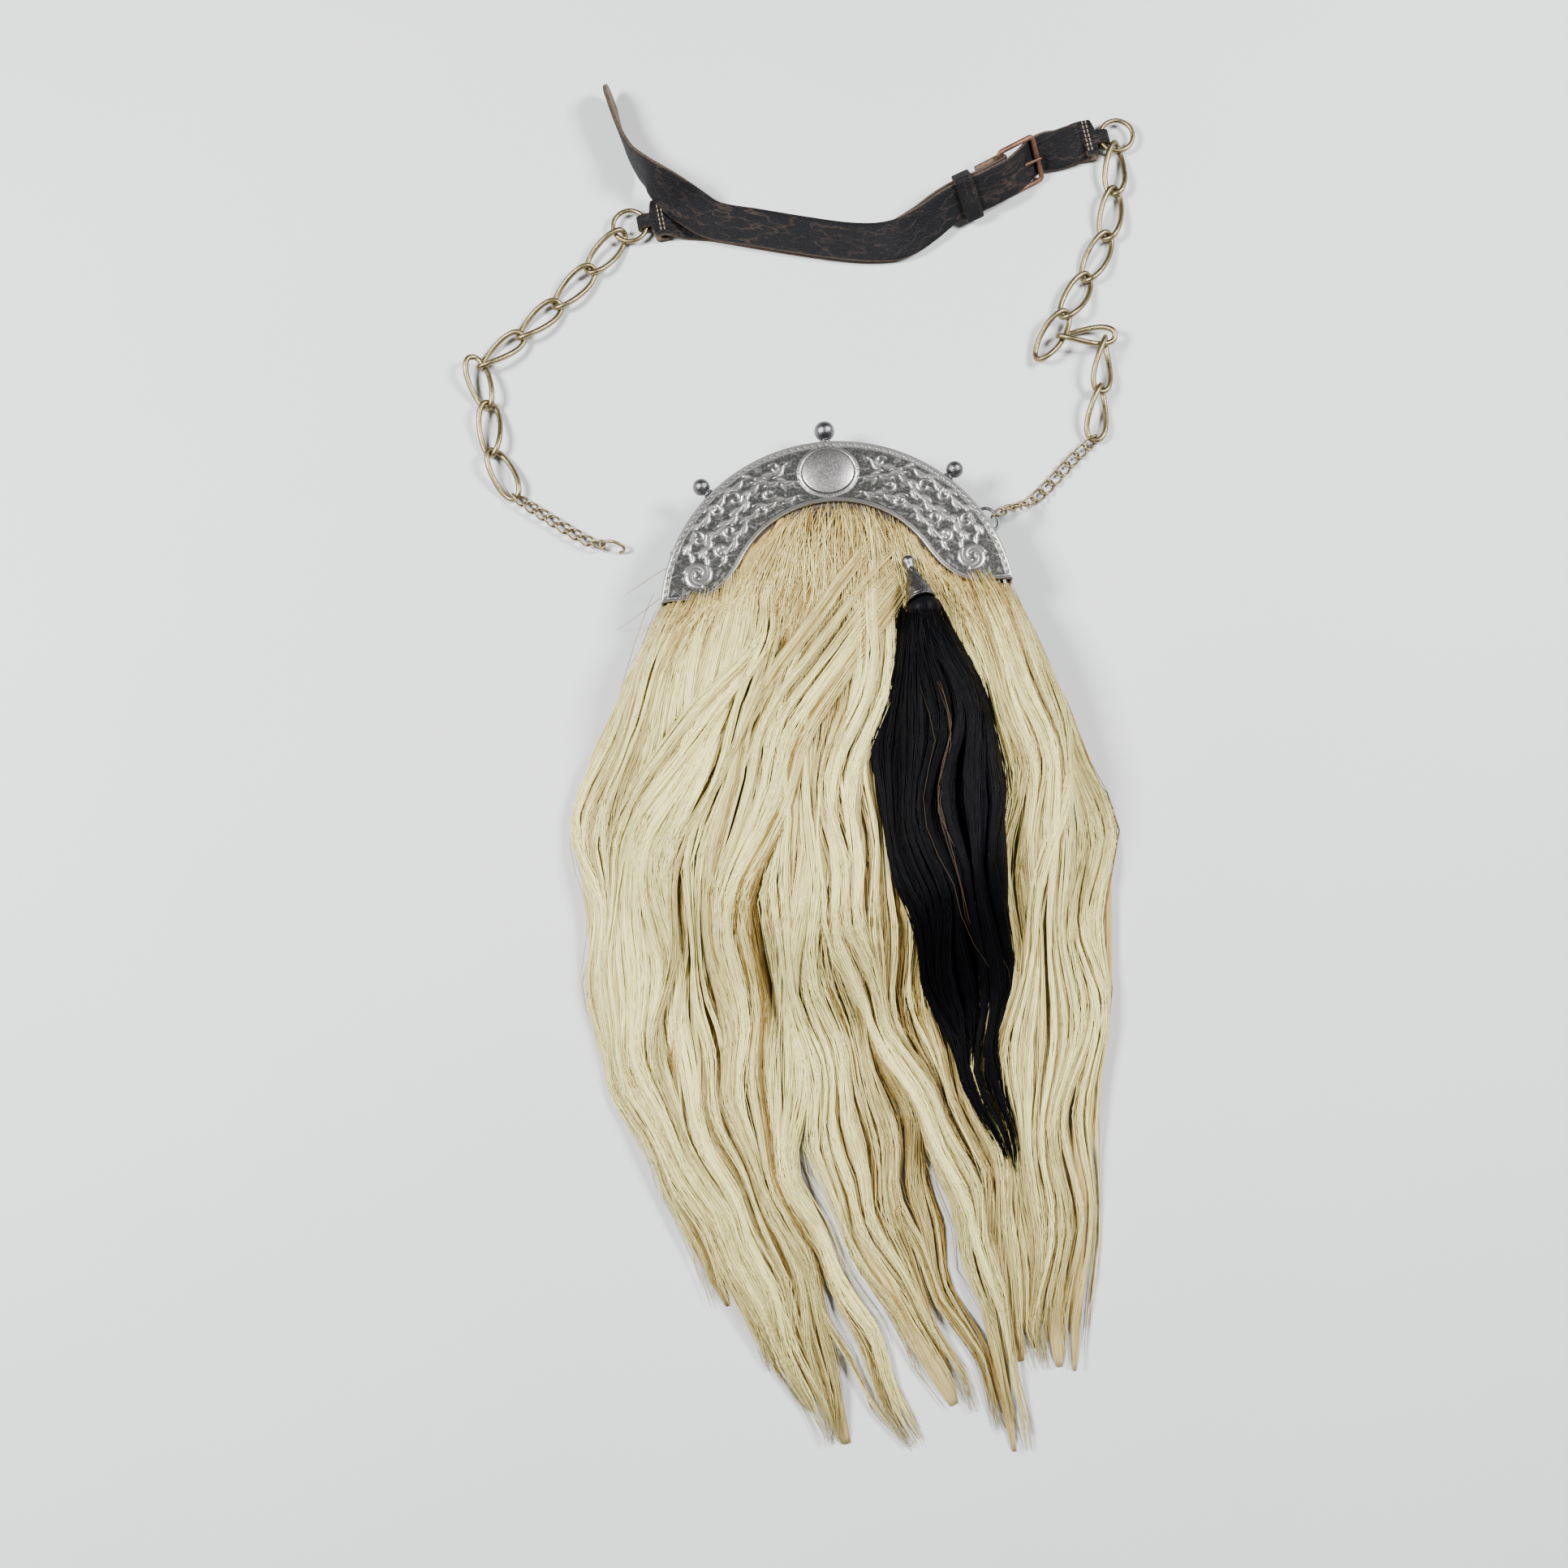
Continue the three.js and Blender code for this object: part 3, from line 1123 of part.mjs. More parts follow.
/** Stations of the long strap, from its free tip to the right ring. */
function longStrap(belt, rightRing, buckle) {
  const tail = routeStations(belt, TAIL_ROUTE, 0);
  const shared = routeStations(belt, SHARED_ROUTE, LAYER);
  const far = routeStations(belt, FAR_ROUTE, 0);
  const atRing = ringFold(rightRing, belt.forward.clone().negate());
  return [...tail, ...shared, ...throughBuckle(buckle), ...far, ...atRing];
}

/** The leather loop round both straps, half way between the shared route's end and the fold. */
function keeperGeometry(lower, buckle) {
  const foldEnd = buckle.centre.clone()
    .addScaledVector(buckle.forward, -BAR_REACH - FOLD_RETURN)
    .addScaledVector(buckle.normal, BAR_FOLD);
  const heading = foldEnd.clone().sub(lower.centre).normalize();
  const across = lower.normal.clone().cross(heading).normalize();
  const normal = heading.clone().cross(across);
  const middle = lower.centre.clone().lerp(foldEnd, 0.5).addScaledVector(normal, LAYER / 2);
  const halfX = STRAP_WIDTH / 2 + 3 * FIT_GAP;
  const halfY = LAYER / 2 + STRAP_THICKNESS / 2 + 2 * FIT_GAP;
  const rounded = (grow) => {
    const x = halfX + grow;
    const y = halfY + grow;
    const cut = grow * 0.8;
    return [
      [x, -y + cut], [x, y - cut], [x - cut, y], [-x + cut, y],
      [-x, y - cut], [-x, -y + cut], [-x + cut, -y], [x - cut, -y],
    ].map(([u, v]) => new THREE.Vector2(u, v));
  };
  const hole = [[halfX, -halfY], [halfX, halfY], [-halfX, halfY], [-halfX, -halfY]]
    .map(([u, v]) => new THREE.Vector2(u, v));
  const geometry = slab(rounded(KEEPER_WALL), -KEEPER_WIDTH / 2, KEEPER_WIDTH / 2, hole);
  const place = new THREE.Matrix4().makeBasis(across, normal, heading);
  place.setPosition(middle);
  return geometry.applyMatrix4(place);
}

// Assembly
const group = new THREE.Group();

group.add(piece('cantle', geometryOf(makeCantle()), silver));
group.add(piece('medallion', makeMedallion(), silver));
group.add(placeOnEdge(piece('finial_centre', finialGeometry(FINIAL_BALL), darkSilver), 0));
group.add(placeOnEdge(piece('finial_left', finialGeometry(SIDE_BALL), darkSilver), -SIDE_FINIAL_ANGLE));
group.add(placeOnEdge(piece('finial_right', finialGeometry(SIDE_BALL), darkSilver), SIDE_FINIAL_ANGLE));

const loopTurn = 90 - LOOP_ANGLE;
const rightLoop = placeOnEdge(piece('loop_right', sideLoopGeometry(), darkSilver), loopTurn);
const folded = sideLoopGeometry().rotateX(-Math.PI / 2).translate(0, LOOP_WIRE / 2, 0);
const leftLoop = placeOnEdge(piece('loop_left', folded, darkSilver), -loopTurn);
group.add(rightLoop, leftLoop);

group.add(piece('pouch_body', geometryOf(makePouch()), bagLeather));
group.add(piece('back_flap', makeFlap(), bagLeather));

const coneRoom = solid(coneGeometry()).add(solid(tasselHeadGeometry(FIT_GAP)));
group.add(piece('hair_front', geometryOf(makeHair(tasselBody(FIT_GAP), coneRoom)), creamHair));
group.add(piece('tassel_cone', coneGeometry(), darkSilver));
group.add(piece('tassel_hair', geometryOf(tasselBody(0)), blackHair));

const loopAngle = radians(LOOP_ANGLE);
const loopReach = OUTER_RADIUS + LOOP_REACH - 1.2 * LOOP_WIRE;
const loopHold = new THREE.Vector3(
  loopReach * Math.cos(loopAngle),
  OUTER_CENTRE_Y + loopReach * Math.sin(loopAngle),
  WALL_MIDDLE_Z,
);
const rightNames = { fine: 'fine_link_right', large: 'chain_link_right' };
const rightChain = layChain(loopHold, RIGHT_CHAIN, rightNames);
const rightRing = stepAway(rightChain.end, RIGHT_RING_WAY, RING_HOLD).setZ(RING_Z);
const leftRing = stepAway(rightRing, STRAP_HEADING, STRAP_SPAN);
const leftHold = stepAway(leftRing, LEFT_RING_WAY, RING_HOLD);
const leftNames = { fine: 'fine_link_left', large: 'chain_link_left', hook: 'end_hook' };
const leftChain = layChain(leftHold, LEFT_CHAIN, leftNames);
group.add(...rightChain.meshes, ...leftChain.meshes);
group.add(makeRing('ring_right', rightRing), makeRing('ring_left', leftRing));

const belt = beltFrame(leftRing, rightRing);
const buckle = buckleFrame(belt);
const lowerStrap = strapBody(buckleStrap(belt, leftRing, buckle)).subtract(eyeSlot(buckle));
const upperStrap = strapBody(longStrap(belt, rightRing, buckle)).subtract(pinBody(buckle, FIT_GAP));
const sharedEnd = routeStations(belt, SHARED_ROUTE, 0).pop();
group.add(piece('buckle_strap', geometryOf(lowerStrap), blackLeather));
group.add(piece('long_strap', geometryOf(upperStrap), blackLeather));
group.add(piece('buckle_frame', buckleGeometry(buckle), bronze));
group.add(piece('buckle_prong', geometryOf(prongBody(buckle)), bronze));
group.add(piece('strap_keeper', keeperGeometry(sharedEnd, buckle), blackLeather));

export default group;
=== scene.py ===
"""A horsehair dress sporran laid on its back on a pale table.

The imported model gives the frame. This script dresses it: a cast silver cantle, cream hair with
one black tassel, twisted chains, two straps with a buckle, and the leather bag behind. Sizes are
in millimetres in the part's own frame: +Z up, +Y to the crown of the cantle. Meshes are written
in metres.
"""

from __future__ import annotations

import logging
import math
from dataclasses import dataclass
from enum import Enum
from typing import Any, NamedTuple

import bpy
import numpy as np
from mathutils import Matrix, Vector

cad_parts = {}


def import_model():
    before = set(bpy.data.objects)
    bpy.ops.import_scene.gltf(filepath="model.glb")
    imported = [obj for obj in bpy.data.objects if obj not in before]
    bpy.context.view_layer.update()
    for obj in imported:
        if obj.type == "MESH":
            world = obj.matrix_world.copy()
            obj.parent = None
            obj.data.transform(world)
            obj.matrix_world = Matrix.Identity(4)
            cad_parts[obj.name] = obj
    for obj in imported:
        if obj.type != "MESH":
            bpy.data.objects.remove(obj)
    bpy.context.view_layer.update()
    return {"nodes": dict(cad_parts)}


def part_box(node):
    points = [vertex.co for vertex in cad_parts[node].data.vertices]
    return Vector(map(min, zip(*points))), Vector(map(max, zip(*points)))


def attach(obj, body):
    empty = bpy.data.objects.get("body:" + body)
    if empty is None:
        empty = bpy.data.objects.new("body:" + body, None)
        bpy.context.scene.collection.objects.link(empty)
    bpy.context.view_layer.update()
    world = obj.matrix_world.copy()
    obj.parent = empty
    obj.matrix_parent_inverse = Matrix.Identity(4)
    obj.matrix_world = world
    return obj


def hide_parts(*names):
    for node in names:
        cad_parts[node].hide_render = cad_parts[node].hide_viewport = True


Array = np.ndarray
MM = 0.001
LOG = logging.getLogger("sporran")


class Slot(Enum):
    """Names of material slots; put takes one but does not use it."""

    CANTLE = "cantle_silver"
    MEDALLION = "medallion_silver"
    DARK_SILVER = "dark_silver"
    CHAIN = "chain_metal"
    BRONZE = "buckle_bronze"
    STRAP = "strap_leather"
    BAG = "bag_leather"
    CREAM = "cream_hair"
    BLACK = "black_hair"


# Mesh making


@dataclass
class Surface:
    """A mesh in the making: points in millimetres, faces of one size each, and named values."""

    points: Array
    faces: list[Array]
    values: dict[str, Array]
    uv: Array | None = None

    @staticmethod
    def joined(parts: list["Surface"]) -> "Surface":
        """Several surfaces as one mesh.

        Args:
            parts: surfaces with the same named values.

        Returns:
            One surface that holds them all.
        """
        offset = 0
        faces = []
        for part in parts:
            faces.extend(face + offset for face in part.faces)
            offset += len(part.points)
        names = parts[0].values.keys()
        values = {name: np.concatenate([part.values[name] for part in parts]) for name in names}
        uv = None if parts[0].uv is None else np.concatenate([part.uv for part in parts])
        return Surface(np.concatenate([part.points for part in parts]), faces, values, uv)

    def volume(self) -> float:
        """Signed volume: the sum over faces of the box product of a fan of corners."""
        total = 0.0
        for face in self.faces:
            first = self.points[face[:, 0]]
            for corner in range(1, face.shape[1] - 1):
                second = self.points[face[:, corner]]
                third = self.points[face[:, corner + 1]]
                total += float(np.einsum("ij,ij->", first, np.cross(second, third)))
        return total / 6

    def outward(self) -> "Surface":
        """The same closed surface with its faces pointing outwards."""
        if self.volume() < 0:
            self.faces = [face[:, ::-1] for face in self.faces]
        return self

    def to_object(self, name: str, material: bpy.types.Material) -> bpy.types.Object:
        """Writes the mesh into a new object at the origin.

        Args:
            name: the piece's name.
            material: its material.

        Returns:
            The object, linked to the scene.
        """
        mesh = bpy.data.meshes.new(name)
        mesh.vertices.add(len(self.points))
        mesh.vertices.foreach_set("co", (self.points * MM).astype(np.float32).ravel())
        corners = np.concatenate([face.ravel() for face in self.faces]).astype(np.int32)
        counts = np.concatenate([np.full(len(face), face.shape[1]) for face in self.faces])
        starts = np.concatenate([[0], np.cumsum(counts)[:-1]]).astype(np.int32)
        mesh.loops.add(len(corners))
        mesh.loops.foreach_set("vertex_index", corners)
        mesh.polygons.add(len(starts))
        mesh.polygons.foreach_set("loop_start", starts)
        mesh.polygons.foreach_set("use_smooth", np.ones(len(starts), dtype=bool))
        mesh.update(calc_edges=True)
        for key, value in self.values.items():
            attribute = mesh.attributes.new(key, "FLOAT", "POINT")
            attribute.data.foreach_set("value", value.astype(np.float32).ravel())
        if self.uv is not None:
            layer = mesh.uv_layers.new(name="surface")
            layer.data.foreach_set("uv", (self.uv[corners] * MM).astype(np.float32).ravel())
        mesh.validate()
        thing = bpy.data.objects.new(name, mesh)
        bpy.context.scene.collection.objects.link(thing)
        thing.data.materials.append(material)
        return thing


def grid_faces(rows: int, columns: int, wrap_rows: bool = False, wrap: bool = True) -> Array:
    """Quads over a grid of points numbered row by row.

    Args:
        rows: rows of points.
        columns: points in a row.
        wrap_rows: whether the last row joins the first.
        wrap: whether the last column joins the first.

    Returns:
        Point numbers, four to a quad.
    """
    row = np.arange(rows if wrap_rows else rows - 1)[:, None]
    column = np.arange(columns if wrap else columns - 1)[None, :]
    after_row = (row + 1) % rows
    after = (column + 1) % columns
    corners = [row * columns + column, row * columns + after, after_row * columns + after,
               after_row * columns + column]
    return np.stack([np.broadcast_to(c, (row.size, column.size)) for c in corners], -1).reshape(-1, 4)


def unit(vectors: Array) -> Array:
    """Vectors scaled to length 1 along the last axis."""
    return vectors / np.maximum(np.linalg.norm(vectors, axis=-1, keepdims=True), 1e-12)


def spline(points: Array, share: Array) -> Array:
    """A uniform Catmull-Rom curve through points.

    Each stretch is a cubic whose slope at a point is half the step between its neighbours.

    Args:
        points: K points of any dimension.
        share: places from 0 to 1, of any shape.

    Returns:
        Points of the curve, with the shape of share and the dimension of the points.
    """
    last = len(points) - 1
    place = np.clip(share, 0, 1) * last
    index = np.minimum(place.astype(int), last - 1)
    t = (place - index)[..., None]
    before, start = points[np.maximum(index - 1, 0)], points[index]
    end, after = points[index + 1], points[np.minimum(index + 2, last)]
    slope, slope_end = (end - before) / 2, (after - start) / 2
    cubic = (2 * start - 2 * end + slope + slope_end) * t**3
    square = (-3 * start + 3 * end - 2 * slope - slope_end) * t**2
    return cubic + square + slope * t + start


def tube(path: Array, radius: Array | float, sides: int, closed: bool, outward: Array | None = None,
         **values: Array) -> Surface:
    """A round section carried along a path: path + radius (cos a * out + sin a * side).

    Args:
        path: points of the middle line.
        radius: one radius, or one for each point.
        sides: corners of the section.
        closed: whether the path is a loop.
        outward: directions that the section's first corner leans to, one for each point.
        values: named values for each point of the path.

    Returns:
        A closed surface, capped where the path is open.
    """
    count = len(path)
    along = np.roll(path, -1, 0) - np.roll(path, 1, 0) if closed else np.gradient(path, axis=0)
    along = unit(along)
    lean = path - path.mean(0) if outward is None else outward
    lean = unit(lean - (lean * along).sum(-1, keepdims=True) * along)
    side = np.cross(along, lean)
    angle = np.linspace(0, 2 * math.pi, sides, endpoint=False)[None, :, None]
    size = np.broadcast_to(np.asarray(radius, float), (count,))[:, None, None]
    rings = path[:, None] + size * (np.cos(angle) * lean[:, None] + np.sin(angle) * side[:, None])
    faces = [grid_faces(count, sides, wrap_rows=closed)]
    if not closed:
        first, last = np.arange(sides)[None, ::-1], (count - 1) * sides + np.arange(sides)[None, :]
        faces += [first, last]
    spread = {key: np.repeat(value, sides) for key, value in values.items()}
    return Surface(rings.reshape(-1, 3), faces, spread).outward()


def lathe(profile: Array, sides: int, base: Array, axis: Array, **values: Array) -> Surface:
    """A profile turned about an axis: base + along * axis + radius (cos a, sin a) across it.

    Args:
        profile: rows of radius and distance along the axis, from pole to pole.
        sides: corners round the axis.
        base: where the axis starts.
        axis: its direction.
        values: named values for each row of the profile.

    Returns:
        A closed surface.
    """
    axis = unit(np.asarray(axis, float))
    first = unit(np.cross(axis, [0.31, 0.17, 0.93]))
    second = np.cross(axis, first)
    angle = np.linspace(0, 2 * math.pi, sides, endpoint=False)[None, :, None]
    radius = np.maximum(profile[:, :1], 1e-3)[:, :, None]
    rings = base + profile[:, 1][:, None, None] * axis
    rings = rings + radius * (np.cos(angle) * first + np.sin(angle) * second)
    last = (len(profile) - 1) * sides
    caps = [np.arange(sides)[None, ::-1], last + np.arange(sides)[None, :]]
    spread = {key: np.repeat(value, sides) for key, value in values.items()}
    return Surface(rings.reshape(-1, 3), [grid_faces(len(profile), sides), *caps], spread).outward()


def finer(profile: list[tuple[float, float]], steps: int = 6) -> Array:
    """A short profile with more points between its corners, on a smooth curve through them."""
    rows = np.array(profile, float)
    smooth = spline(rows, np.linspace(0, 1, (len(rows) - 1) * steps + 1))
    smooth[:, 0] = np.maximum(smooth[:, 0], 0)
    return smooth


def put(surface: Surface, name: str, finish: "Finish", slot: Slot, *nodes: str) -> bpy.types.Object:
    """Makes a piece that rides with the part and stands for CAD nodes.

    Args:
        surface: its mesh.
        name: its name.
        finish: its finish.
        slot: a material slot; not used.
        nodes: the CAD nodes that it replaces.

    Returns:
        The new object.
    """
    thing = surface.to_object(name, finish.material())
    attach(thing, "root")
    if nodes:
        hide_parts(*nodes)
    LOG.info("%s: %d faces", name, len(thing.data.polygons))
    return thing


# Materials


class Nodes:
    """Short ways to add and join the nodes of one tree."""

    def __init__(self, tree: bpy.types.NodeTree) -> None:
        """Keeps the tree."""
        self.tree = tree

    def add(self, kind: str, inputs: dict[Any, Any] | None = None, **settings: Any) -> bpy.types.Node:
        """Adds a node.

        Args:
            kind: the node's type without its ShaderNode prefix.
            inputs: input name or number to a socket to link, or a plain value to set.
            settings: the node's own settings.

        Returns:
            The node.
        """
        node = self.tree.nodes.new("ShaderNode" + kind)
        for key, value in settings.items():
            setattr(node, key, value)
        for key, value in (inputs or {}).items():
            if isinstance(value, bpy.types.NodeSocket):
                self.tree.links.new(value, node.inputs[key])
            else:
                node.inputs[key].default_value = value
        return node

    def scale(self, value: Any, low: float, high: float, to_low: float = 0, to_high: float = 1) -> Any:
        """A value moved from one range to another, and kept inside it."""
        inputs = {0: value, 1: low, 2: high, 3: to_low, 4: to_high}
        return self.add("MapRange", inputs).outputs[0]

    def mix(self, factor: Any, first: Any, second: Any) -> Any:
        """A colour between two colours."""
        return self.add("Mix", {0: factor, 6: first, 7: second}, data_type="RGBA").outputs[2]

    def math(self, operation: str, first: Any, second: Any = 0.0) -> Any:
        """The result of one operation on two numbers."""
        return self.add("Math", {0: first, 1: second}, operation=operation).outputs[0]

    def value(self, name: str) -> Any:
        """A named value of the mesh."""
        return self.add("Attribute", attribute_name=name).outputs["Fac"]

    def bump(self, height: Any, strength: float, distance: float) -> Any:
        """A normal from a height."""
        inputs = {"Strength": strength, "Distance": distance, "Height": height}
        return self.add("Bump", inputs).outputs[0]


def group_tree(name: str, inputs: dict[str, float], outputs: list[str]) -> tuple[Nodes, Any, Any, bool]:
    """A shader node group with number sockets, made once.

    Args:
        name: the group's name.
        inputs: input names with their usual values.
        outputs: output names.

    Returns:
        The group's nodes, its input node, its output node, and whether it is new.
    """
    known = bpy.data.node_groups.get(name)
    tree = known or bpy.data.node_groups.new(name, "ShaderNodeTree")
    if known:
        return Nodes(tree), None, None, False
    for key, value in inputs.items():
        socket = tree.interface.new_socket(key, in_out="INPUT", socket_type="NodeSocketFloat")
        socket.default_value = value
    for key in outputs:
        tree.interface.new_socket(key, in_out="OUTPUT", socket_type="NodeSocketFloat")
    return Nodes(tree), tree.nodes.new("NodeGroupInput"), tree.nodes.new("NodeGroupOutput"), True


def mottle_group() -> bpy.types.NodeTree:
    """Uneven patches over a surface, from two noises of the place; gives a mask and a fine grain."""
    nodes, given, result, new = group_tree("mottle", {"Scale": 60, "Contrast": 0.2}, ["Mask", "Grain"])
    if new:
        place = nodes.add("TexCoord").outputs["Object"]
        broad = nodes.add("TexNoise", {"Vector": place, "Scale": given.outputs["Scale"], "Detail": 4})
        grain_scale = nodes.math("MULTIPLY", given.outputs["Scale"], 9.0)
        fine = nodes.add("TexNoise", {"Vector": place, "Scale": grain_scale, "Detail": 3})
        low = nodes.math("SUBTRACT", 0.5, given.outputs["Contrast"])
        high = nodes.math("ADD", 0.5, given.outputs["Contrast"])
        mask = nodes.add("MapRange", {0: broad.outputs[0], 1: low, 2: high}).outputs[0]
        nodes.tree.links.new(mask, result.inputs["Mask"])
        nodes.tree.links.new(fine.outputs[0], result.inputs["Grain"])
    return nodes.tree


def grain_group() -> bpy.types.NodeTree:
    """Leather grain on the surface's own map: cells with creases between them, and long cracks."""
    inputs = {"Scale": 900, "Crack": 0.5}
    nodes, given, result, new = group_tree("leather_grain", inputs, ["Height", "Crease"])
    if new:
        place = nodes.add("UVMap", uv_map="surface").outputs[0]
        cells = nodes.add("TexVoronoi", {"Vector": place, "Scale": given.outputs["Scale"]},
                          feature="DISTANCE_TO_EDGE")
        stretched = nodes.add("Mapping", {"Vector": place, "Scale": (0.35, 1.0, 1.0)}).outputs[0]
        bent = nodes.add("TexNoise", {"Vector": stretched, "Scale": 160.0, "Detail": 5})
        cracked = nodes.add("MapRange", {0: bent.outputs[0], 1: 0.44, 2: 0.53}).outputs[0]
        ridge = nodes.math("ABSOLUTE", nodes.math("SUBTRACT", cracked, 0.5))
        crack = nodes.add("MapRange", {0: ridge, 1: 0.0, 2: 0.32, 3: 1.0, 4: 0.0}).outputs[0]
        crease = nodes.math("MULTIPLY", crack, given.outputs["Crack"])
        cell = nodes.add("MapRange", {0: cells.outputs[0], 1: 0.0, 2: 0.18}).outputs[0]
        height = nodes.math("SUBTRACT", cell, nodes.math("MULTIPLY", crease, 1.6))
        nodes.tree.links.new(height, result.inputs["Height"])
        nodes.tree.links.new(crease, result.inputs["Crease"])
    return nodes.tree


def fibre_group() -> bpy.types.NodeTree:
    """Fine fibres along the surface's own map: two noises drawn out along it, one finer."""
    inputs = {"Scale": 900, "Stretch": 0.02}
    nodes, given, result, new = group_tree("fibres", inputs, ["Mask", "Height"])
    if new:
        place = nodes.add("UVMap", uv_map="surface").outputs[0]
        split = nodes.add("SeparateXYZ", {0: place})
        along = nodes.math("MULTIPLY", split.outputs[0], given.outputs["Stretch"])
        drawn = nodes.add("CombineXYZ", {0: along, 1: split.outputs[1]}).outputs[0]
        coarse = nodes.add("TexNoise", {"Vector": drawn, "Scale": given.outputs["Scale"], "Detail": 3})
        finer_scale = nodes.math("MULTIPLY", given.outputs["Scale"], 2.7)
        fine = nodes.add("TexNoise", {"Vector": drawn, "Scale": finer_scale, "Detail": 2})
        both = nodes.math("MULTIPLY", nodes.math("ADD", coarse.outputs[0], fine.outputs[0]), 0.5)
        nodes.tree.links.new(nodes.scale(both, 0.38, 0.62), result.inputs["Mask"])
        nodes.tree.links.new(both, result.inputs["Height"])
    return nodes.tree


class Finish:
    """One finish. A finish builds its material once and gives it again after that."""

    name = "finish"

    def material(self) -> bpy.types.Material:
        """The material, made on first use."""
        known = bpy.data.materials.get(self.name)
        if known:
            return known
        made = bpy.data.materials.new(self.name)
        made.use_nodes = True
        nodes = Nodes(made.node_tree)
        self.dress(nodes, made.node_tree.nodes["Principled BSDF"])
        return made

    def dress(self, nodes: Nodes, shader: bpy.types.Node) -> None:
        """Sets the shader's sockets; each finish has its own."""
        raise NotImplementedError

    @staticmethod
    def mottle(nodes: Nodes, size: float, contrast: float) -> bpy.types.Node:
        """The shared mottle group with its own patch size in millimetres."""
        node = nodes.add("Group", node_tree=mottle_group())
        node.inputs["Scale"].default_value = 1 / (size * MM)
        node.inputs["Contrast"].default_value = contrast
        return node

    @staticmethod
    def feed(nodes: Nodes, shader: bpy.types.Node, sockets: dict[str, Any]) -> None:
        """Sets or links several sockets of the shader."""
        for key, value in sockets.items():
            if isinstance(value, bpy.types.NodeSocket):
                nodes.tree.links.new(value, shader.inputs[key])
            else:
                shader.inputs[key].default_value = value


@dataclass(frozen=True)
class CastSilver(Finish):
    """Antique cast silver: bright high places, dark tarnish in the recesses."""

    name: str = "cast_silver"
    bright: tuple[float, ...] = (0.54, 0.535, 0.52, 1)
    dark: tuple[float, ...] = (0.035, 0.035, 0.033, 1)
    warm: tuple[float, ...] = (0.34, 0.325, 0.30, 1)

    def dress(self, nodes: Nodes, shader: bpy.types.Node) -> None:
        """Mixes tarnish and silver by the relief's height and by patches."""
        patches = self.mottle(nodes, 9, 0.22)
        height = nodes.value("relief")
        worn = nodes.math("ADD", height, nodes.scale(patches.outputs["Grain"], 0.3, 0.7, -0.14, 0.14))
        clean = nodes.scale(worn, -0.04, 1.0)
        silver = nodes.mix(nodes.scale(patches.outputs["Mask"], 0, 1, 0, 0.5), self.bright, self.warm)
        self.feed(nodes, shader, {
            "Base Color": nodes.mix(clean, self.dark, silver),
            "Metallic": nodes.scale(clean, 0, 1, 0.8, 1),
            "Roughness": nodes.scale(clean, 0, 1, 0.5, 0.3),
            "Normal": nodes.bump(patches.outputs["Grain"], 0.25, 0.0002),
        })


@dataclass(frozen=True)
class PolishedSilver(Finish):
    """Hand-polished plate with a soft brushed haze and a little tarnish near its rim."""

    name: str = "polished_silver"
    bright: tuple[float, ...] = (0.66, 0.64, 0.63, 1)
    hazy: tuple[float, ...] = (0.36, 0.34, 0.34, 1)

    def dress(self, nodes: Nodes, shader: bpy.types.Node) -> None:
        """Mixes bright and hazy silver in patches and by the distance from the rim."""
        patches = self.mottle(nodes, 6, 0.3)
        haze = nodes.math("MULTIPLY", patches.outputs["Mask"], 0.6)
        rim = nodes.scale(nodes.value("relief"), 0.0, 0.5, 0.8, 0.0)
        amount = nodes.math("MAXIMUM", haze, rim)
        self.feed(nodes, shader, {
            "Base Color": nodes.mix(amount, self.bright, self.hazy),
            "Metallic": 1.0,
            "Roughness": nodes.scale(patches.outputs["Grain"], 0.3, 0.7, 0.26, 0.4),
            "Normal": nodes.bump(patches.outputs["Grain"], 0.12, 0.0002),
        })


@dataclass(frozen=True)
class WornMetal(Finish):
    """Plated wire or a worn casting: plating over a warmer metal, with dull patches."""

    name: str = "worn_metal"
    plate: tuple[float, ...] = (0.37, 0.31, 0.17, 1)
    under: tuple[float, ...] = (0.28, 0.20, 0.09, 1)
    dull: tuple[float, ...] = (0.05, 0.043, 0.032, 1)
    patch: float = 6
    wear: float = 0.35
    smooth: float = 0.24
    rough: float = 0.46
    metallic: float = 1.0

    def dress(self, nodes: Nodes, shader: bpy.types.Node) -> None:
        """Mixes plating, the metal below and dull dirt by two sets of patches."""
        patches = self.mottle(nodes, self.patch, 0.12)
        spots = self.mottle(nodes, self.patch / 3.1, 0.07)
        metal = nodes.mix(nodes.math("MULTIPLY", patches.outputs["Mask"], self.wear * 2), self.plate,
                          self.under)
        dirt = nodes.scale(spots.outputs["Grain"], 0.47, 0.63, 0, 0.85)
        self.feed(nodes, shader, {
            "Base Color": nodes.mix(dirt, metal, self.dull),
            "Metallic": self.metallic,
            "Roughness": nodes.scale(patches.outputs["Grain"], 0.3, 0.7, self.smooth, self.rough),
            "Normal": nodes.bump(spots.outputs["Grain"], 0.3, 0.0003),
        })


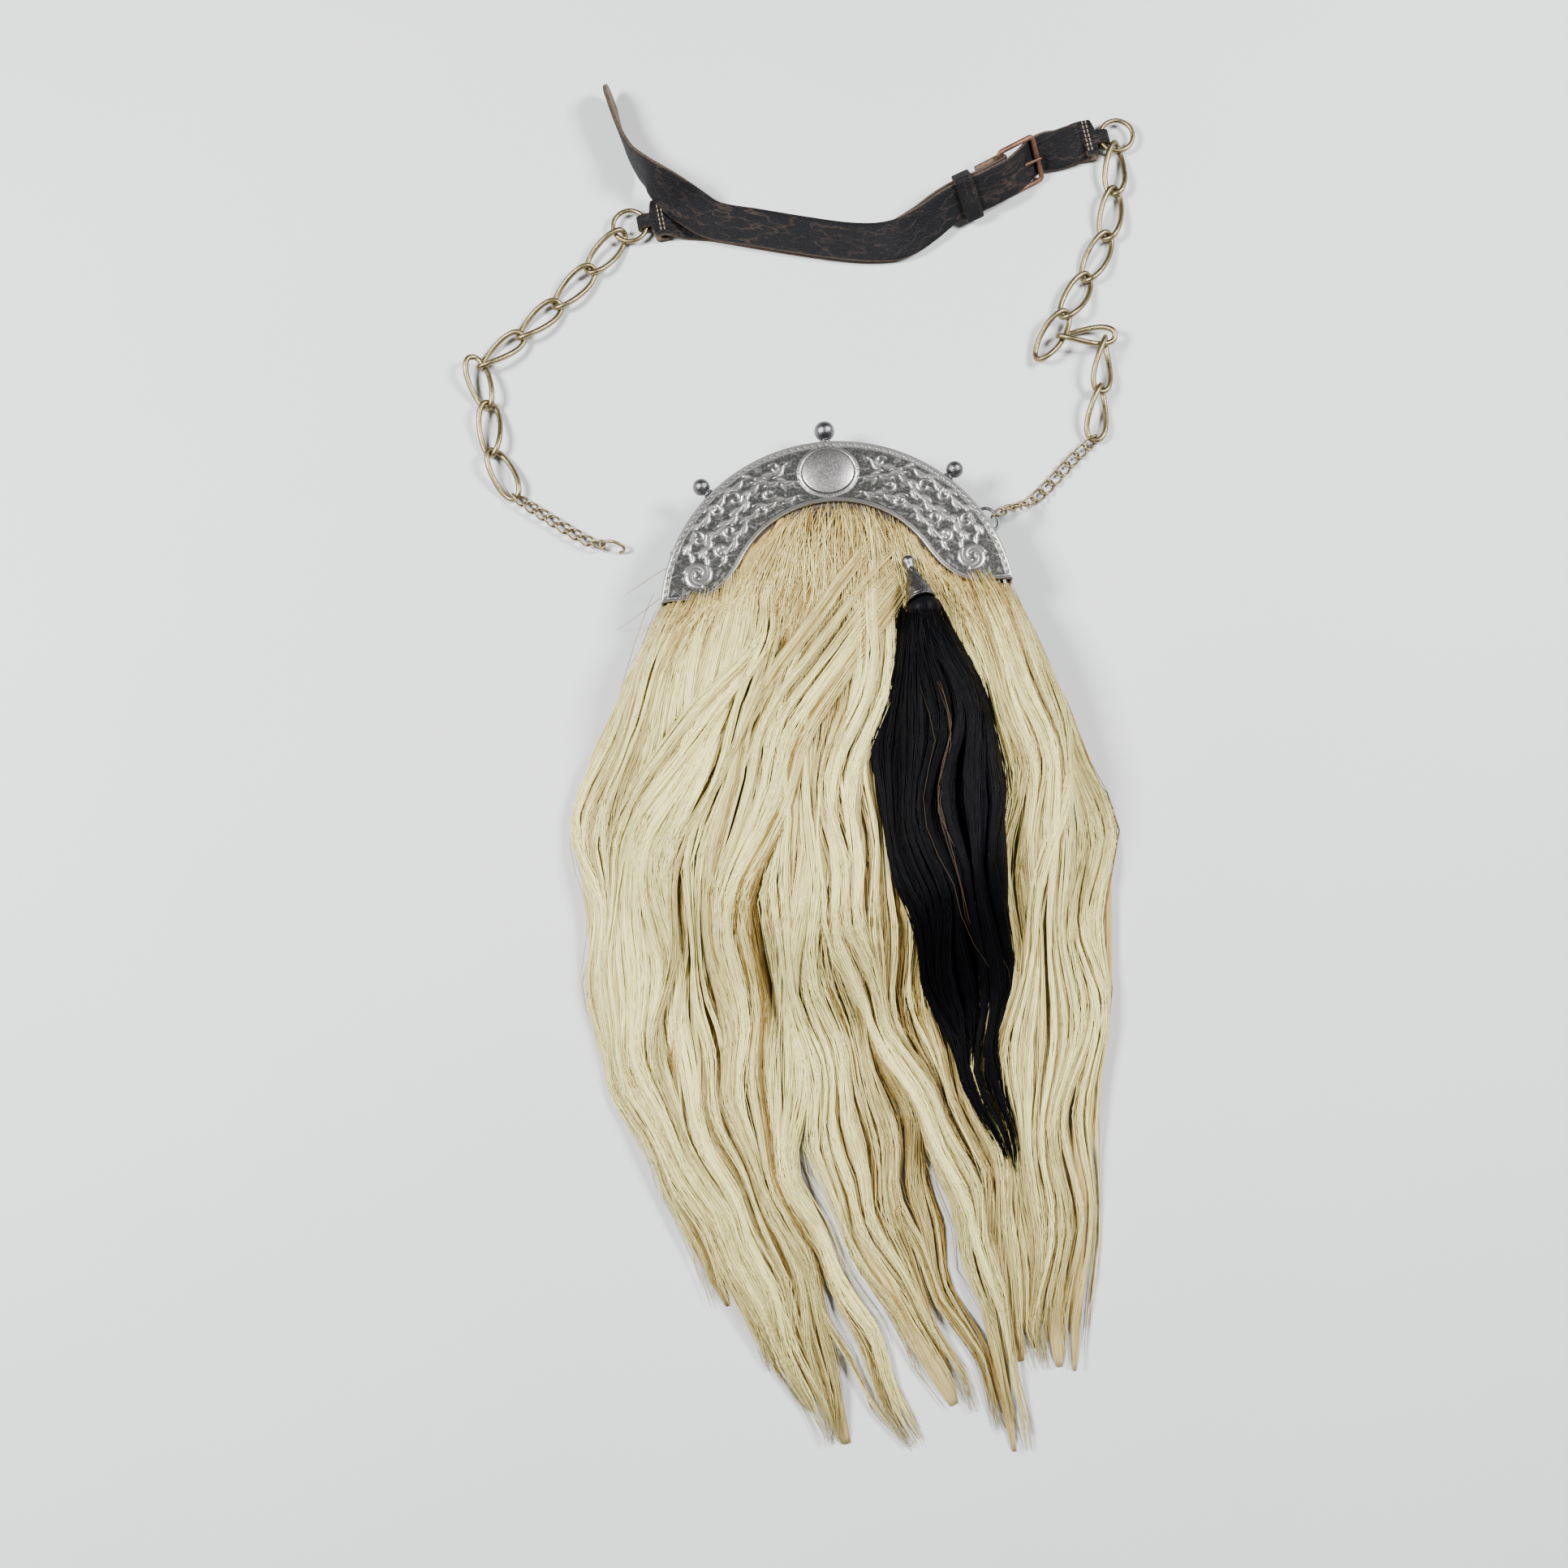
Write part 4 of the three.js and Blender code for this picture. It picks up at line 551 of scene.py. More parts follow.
@dataclass(frozen=True)
class CrackedLeather(Finish):
    """Black strap leather, cracked on its grain side, tan and fibrous behind, with dark edges."""

    name: str = "cracked_leather"
    grain: tuple[float, ...] = (0.006, 0.006, 0.007, 1)
    worn: tuple[float, ...] = (0.060, 0.042, 0.034, 1)
    flesh: tuple[float, ...] = (0.17, 0.115, 0.07, 1)
    cell: float = 1.5
    crack: float = 0.55
    rough: float = 0.5

    def dress(self, nodes: Nodes, shader: bpy.types.Node) -> None:
        """Chooses the side by the mesh's face value; the grain's creases show worn brown."""
        grain = nodes.add("Group", node_tree=grain_group())
        grain.inputs["Scale"].default_value = 1 / (self.cell * MM)
        grain.inputs["Crack"].default_value = self.crack
        patches = self.mottle(nodes, 14, 0.2)
        crease = nodes.math("MULTIPLY", grain.outputs["Crease"], patches.outputs["Mask"])
        front = nodes.mix(nodes.scale(crease, 0, 0.6, 0, 0.8), self.grain, self.worn)
        fibre = nodes.scale(patches.outputs["Grain"], 0.3, 0.7, 0.55, 1.1)
        back = nodes.mix(nodes.scale(fibre, 0.5, 1.1), self.worn, self.flesh)
        self.feed(nodes, shader, {
            "Base Color": nodes.mix(nodes.value("face"), back, front),
            "Roughness": nodes.scale(grain.outputs["Height"], -0.6, 1, self.rough + 0.3, self.rough),
            "Specular IOR Level": 0.13,
            "Normal": nodes.bump(grain.outputs["Height"], 0.5, 0.0004),
        })


@dataclass(frozen=True)
class HorseHair(Finish):
    """Horsehair: pale strands that differ, tan at the root, with a silky shine."""

    name: str = "cream_horsehair"
    pale: tuple[float, ...] = (0.92, 0.84, 0.38, 1)
    # deep: the darker strands' own colour, and also the painted shade between bundles.
    deep: tuple[float, ...] = (0.28, 0.18, 0.04, 1)
    root: tuple[float, ...] = (0.38, 0.21, 0.045, 1)
    rough: float = 0.45
    specular: float = 0.25

    def dress(self, nodes: Nodes, shader: bpy.types.Node) -> None:
        """Mixes by the strand's tone, whose deep end is also painted shade between bundles, then towards the
        root's colour; locks show fine fibres.
        """
        tone = nodes.value("tone")
        strand = nodes.mix(tone, self.pale, self.deep)
        streaks = self.mottle(nodes, 1.6, 0.25)
        uneven = nodes.scale(streaks.outputs["Mask"], 0, 1, 0, 0.14)
        strand = nodes.mix(uneven, strand, self.deep)
        fibres = nodes.add("Group", node_tree=fibre_group())
        fibres.inputs["Scale"].default_value = 1 / (1.2 * MM)
        shown = nodes.math("MULTIPLY", fibres.outputs["Mask"], nodes.value("fibre"))
        strand = nodes.mix(shown, strand, self.root)
        height = nodes.math("MULTIPLY", fibres.outputs["Height"], nodes.value("fibre"))
        self.feed(nodes, shader, {
            "Base Color": nodes.mix(nodes.value("root"), strand, self.root),
            "Roughness": nodes.scale(tone, 0, 1, self.rough, self.rough + 0.15),
            "Specular IOR Level": self.specular,
            "Normal": nodes.bump(height, 0.8, 0.0012),
        })


@dataclass(frozen=True)
class Thread(Finish):
    """Waxed linen thread of the stitches."""

    name: str = "waxed_thread"
    colour: tuple[float, ...] = (0.16, 0.12, 0.08, 1)
    pale: tuple[float, ...] = (0.30, 0.24, 0.16, 1)

    def dress(self, nodes: Nodes, shader: bpy.types.Node) -> None:
        """A mottled brown with a fine bump."""
        patches = self.mottle(nodes, 2, 0.2)
        self.feed(nodes, shader, {
            "Base Color": nodes.mix(patches.outputs["Mask"], self.colour, self.pale),
            "Roughness": 0.7,
            "Normal": nodes.bump(patches.outputs["Grain"], 0.4, 0.0002),
        })


@dataclass(frozen=True)
class PaleSheet(Finish):
    """The pale sheet that the object lies on."""

    name: str = "pale_sheet"
    colour: tuple[float, ...] = (0.66, 0.675, 0.685, 1)
    shade: tuple[float, ...] = (0.62, 0.635, 0.645, 1)

    def dress(self, nodes: Nodes, shader: bpy.types.Node) -> None:
        """Very broad, faint patches."""
        patches = self.mottle(nodes, 260, 0.3)
        self.feed(nodes, shader, {
            "Base Color": nodes.mix(patches.outputs["Mask"], self.colour, self.shade),
            "Roughness": 0.85,
            "Specular IOR Level": 0.2,
        })


CAST_SILVER = CastSilver()
POLISHED_SILVER = PolishedSilver()
DARK_SILVER = WornMetal(name="darkened_silver", plate=(0.26, 0.26, 0.27, 1), under=(0.15, 0.14, 0.14, 1),
                        dull=(0.03, 0.03, 0.035, 1), patch=4, wear=0.4, smooth=0.2, rough=0.4)
CHAIN_METAL = WornMetal(name="plated_chain")
BRONZE = WornMetal(name="brown_bronze", plate=(0.25, 0.12, 0.07, 1), under=(0.13, 0.06, 0.04, 1),
                   dull=(0.05, 0.035, 0.03, 1), patch=5, wear=0.4, smooth=0.42, rough=0.62,
                   metallic=0.8)
STRAP_LEATHER = CrackedLeather()
BAG_LEATHER = CrackedLeather(name="bag_leather", grain=(0.035, 0.024, 0.017, 1),
                             worn=(0.11, 0.07, 0.045, 1), cell=2.2, crack=0.25, rough=0.55)
CREAM_HAIR = HorseHair()
BLACK_HAIR = HorseHair(name="black_horsehair", pale=(0.004, 0.004, 0.005, 1),
                       deep=(0.0015, 0.0015, 0.002, 1), root=(0.002, 0.002, 0.002, 1), rough=0.36,
                       specular=0.045)
BROWN_HAIR = HorseHair(name="brown_horsehair", pale=(0.09, 0.055, 0.03, 1), deep=(0.04, 0.025, 0.015, 1),
                       root=(0.05, 0.03, 0.02, 1))
THREAD = Thread()
PALE_SHEET = PaleSheet()


# Shared shape of the object


@dataclass(frozen=True)
class Layout:
    """Sizes that several pieces share, the same as the part's own."""

    half_width: float = 84.0
    foot_y: float = 55.5
    cantle_height: float = 75.5
    arch_top_y: float = 100.0
    arch_radius: float = 50.4
    plate_back_z: float = 27.9
    plate_top_z: float = 29.3
    hide_back_z: float = 24.6
    hide_top_z: float = 27.6
    wall_middle_z: float = 21.4
    pouch_drop: float = 105.0
    hair_length: float = 443.0
    hair_depth: float = 9.0
    flare_degrees: float = 30.0
    foot_width: float = 16.0
    gap: float = 0.3

    @property
    def outer_radius(self) -> float:
        """Radius of the cantle's round edge, through the crown and both corners."""
        return (self.half_width**2 + self.cantle_height**2) / (2 * self.cantle_height)

    @property
    def outer_centre_y(self) -> float:
        """Middle of the round edge."""
        return self.foot_y + self.cantle_height - self.outer_radius

    @property
    def pouch_radius(self) -> float:
        """Radius of the bag's round top."""
        return self.outer_radius - 3.0

    def bed_height(self, x: Array, y: Array) -> Array:
        """Height of the back of the hair: the hide's, falling smoothly to the table past the bag."""
        down = np.maximum(0, -y) / self.pouch_drop
        reach = np.cbrt((np.abs(x) / self.pouch_radius) ** 3 + down**3)
        share = np.clip((reach - 0.92) / 0.48, 0, 1)
        fall = share * share * (3 - 2 * share)
        return (self.hide_top_z - 1.2) * (1 - fall) + self.gap / 2 * fall

    def pouch_outline(self, inset: float, count: int = 120) -> Array:
        """The bag's outline: a round top over two curved sides that meet at the bottom.

        Args:
            inset: distance that the outline is moved inwards.
            count: points on it.

        Returns:
            Points anticlockwise from the lower right of the round top.
        """
        foot = self.foot_y - 6.5
        start = math.asin((foot - self.outer_centre_y) / self.pouch_radius)
        turn = np.linspace(start, math.pi - start, count // 2)
        top = np.stack([np.cos(turn), np.sin(turn)], -1) * self.pouch_radius + [0, self.outer_centre_y]
        edge = top[-1]
        t = np.linspace(0, 1, count // 4 + 1)[1:, None]
        knots = [edge, (edge[0] * 0.98, -self.pouch_drop * 0.45), (edge[0] * 0.72, -self.pouch_drop),
                 (0.0, -self.pouch_drop)]
        a, b, c, d = (np.array(knot) for knot in knots)
        left = a * (1 - t) ** 3 + 3 * b * t * (1 - t) ** 2 + 3 * c * t * t * (1 - t) + d * t**3
        right = (left * [-1, 1])[::-1][1:]
        ring = np.concatenate([top, left, right])
        along = unit(np.roll(ring, -1, 0) - np.roll(ring, 1, 0))
        return ring + inset * np.stack([-along[:, 1], along[:, 0]], -1)


    def arch_edge(self, share: Array) -> Array:
        """The cantle's inner edge, the arch with its two flares, from the right foot to the left.

        Args:
            share: places from 0 to 1.

        Returns:
            Points of the curve, evenly spaced by length.
        """
        flare = math.radians(self.flare_degrees)
        centre = self.arch_top_y - self.arch_radius
        start = np.array([math.cos(flare), math.sin(flare)]) * self.arch_radius + [0, centre]
        run = (start[1] - self.foot_y) / math.cos(flare)
        knee = np.array([start[0] + run * math.sin(flare), self.foot_y])
        end = np.array([self.half_width - self.foot_width, self.foot_y])
        t = np.linspace(0, 1, 40)[:, None]
        right = end * (1 - t) ** 2 + 2 * knee * t * (1 - t) + start * t**2
        turn = np.linspace(flare, math.pi - flare, 160)[1:-1]
        arch = np.stack([np.cos(turn), np.sin(turn)], -1) * self.arch_radius + [0, centre]
        line = np.concatenate([right, arch, (right * [-1, 1])[::-1]])
        length = np.concatenate([[0], np.cumsum(np.linalg.norm(np.diff(line, axis=0), axis=1))])
        want = share * length[-1]
        return np.stack([np.interp(want, length, line[:, 0]), np.interp(want, length, line[:, 1])], -1)

    def plate_gap(self, x: Array, y: Array) -> Array:
        """Distance from the cantle's plate, seen from above; 0 under it.

        Outside the plate it is the nearest of three: to the inner edge, to the round edge, and to
        the line of the feet.
        """
        line = self.arch_edge(np.linspace(0, 1, 121))
        place = np.stack([x, y], -1)
        inner = np.full(x.shape, 1e3)
        for start, end in zip(line[:-1], line[1:]):
            span = end - start
            along = np.clip(((place - start) @ span) / (span @ span), 0, 1)
            inner = np.minimum(inner, np.linalg.norm(place - start - along[..., None] * span, axis=-1))
        half = line[line[:, 0] > 0]
        mouth = np.interp(y, half[:, 1], half[:, 0], left=half[0, 0], right=0.0)
        opening = (np.abs(x) < mouth) & (y < self.arch_top_y)
        round_gap = np.hypot(x, y - self.outer_centre_y) - self.outer_radius
        outside = np.maximum(round_gap, self.foot_y - y)
        return np.where(opening, inner, outside.clip(0))


LAYOUT = Layout()


# Hair


class Lock(NamedTuple):
    """A main lock of the part: sideways place at even steps, in half cantle widths."""

    root: float
    shoulder: float
    middle: float
    lower: float
    tip: float
    top: float
    reach: float
    width: float
    depth: float
    lift: float


LOCKS = (
    Lock(-0.84, -1.4, -1.46, -1.34, -1.1, 0.1, 0.745, 0.2, 0.8, 0),
    Lock(-0.8, -1.24, -1.34, -1.2, -0.88, 0.1, 0.837, 0.3, 1, 0.1),
    Lock(-0.7, -1.16, -1.24, -1.02, -0.62, 0.09, 0.905, 0.32, 1, 0.2),
    Lock(-0.44, -0.96, -1.08, -0.86, -0.46, 0.04, 0.946, 0.38, 1, 0.1),
    Lock(-0.2, -0.72, -0.9, -0.72, -0.3, 0.02, 0.98, 0.36, 1, 0.2),
    Lock(0.1, -0.5, -0.7, -0.56, -0.28, 0.02, 0.98, 0.32, 1, 0.5),
    Lock(0.1, -0.22, -0.24, -0.12, 0.3, 0.03, 0.95, 0.52, 0.9, 0.1),
    Lock(0.2, 0.02, 0.02, 0.46, 0.6, 0.03, 0.999, 0.24, 1, 0.4),
    Lock(0.36, 0.26, 0.26, 0.5, 0.68, 0.03, 0.912, 0.42, 0.8, 0),
    Lock(0.52, 0.62, 0.6, 0.66, 0.76, 0.06, 0.9, 0.44, 0.8, 0),
    Lock(0.74, 1, 0.96, 0.9, 0.88, 0.09, 0.92, 0.4, 1, 0.1),
    Lock(0.84, 1.3, 1.3, 1.1, 0.96, 0.1, 0.925, 0.2, 0.8, 0),
)
TASSEL_LOCKS = (
    Lock(0.42, 0.38, 0.34, 0.44, 0.7, 0.142, 0.66, 0.2, 0.9, 1),
    Lock(0.47, 0.54, 0.52, 0.57, 0.73, 0.142, 0.69, 0.24, 1.1, 1),
    Lock(0.5, 0.7, 0.72, 0.7, 0.76, 0.142, 0.68, 0.2, 0.9, 1),
)


class Stream(NamedTuple):
    """A stream of strands: sideways place at seven even steps, in half cantle widths.

    Top and reach are in hair lengths, width and over in millimetres, tone from pale 0 to deep 1.
    """

    places: tuple[float, ...]
    top: float
    reach: float
    width: float
    strands: int
    over: float
    tone: float


# Stream tones run pale on the left and deeper on the right: partly the hair's own tone, partly painted shade
# on the right side.
LEFT_STREAMS = (
    Stream((-0.9, -1.3, -1.5, -1.48, -1.42, -1.32, -1.13), 0.1, 0.745, 12, 150, 0.0, 0.2),
    Stream((-0.88, -1.17, -1.37, -1.4, -1.33, -1.15, -0.9), 0.096, 0.837, 22, 320, 0.3, 0.15),
    Stream((-0.74, -1.05, -1.28, -1.29, -1.18, -0.93, -0.62), 0.084, 0.905, 26, 380, 0.6, 0.1),
    Stream((-0.48, -0.66, -1.17, -1.3, -1.16, -0.86, -0.46), 0.06, 0.946, 28, 400, 1.2, 0.02),
    Stream((-0.56, -0.72, -1.02, -1.09, -0.94, -0.65, -0.3), 0.068, 0.98, 28, 410, 1.0, 0.1),
)
MIDDLE_STREAMS = (
    Stream((0.48, -0.2, -0.62, -0.76, -0.7, -0.48, -0.3), 0.05, 0.98, 27, 480, 2.6, 0.25),
    Stream((0, -0.26, -0.54, -0.62, -0.56, -0.3, 0.08), 0.077, 0.985, 26, 400, 1.4, 0.45),
    Stream((0.24, 0.12, -0.17, 0.01, 0.32, 0.59, 0.6), 0.077, 0.999, 17, 300, 3.4, 0.05),
    Stream((-0.14, -0.31, -0.34, -0.33, -0.26, -0.06, 0.26), 0.14, 0.955, 20, 200, 0.7, 0.45),
    Stream((0.0, -0.14, -0.15, -0.12, -0.04, 0.13, 0.36), 0.14, 0.96, 20, 200, 0.8, 0.55),
    Stream((-0.02, -0.03, 0.0, 0.1, 0.25, 0.42, 0.55), 0.4, 0.98, 24, 240, 0.3, 0.65),
)
# The deeper tones of these right streams are partly painted shade.
RIGHT_STREAMS = (
    Stream((0.29, 0.21, 0.13, 0.15, 0.32, 0.53, 0.59), 0.077, 0.912, 32, 340, 0.4, 0.45),
    Stream((0.5, 0.5, 0.46, 0.42, 0.5, 0.62, 0.7), 0.08, 0.905, 34, 330, 0.2, 0.4),
    Stream((0.69, 0.88, 0.93, 0.84, 0.78, 0.77, 0.82), 0.077, 0.923, 34, 380, 0.6, 0.3),
    Stream((0.86, 1.02, 1.09, 0.99, 0.91, 0.85, 0.81), 0.107, 0.915, 24, 320, 0.9, 0.25),
    Stream((0.92, 1.14, 1.2, 1.16, 1.06, 0.97, 0.93), 0.103, 0.892, 24, 300, 0.6, 0.25),
    Stream((0.92, 1.22, 1.38, 1.3, 1.14, 1.05, 0.95), 0.104, 0.925, 13, 180, 0.2, 0.3),
)
OVER_STREAMS = (
    Stream((-0.4, -0.49, -0.97, -1.28, -1.44, -1.45, -1.36), 0.09, 0.62, 10, 110, 4.2, 0.0),
    Stream((-0.3, -0.42, -0.82, -1.05, -1.1, -1.0, -0.8), 0.12, 0.8, 9, 100, 4.0, 0.3),
    Stream((-0.34, -0.6, -0.86, -0.95, -0.8, -0.62, -0.5), 0.12, 0.9, 8, 80, 4.4, 0.0),
    Stream((0.05, -0.17, -0.15, 0.04, 0.28, 0.52, 0.66), 0.2, 0.9, 11, 120, 4.6, 0.0),
    Stream((-0.3, -0.4, -0.47, -0.47, -0.34, -0.14, 0.1), 0.36, 0.99, 14, 150, 1.6, 0.2),
    Stream((1.05, 1.22, 1.1, 0.9, 0.8, 0.76, 0.86), 0.14, 0.86, 8, 80, 3.4, 0.1),
)
TASSEL_STREAMS = (
    Stream((0.41, 0.32, 0.26, 0.25, 0.38, 0.55, 0.66), 0.128, 0.71, 15, 300, 0.4, 0.4),
    Stream((0.45, 0.5, 0.48, 0.47, 0.52, 0.6, 0.67), 0.128, 0.725, 20, 360, 0.8, 0.3),
    Stream((0.49, 0.67, 0.71, 0.69, 0.66, 0.66, 0.68), 0.13, 0.715, 15, 300, 0.4, 0.4),
)
TASSEL_FLECKS = (
    Stream((0.46, 0.5, 0.5, 0.5, 0.54, 0.62, 0.72), 0.2, 0.55, 26, 6, 1.6, 0.4),
)


def lock_surface(lock: Lock, steps: int, sides: int, scale: float = 1.0) -> Array:
    """A tapering oval section carried along the lock's curve over the bed.

    Half width is width * swell / 2 and half depth is depth * swell / 2, where swell is
    (0.66 + 0.34 sin(pi s^0.7)) (1 - 0.86 s^6) at a share s of the way down.

    Args:
        lock: the row.
        steps: sections.
        sides: corners of a section.
        scale: share of the full section.

    Returns:
        Points, sections by corners by three.
    """
    places = np.array([lock.root, lock.shoulder, lock.middle, lock.lower, lock.tip])
    down = np.linspace(lock.top, lock.reach, 5)
    knots = np.stack([places * LAYOUT.half_width, LAYOUT.arch_top_y - down * LAYOUT.hair_length], -1)
    share = np.linspace(0, 1, steps)
    middle = spline(knots, share)
    heading = unit(np.gradient(middle, axis=0))
    side = np.stack([-heading[:, 1], heading[:, 0]], -1)
    swell = (0.66 + 0.34 * np.sin(math.pi * share**0.7)) * (1 - 0.86 * share**6)
    half = lock.width * LAYOUT.half_width * swell / 2
    deep = lock.depth * LAYOUT.hair_depth * swell / 2
    height = LAYOUT.bed_height(middle[:, 0], middle[:, 1]) + deep
    height = height + lock.lift * LAYOUT.hair_depth * (1 - share**2)
    angle = np.linspace(0, 2 * math.pi, sides, endpoint=False)[None, :]
    flat = middle[:, None] + side[:, None] * (scale * half[:, None] * np.cos(angle))[..., None]
    rise = height[:, None] + scale * deep[:, None] * np.sin(angle)
    return np.concatenate([flat, rise[..., None]], -1)


class HairBed:
    """Height of the locks' tops as a grid, which the strands lie on."""

    cell = 2.0
    low = np.array([-190.0, -380.0])
    shape = (190, 260)

    def __init__(self, locks: tuple[Lock, ...], base: "HairBed | None" = None,
                 extra: Array | None = None) -> None:
        """Rasterises the locks' tops by the highest point in a cell, then smooths them.

        Args:
            locks: the locks.
            base: a bed below this one, or None for the table and the hide with its short pile.
            extra: more points that the strands lie on.
        """
        x = self.low[0] + np.arange(self.shape[0])[:, None] * self.cell
        y = self.low[1] + np.arange(self.shape[1])[None, :] * self.cell
        across, down = np.broadcast_arrays(x, y)
        self.height = LAYOUT.bed_height(across, down) if base is None else base.height + 1.5
        self.height = np.array(self.height)
        self.clear = LAYOUT.plate_gap(across, down) if base is None else base.clear
        if base is None:
            ring = LAYOUT.pouch_outline(12.0)
            reach = np.interp(down[0], *self._side(ring))
            inside = (np.abs(across) < reach[None, :]) & (down > ring[:, 1].min())
            inside &= down < ring[:, 1].max()
            self.height[inside] = np.maximum(self.height[inside], LAYOUT.hide_top_z + 3.6)
        clouds = [lock_surface(lock, 240, 60).reshape(-1, 3) for lock in locks]
        for points in clouds + ([] if extra is None else [extra]):
            column = np.clip(((points[:, :2] - self.low) / self.cell).round().astype(int), 0,
                             np.array(self.shape) - 1)
            np.maximum.at(self.height, (column[:, 0], column[:, 1]), points[:, 2])
        for _ in range(3):
            self.height = self._blurred(self.height)

    @staticmethod
    def _side(ring: Array) -> tuple[Array, Array]:
        """Half width of an outline against its height, lowest first."""
        right = ring[ring[:, 0] > 0]
        order = np.argsort(right[:, 1])
        return right[order, 1], right[order, 0]

    @staticmethod
    def _blurred(values: Array) -> Array:
        """Each cell as the mean of itself and its four neighbours."""
        wide = np.pad(values, 1, mode="edge")
        around = wide[2:, 1:-1] + wide[:-2, 1:-1] + wide[1:-1, 2:] + wide[1:-1, :-2]
        return values * 0.4 + around * 0.15

    def under_plate(self, x: Array, y: Array, height: Array) -> Array:
        """Heights held below the cantle's plate, and let up again past its edge."""
        ceiling = LAYOUT.hide_top_z - 0.5 + np.maximum(0, self.at(x, y, self.clear) - 0.9) * 1.3
        return np.minimum(height, ceiling)

    def at(self, x: Array, y: Array, grid: Array | None = None) -> Array:
        """Height, or another grid's value, at places, between the four nearest cells."""
        u = np.clip((x - self.low[0]) / self.cell, 0, self.shape[0] - 1.001)
        v = np.clip((y - self.low[1]) / self.cell, 0, self.shape[1] - 1.001)
        i, j = u.astype(int), v.astype(int)
        a, b = u - i, v - j
        grid = self.height if grid is None else grid
        low = grid[i, j] * (1 - a) + grid[i + 1, j] * a
        high = grid[i, j + 1] * (1 - a) + grid[i + 1, j + 1] * a
        return low * (1 - b) + high * b


@dataclass
class Strands:
    """Real strands laid along streams over a bed.

    A stream is split into wisps of about one width, and a wisp into wicks, its small bundles.
    """

    bed: HairBed
    seed: int
    radius: float = 0.26
    steps: int = 18
    wisp: float = 6.5
    wicks: int = 6
    loose: float = 0.05
    more: float = 0.9
    late_root: float = 0.15
    early_end: float = 0.22
    sway: tuple[float, float] = (0.8, 3.2)
    bulk: tuple[float, float] = (-1.6, 2.6)
    crown: float = 1.9
    wild: float = 1.7

    def surface(self, streams: tuple[Stream, ...], rooted: float = 1.0) -> Surface:
        """All the strands of some streams.

        A strand is the stream's middle line, moved sideways by its place in the stream, narrowed
        by the stream's taper, and by two waves; its height is the bed's plus its layer.

        Args:
            streams: the rows.
            rooted: how strongly the roots show their own colour.

        Returns:
            One surface of thin closed tubes.
        """
        random = np.random.default_rng(self.seed)
        return Surface.joined([self._stream(row, random, rooted) for row in streams])

    def _stream(self, row: Stream, random: np.random.Generator, rooted: float) -> Surface:
        """The strands of one stream.

        A wisp's strands share a drift, a sway, a bulk and a crown; a wick's share a slip, a tier and an end;
        each strand adds a tremble, a root and a tone of its own. Strands off a wisp's crown and in a wick's
        lower tier get deeper tones, which is painted shade between bundles.
        """
        count = int(row.strands * self.more)
        wisps = max(2, round(row.width / self.wisp))
        wicks = wisps * self.wicks
        wick = random.integers(0, wicks, count)
        owner = wick // self.wicks
        spots = (np.arange(wisps) + 0.5) / wisps * 2 - 1 + random.normal(0, 0.3 / wisps, wisps)
        across = random.normal(0, 0.62 / wisps, wicks)
        off = across[wick] + random.normal(0, 1.2 / wicks, count)
        wild = random.random(count) < self.loose
        off = np.where(wild, off * self.wild, off)
        drift, slip = random.normal(0, 0.17, wisps), random.normal(0, 0.3 / wisps, wicks)
        start = random.random(count) ** 1.5 * self.late_root
        ends = np.where(random.random(wicks) < 0.35, 1.0, random.uniform(0.76, 1.0, wicks))
        end = np.minimum(ends[wick] * (1 - self.early_end * random.random(count) ** 1.5), 1.0)
        share = start[:, None] + (end - start)[:, None] * np.linspace(0, 1, self.steps)[None, :]
        down = np.linspace(row.top, row.reach, len(row.places))
        knots = np.stack([np.array(row.places) * LAYOUT.half_width,
                          LAYOUT.arch_top_y - down * LAYOUT.hair_length], -1)
        middle = spline(knots, share)
        heading = unit(np.gradient(middle, axis=1))
        side = np.stack([-heading[..., 1], heading[..., 0]], -1)
        taper = (0.72 + 0.28 * np.sin(math.pi * share**0.7)) * (1 - 0.72 * share**5)
        place = spots[owner][:, None] * taper + drift[owner][:, None] * np.sin(math.pi * (share - 0.4))
        place = place + slip[wick][:, None] * np.sin(math.pi * (share * 1.7 + wick[:, None] * 0.31))
        place = place + off[:, None] * (1.15 - 0.6 * share)
        aside = place * row.width / 2
        sway = random.uniform(*self.sway, wisps)[owner][:, None]
        pace, phase = random.uniform(0.9, 2.1, wisps)[owner], random.uniform(0, 6.28, wisps)[owner]
        aside = aside + sway * np.sin(2 * math.pi * pace[:, None] * share + phase[:, None]) * share**0.5
        tremble = random.uniform(0.1, 0.55, count)[:, None]
        beat, offset = random.uniform(3, 7, count)[:, None], random.uniform(0, 6.28, count)[:, None]
        aside = aside + tremble * np.sin(2 * math.pi * beat * share + offset)
        flat = middle + side * aside[..., None]
        flat[..., 0] += self._wave(flat[..., 0], flat[..., 1]) * np.clip(share * 4, 0, 1)
        grown = np.clip(share * 9, 0, 1)
        bulk = random.uniform(*self.bulk, wisps)[owner][:, None] * np.sin(math.pi * share) ** 0.5
        crown = self.crown * np.exp(-((off[:, None] * wisps / 1.1) ** 2))
        tier = random.uniform(-1.0, 1.0, wicks)[wick][:, None]
        layer = row.over * (1 - share**2) + bulk + crown + tier + random.uniform(-0.3, 0.5, count)[:, None]
        height = self.bed.at(flat[..., 0], flat[..., 1]) + layer * grown
        height = self.bed.under_plate(flat[..., 0], flat[..., 1], height)
        height = np.maximum(height, self.radius + 0.15)
        path = np.concatenate([flat, height[..., None]], -1)
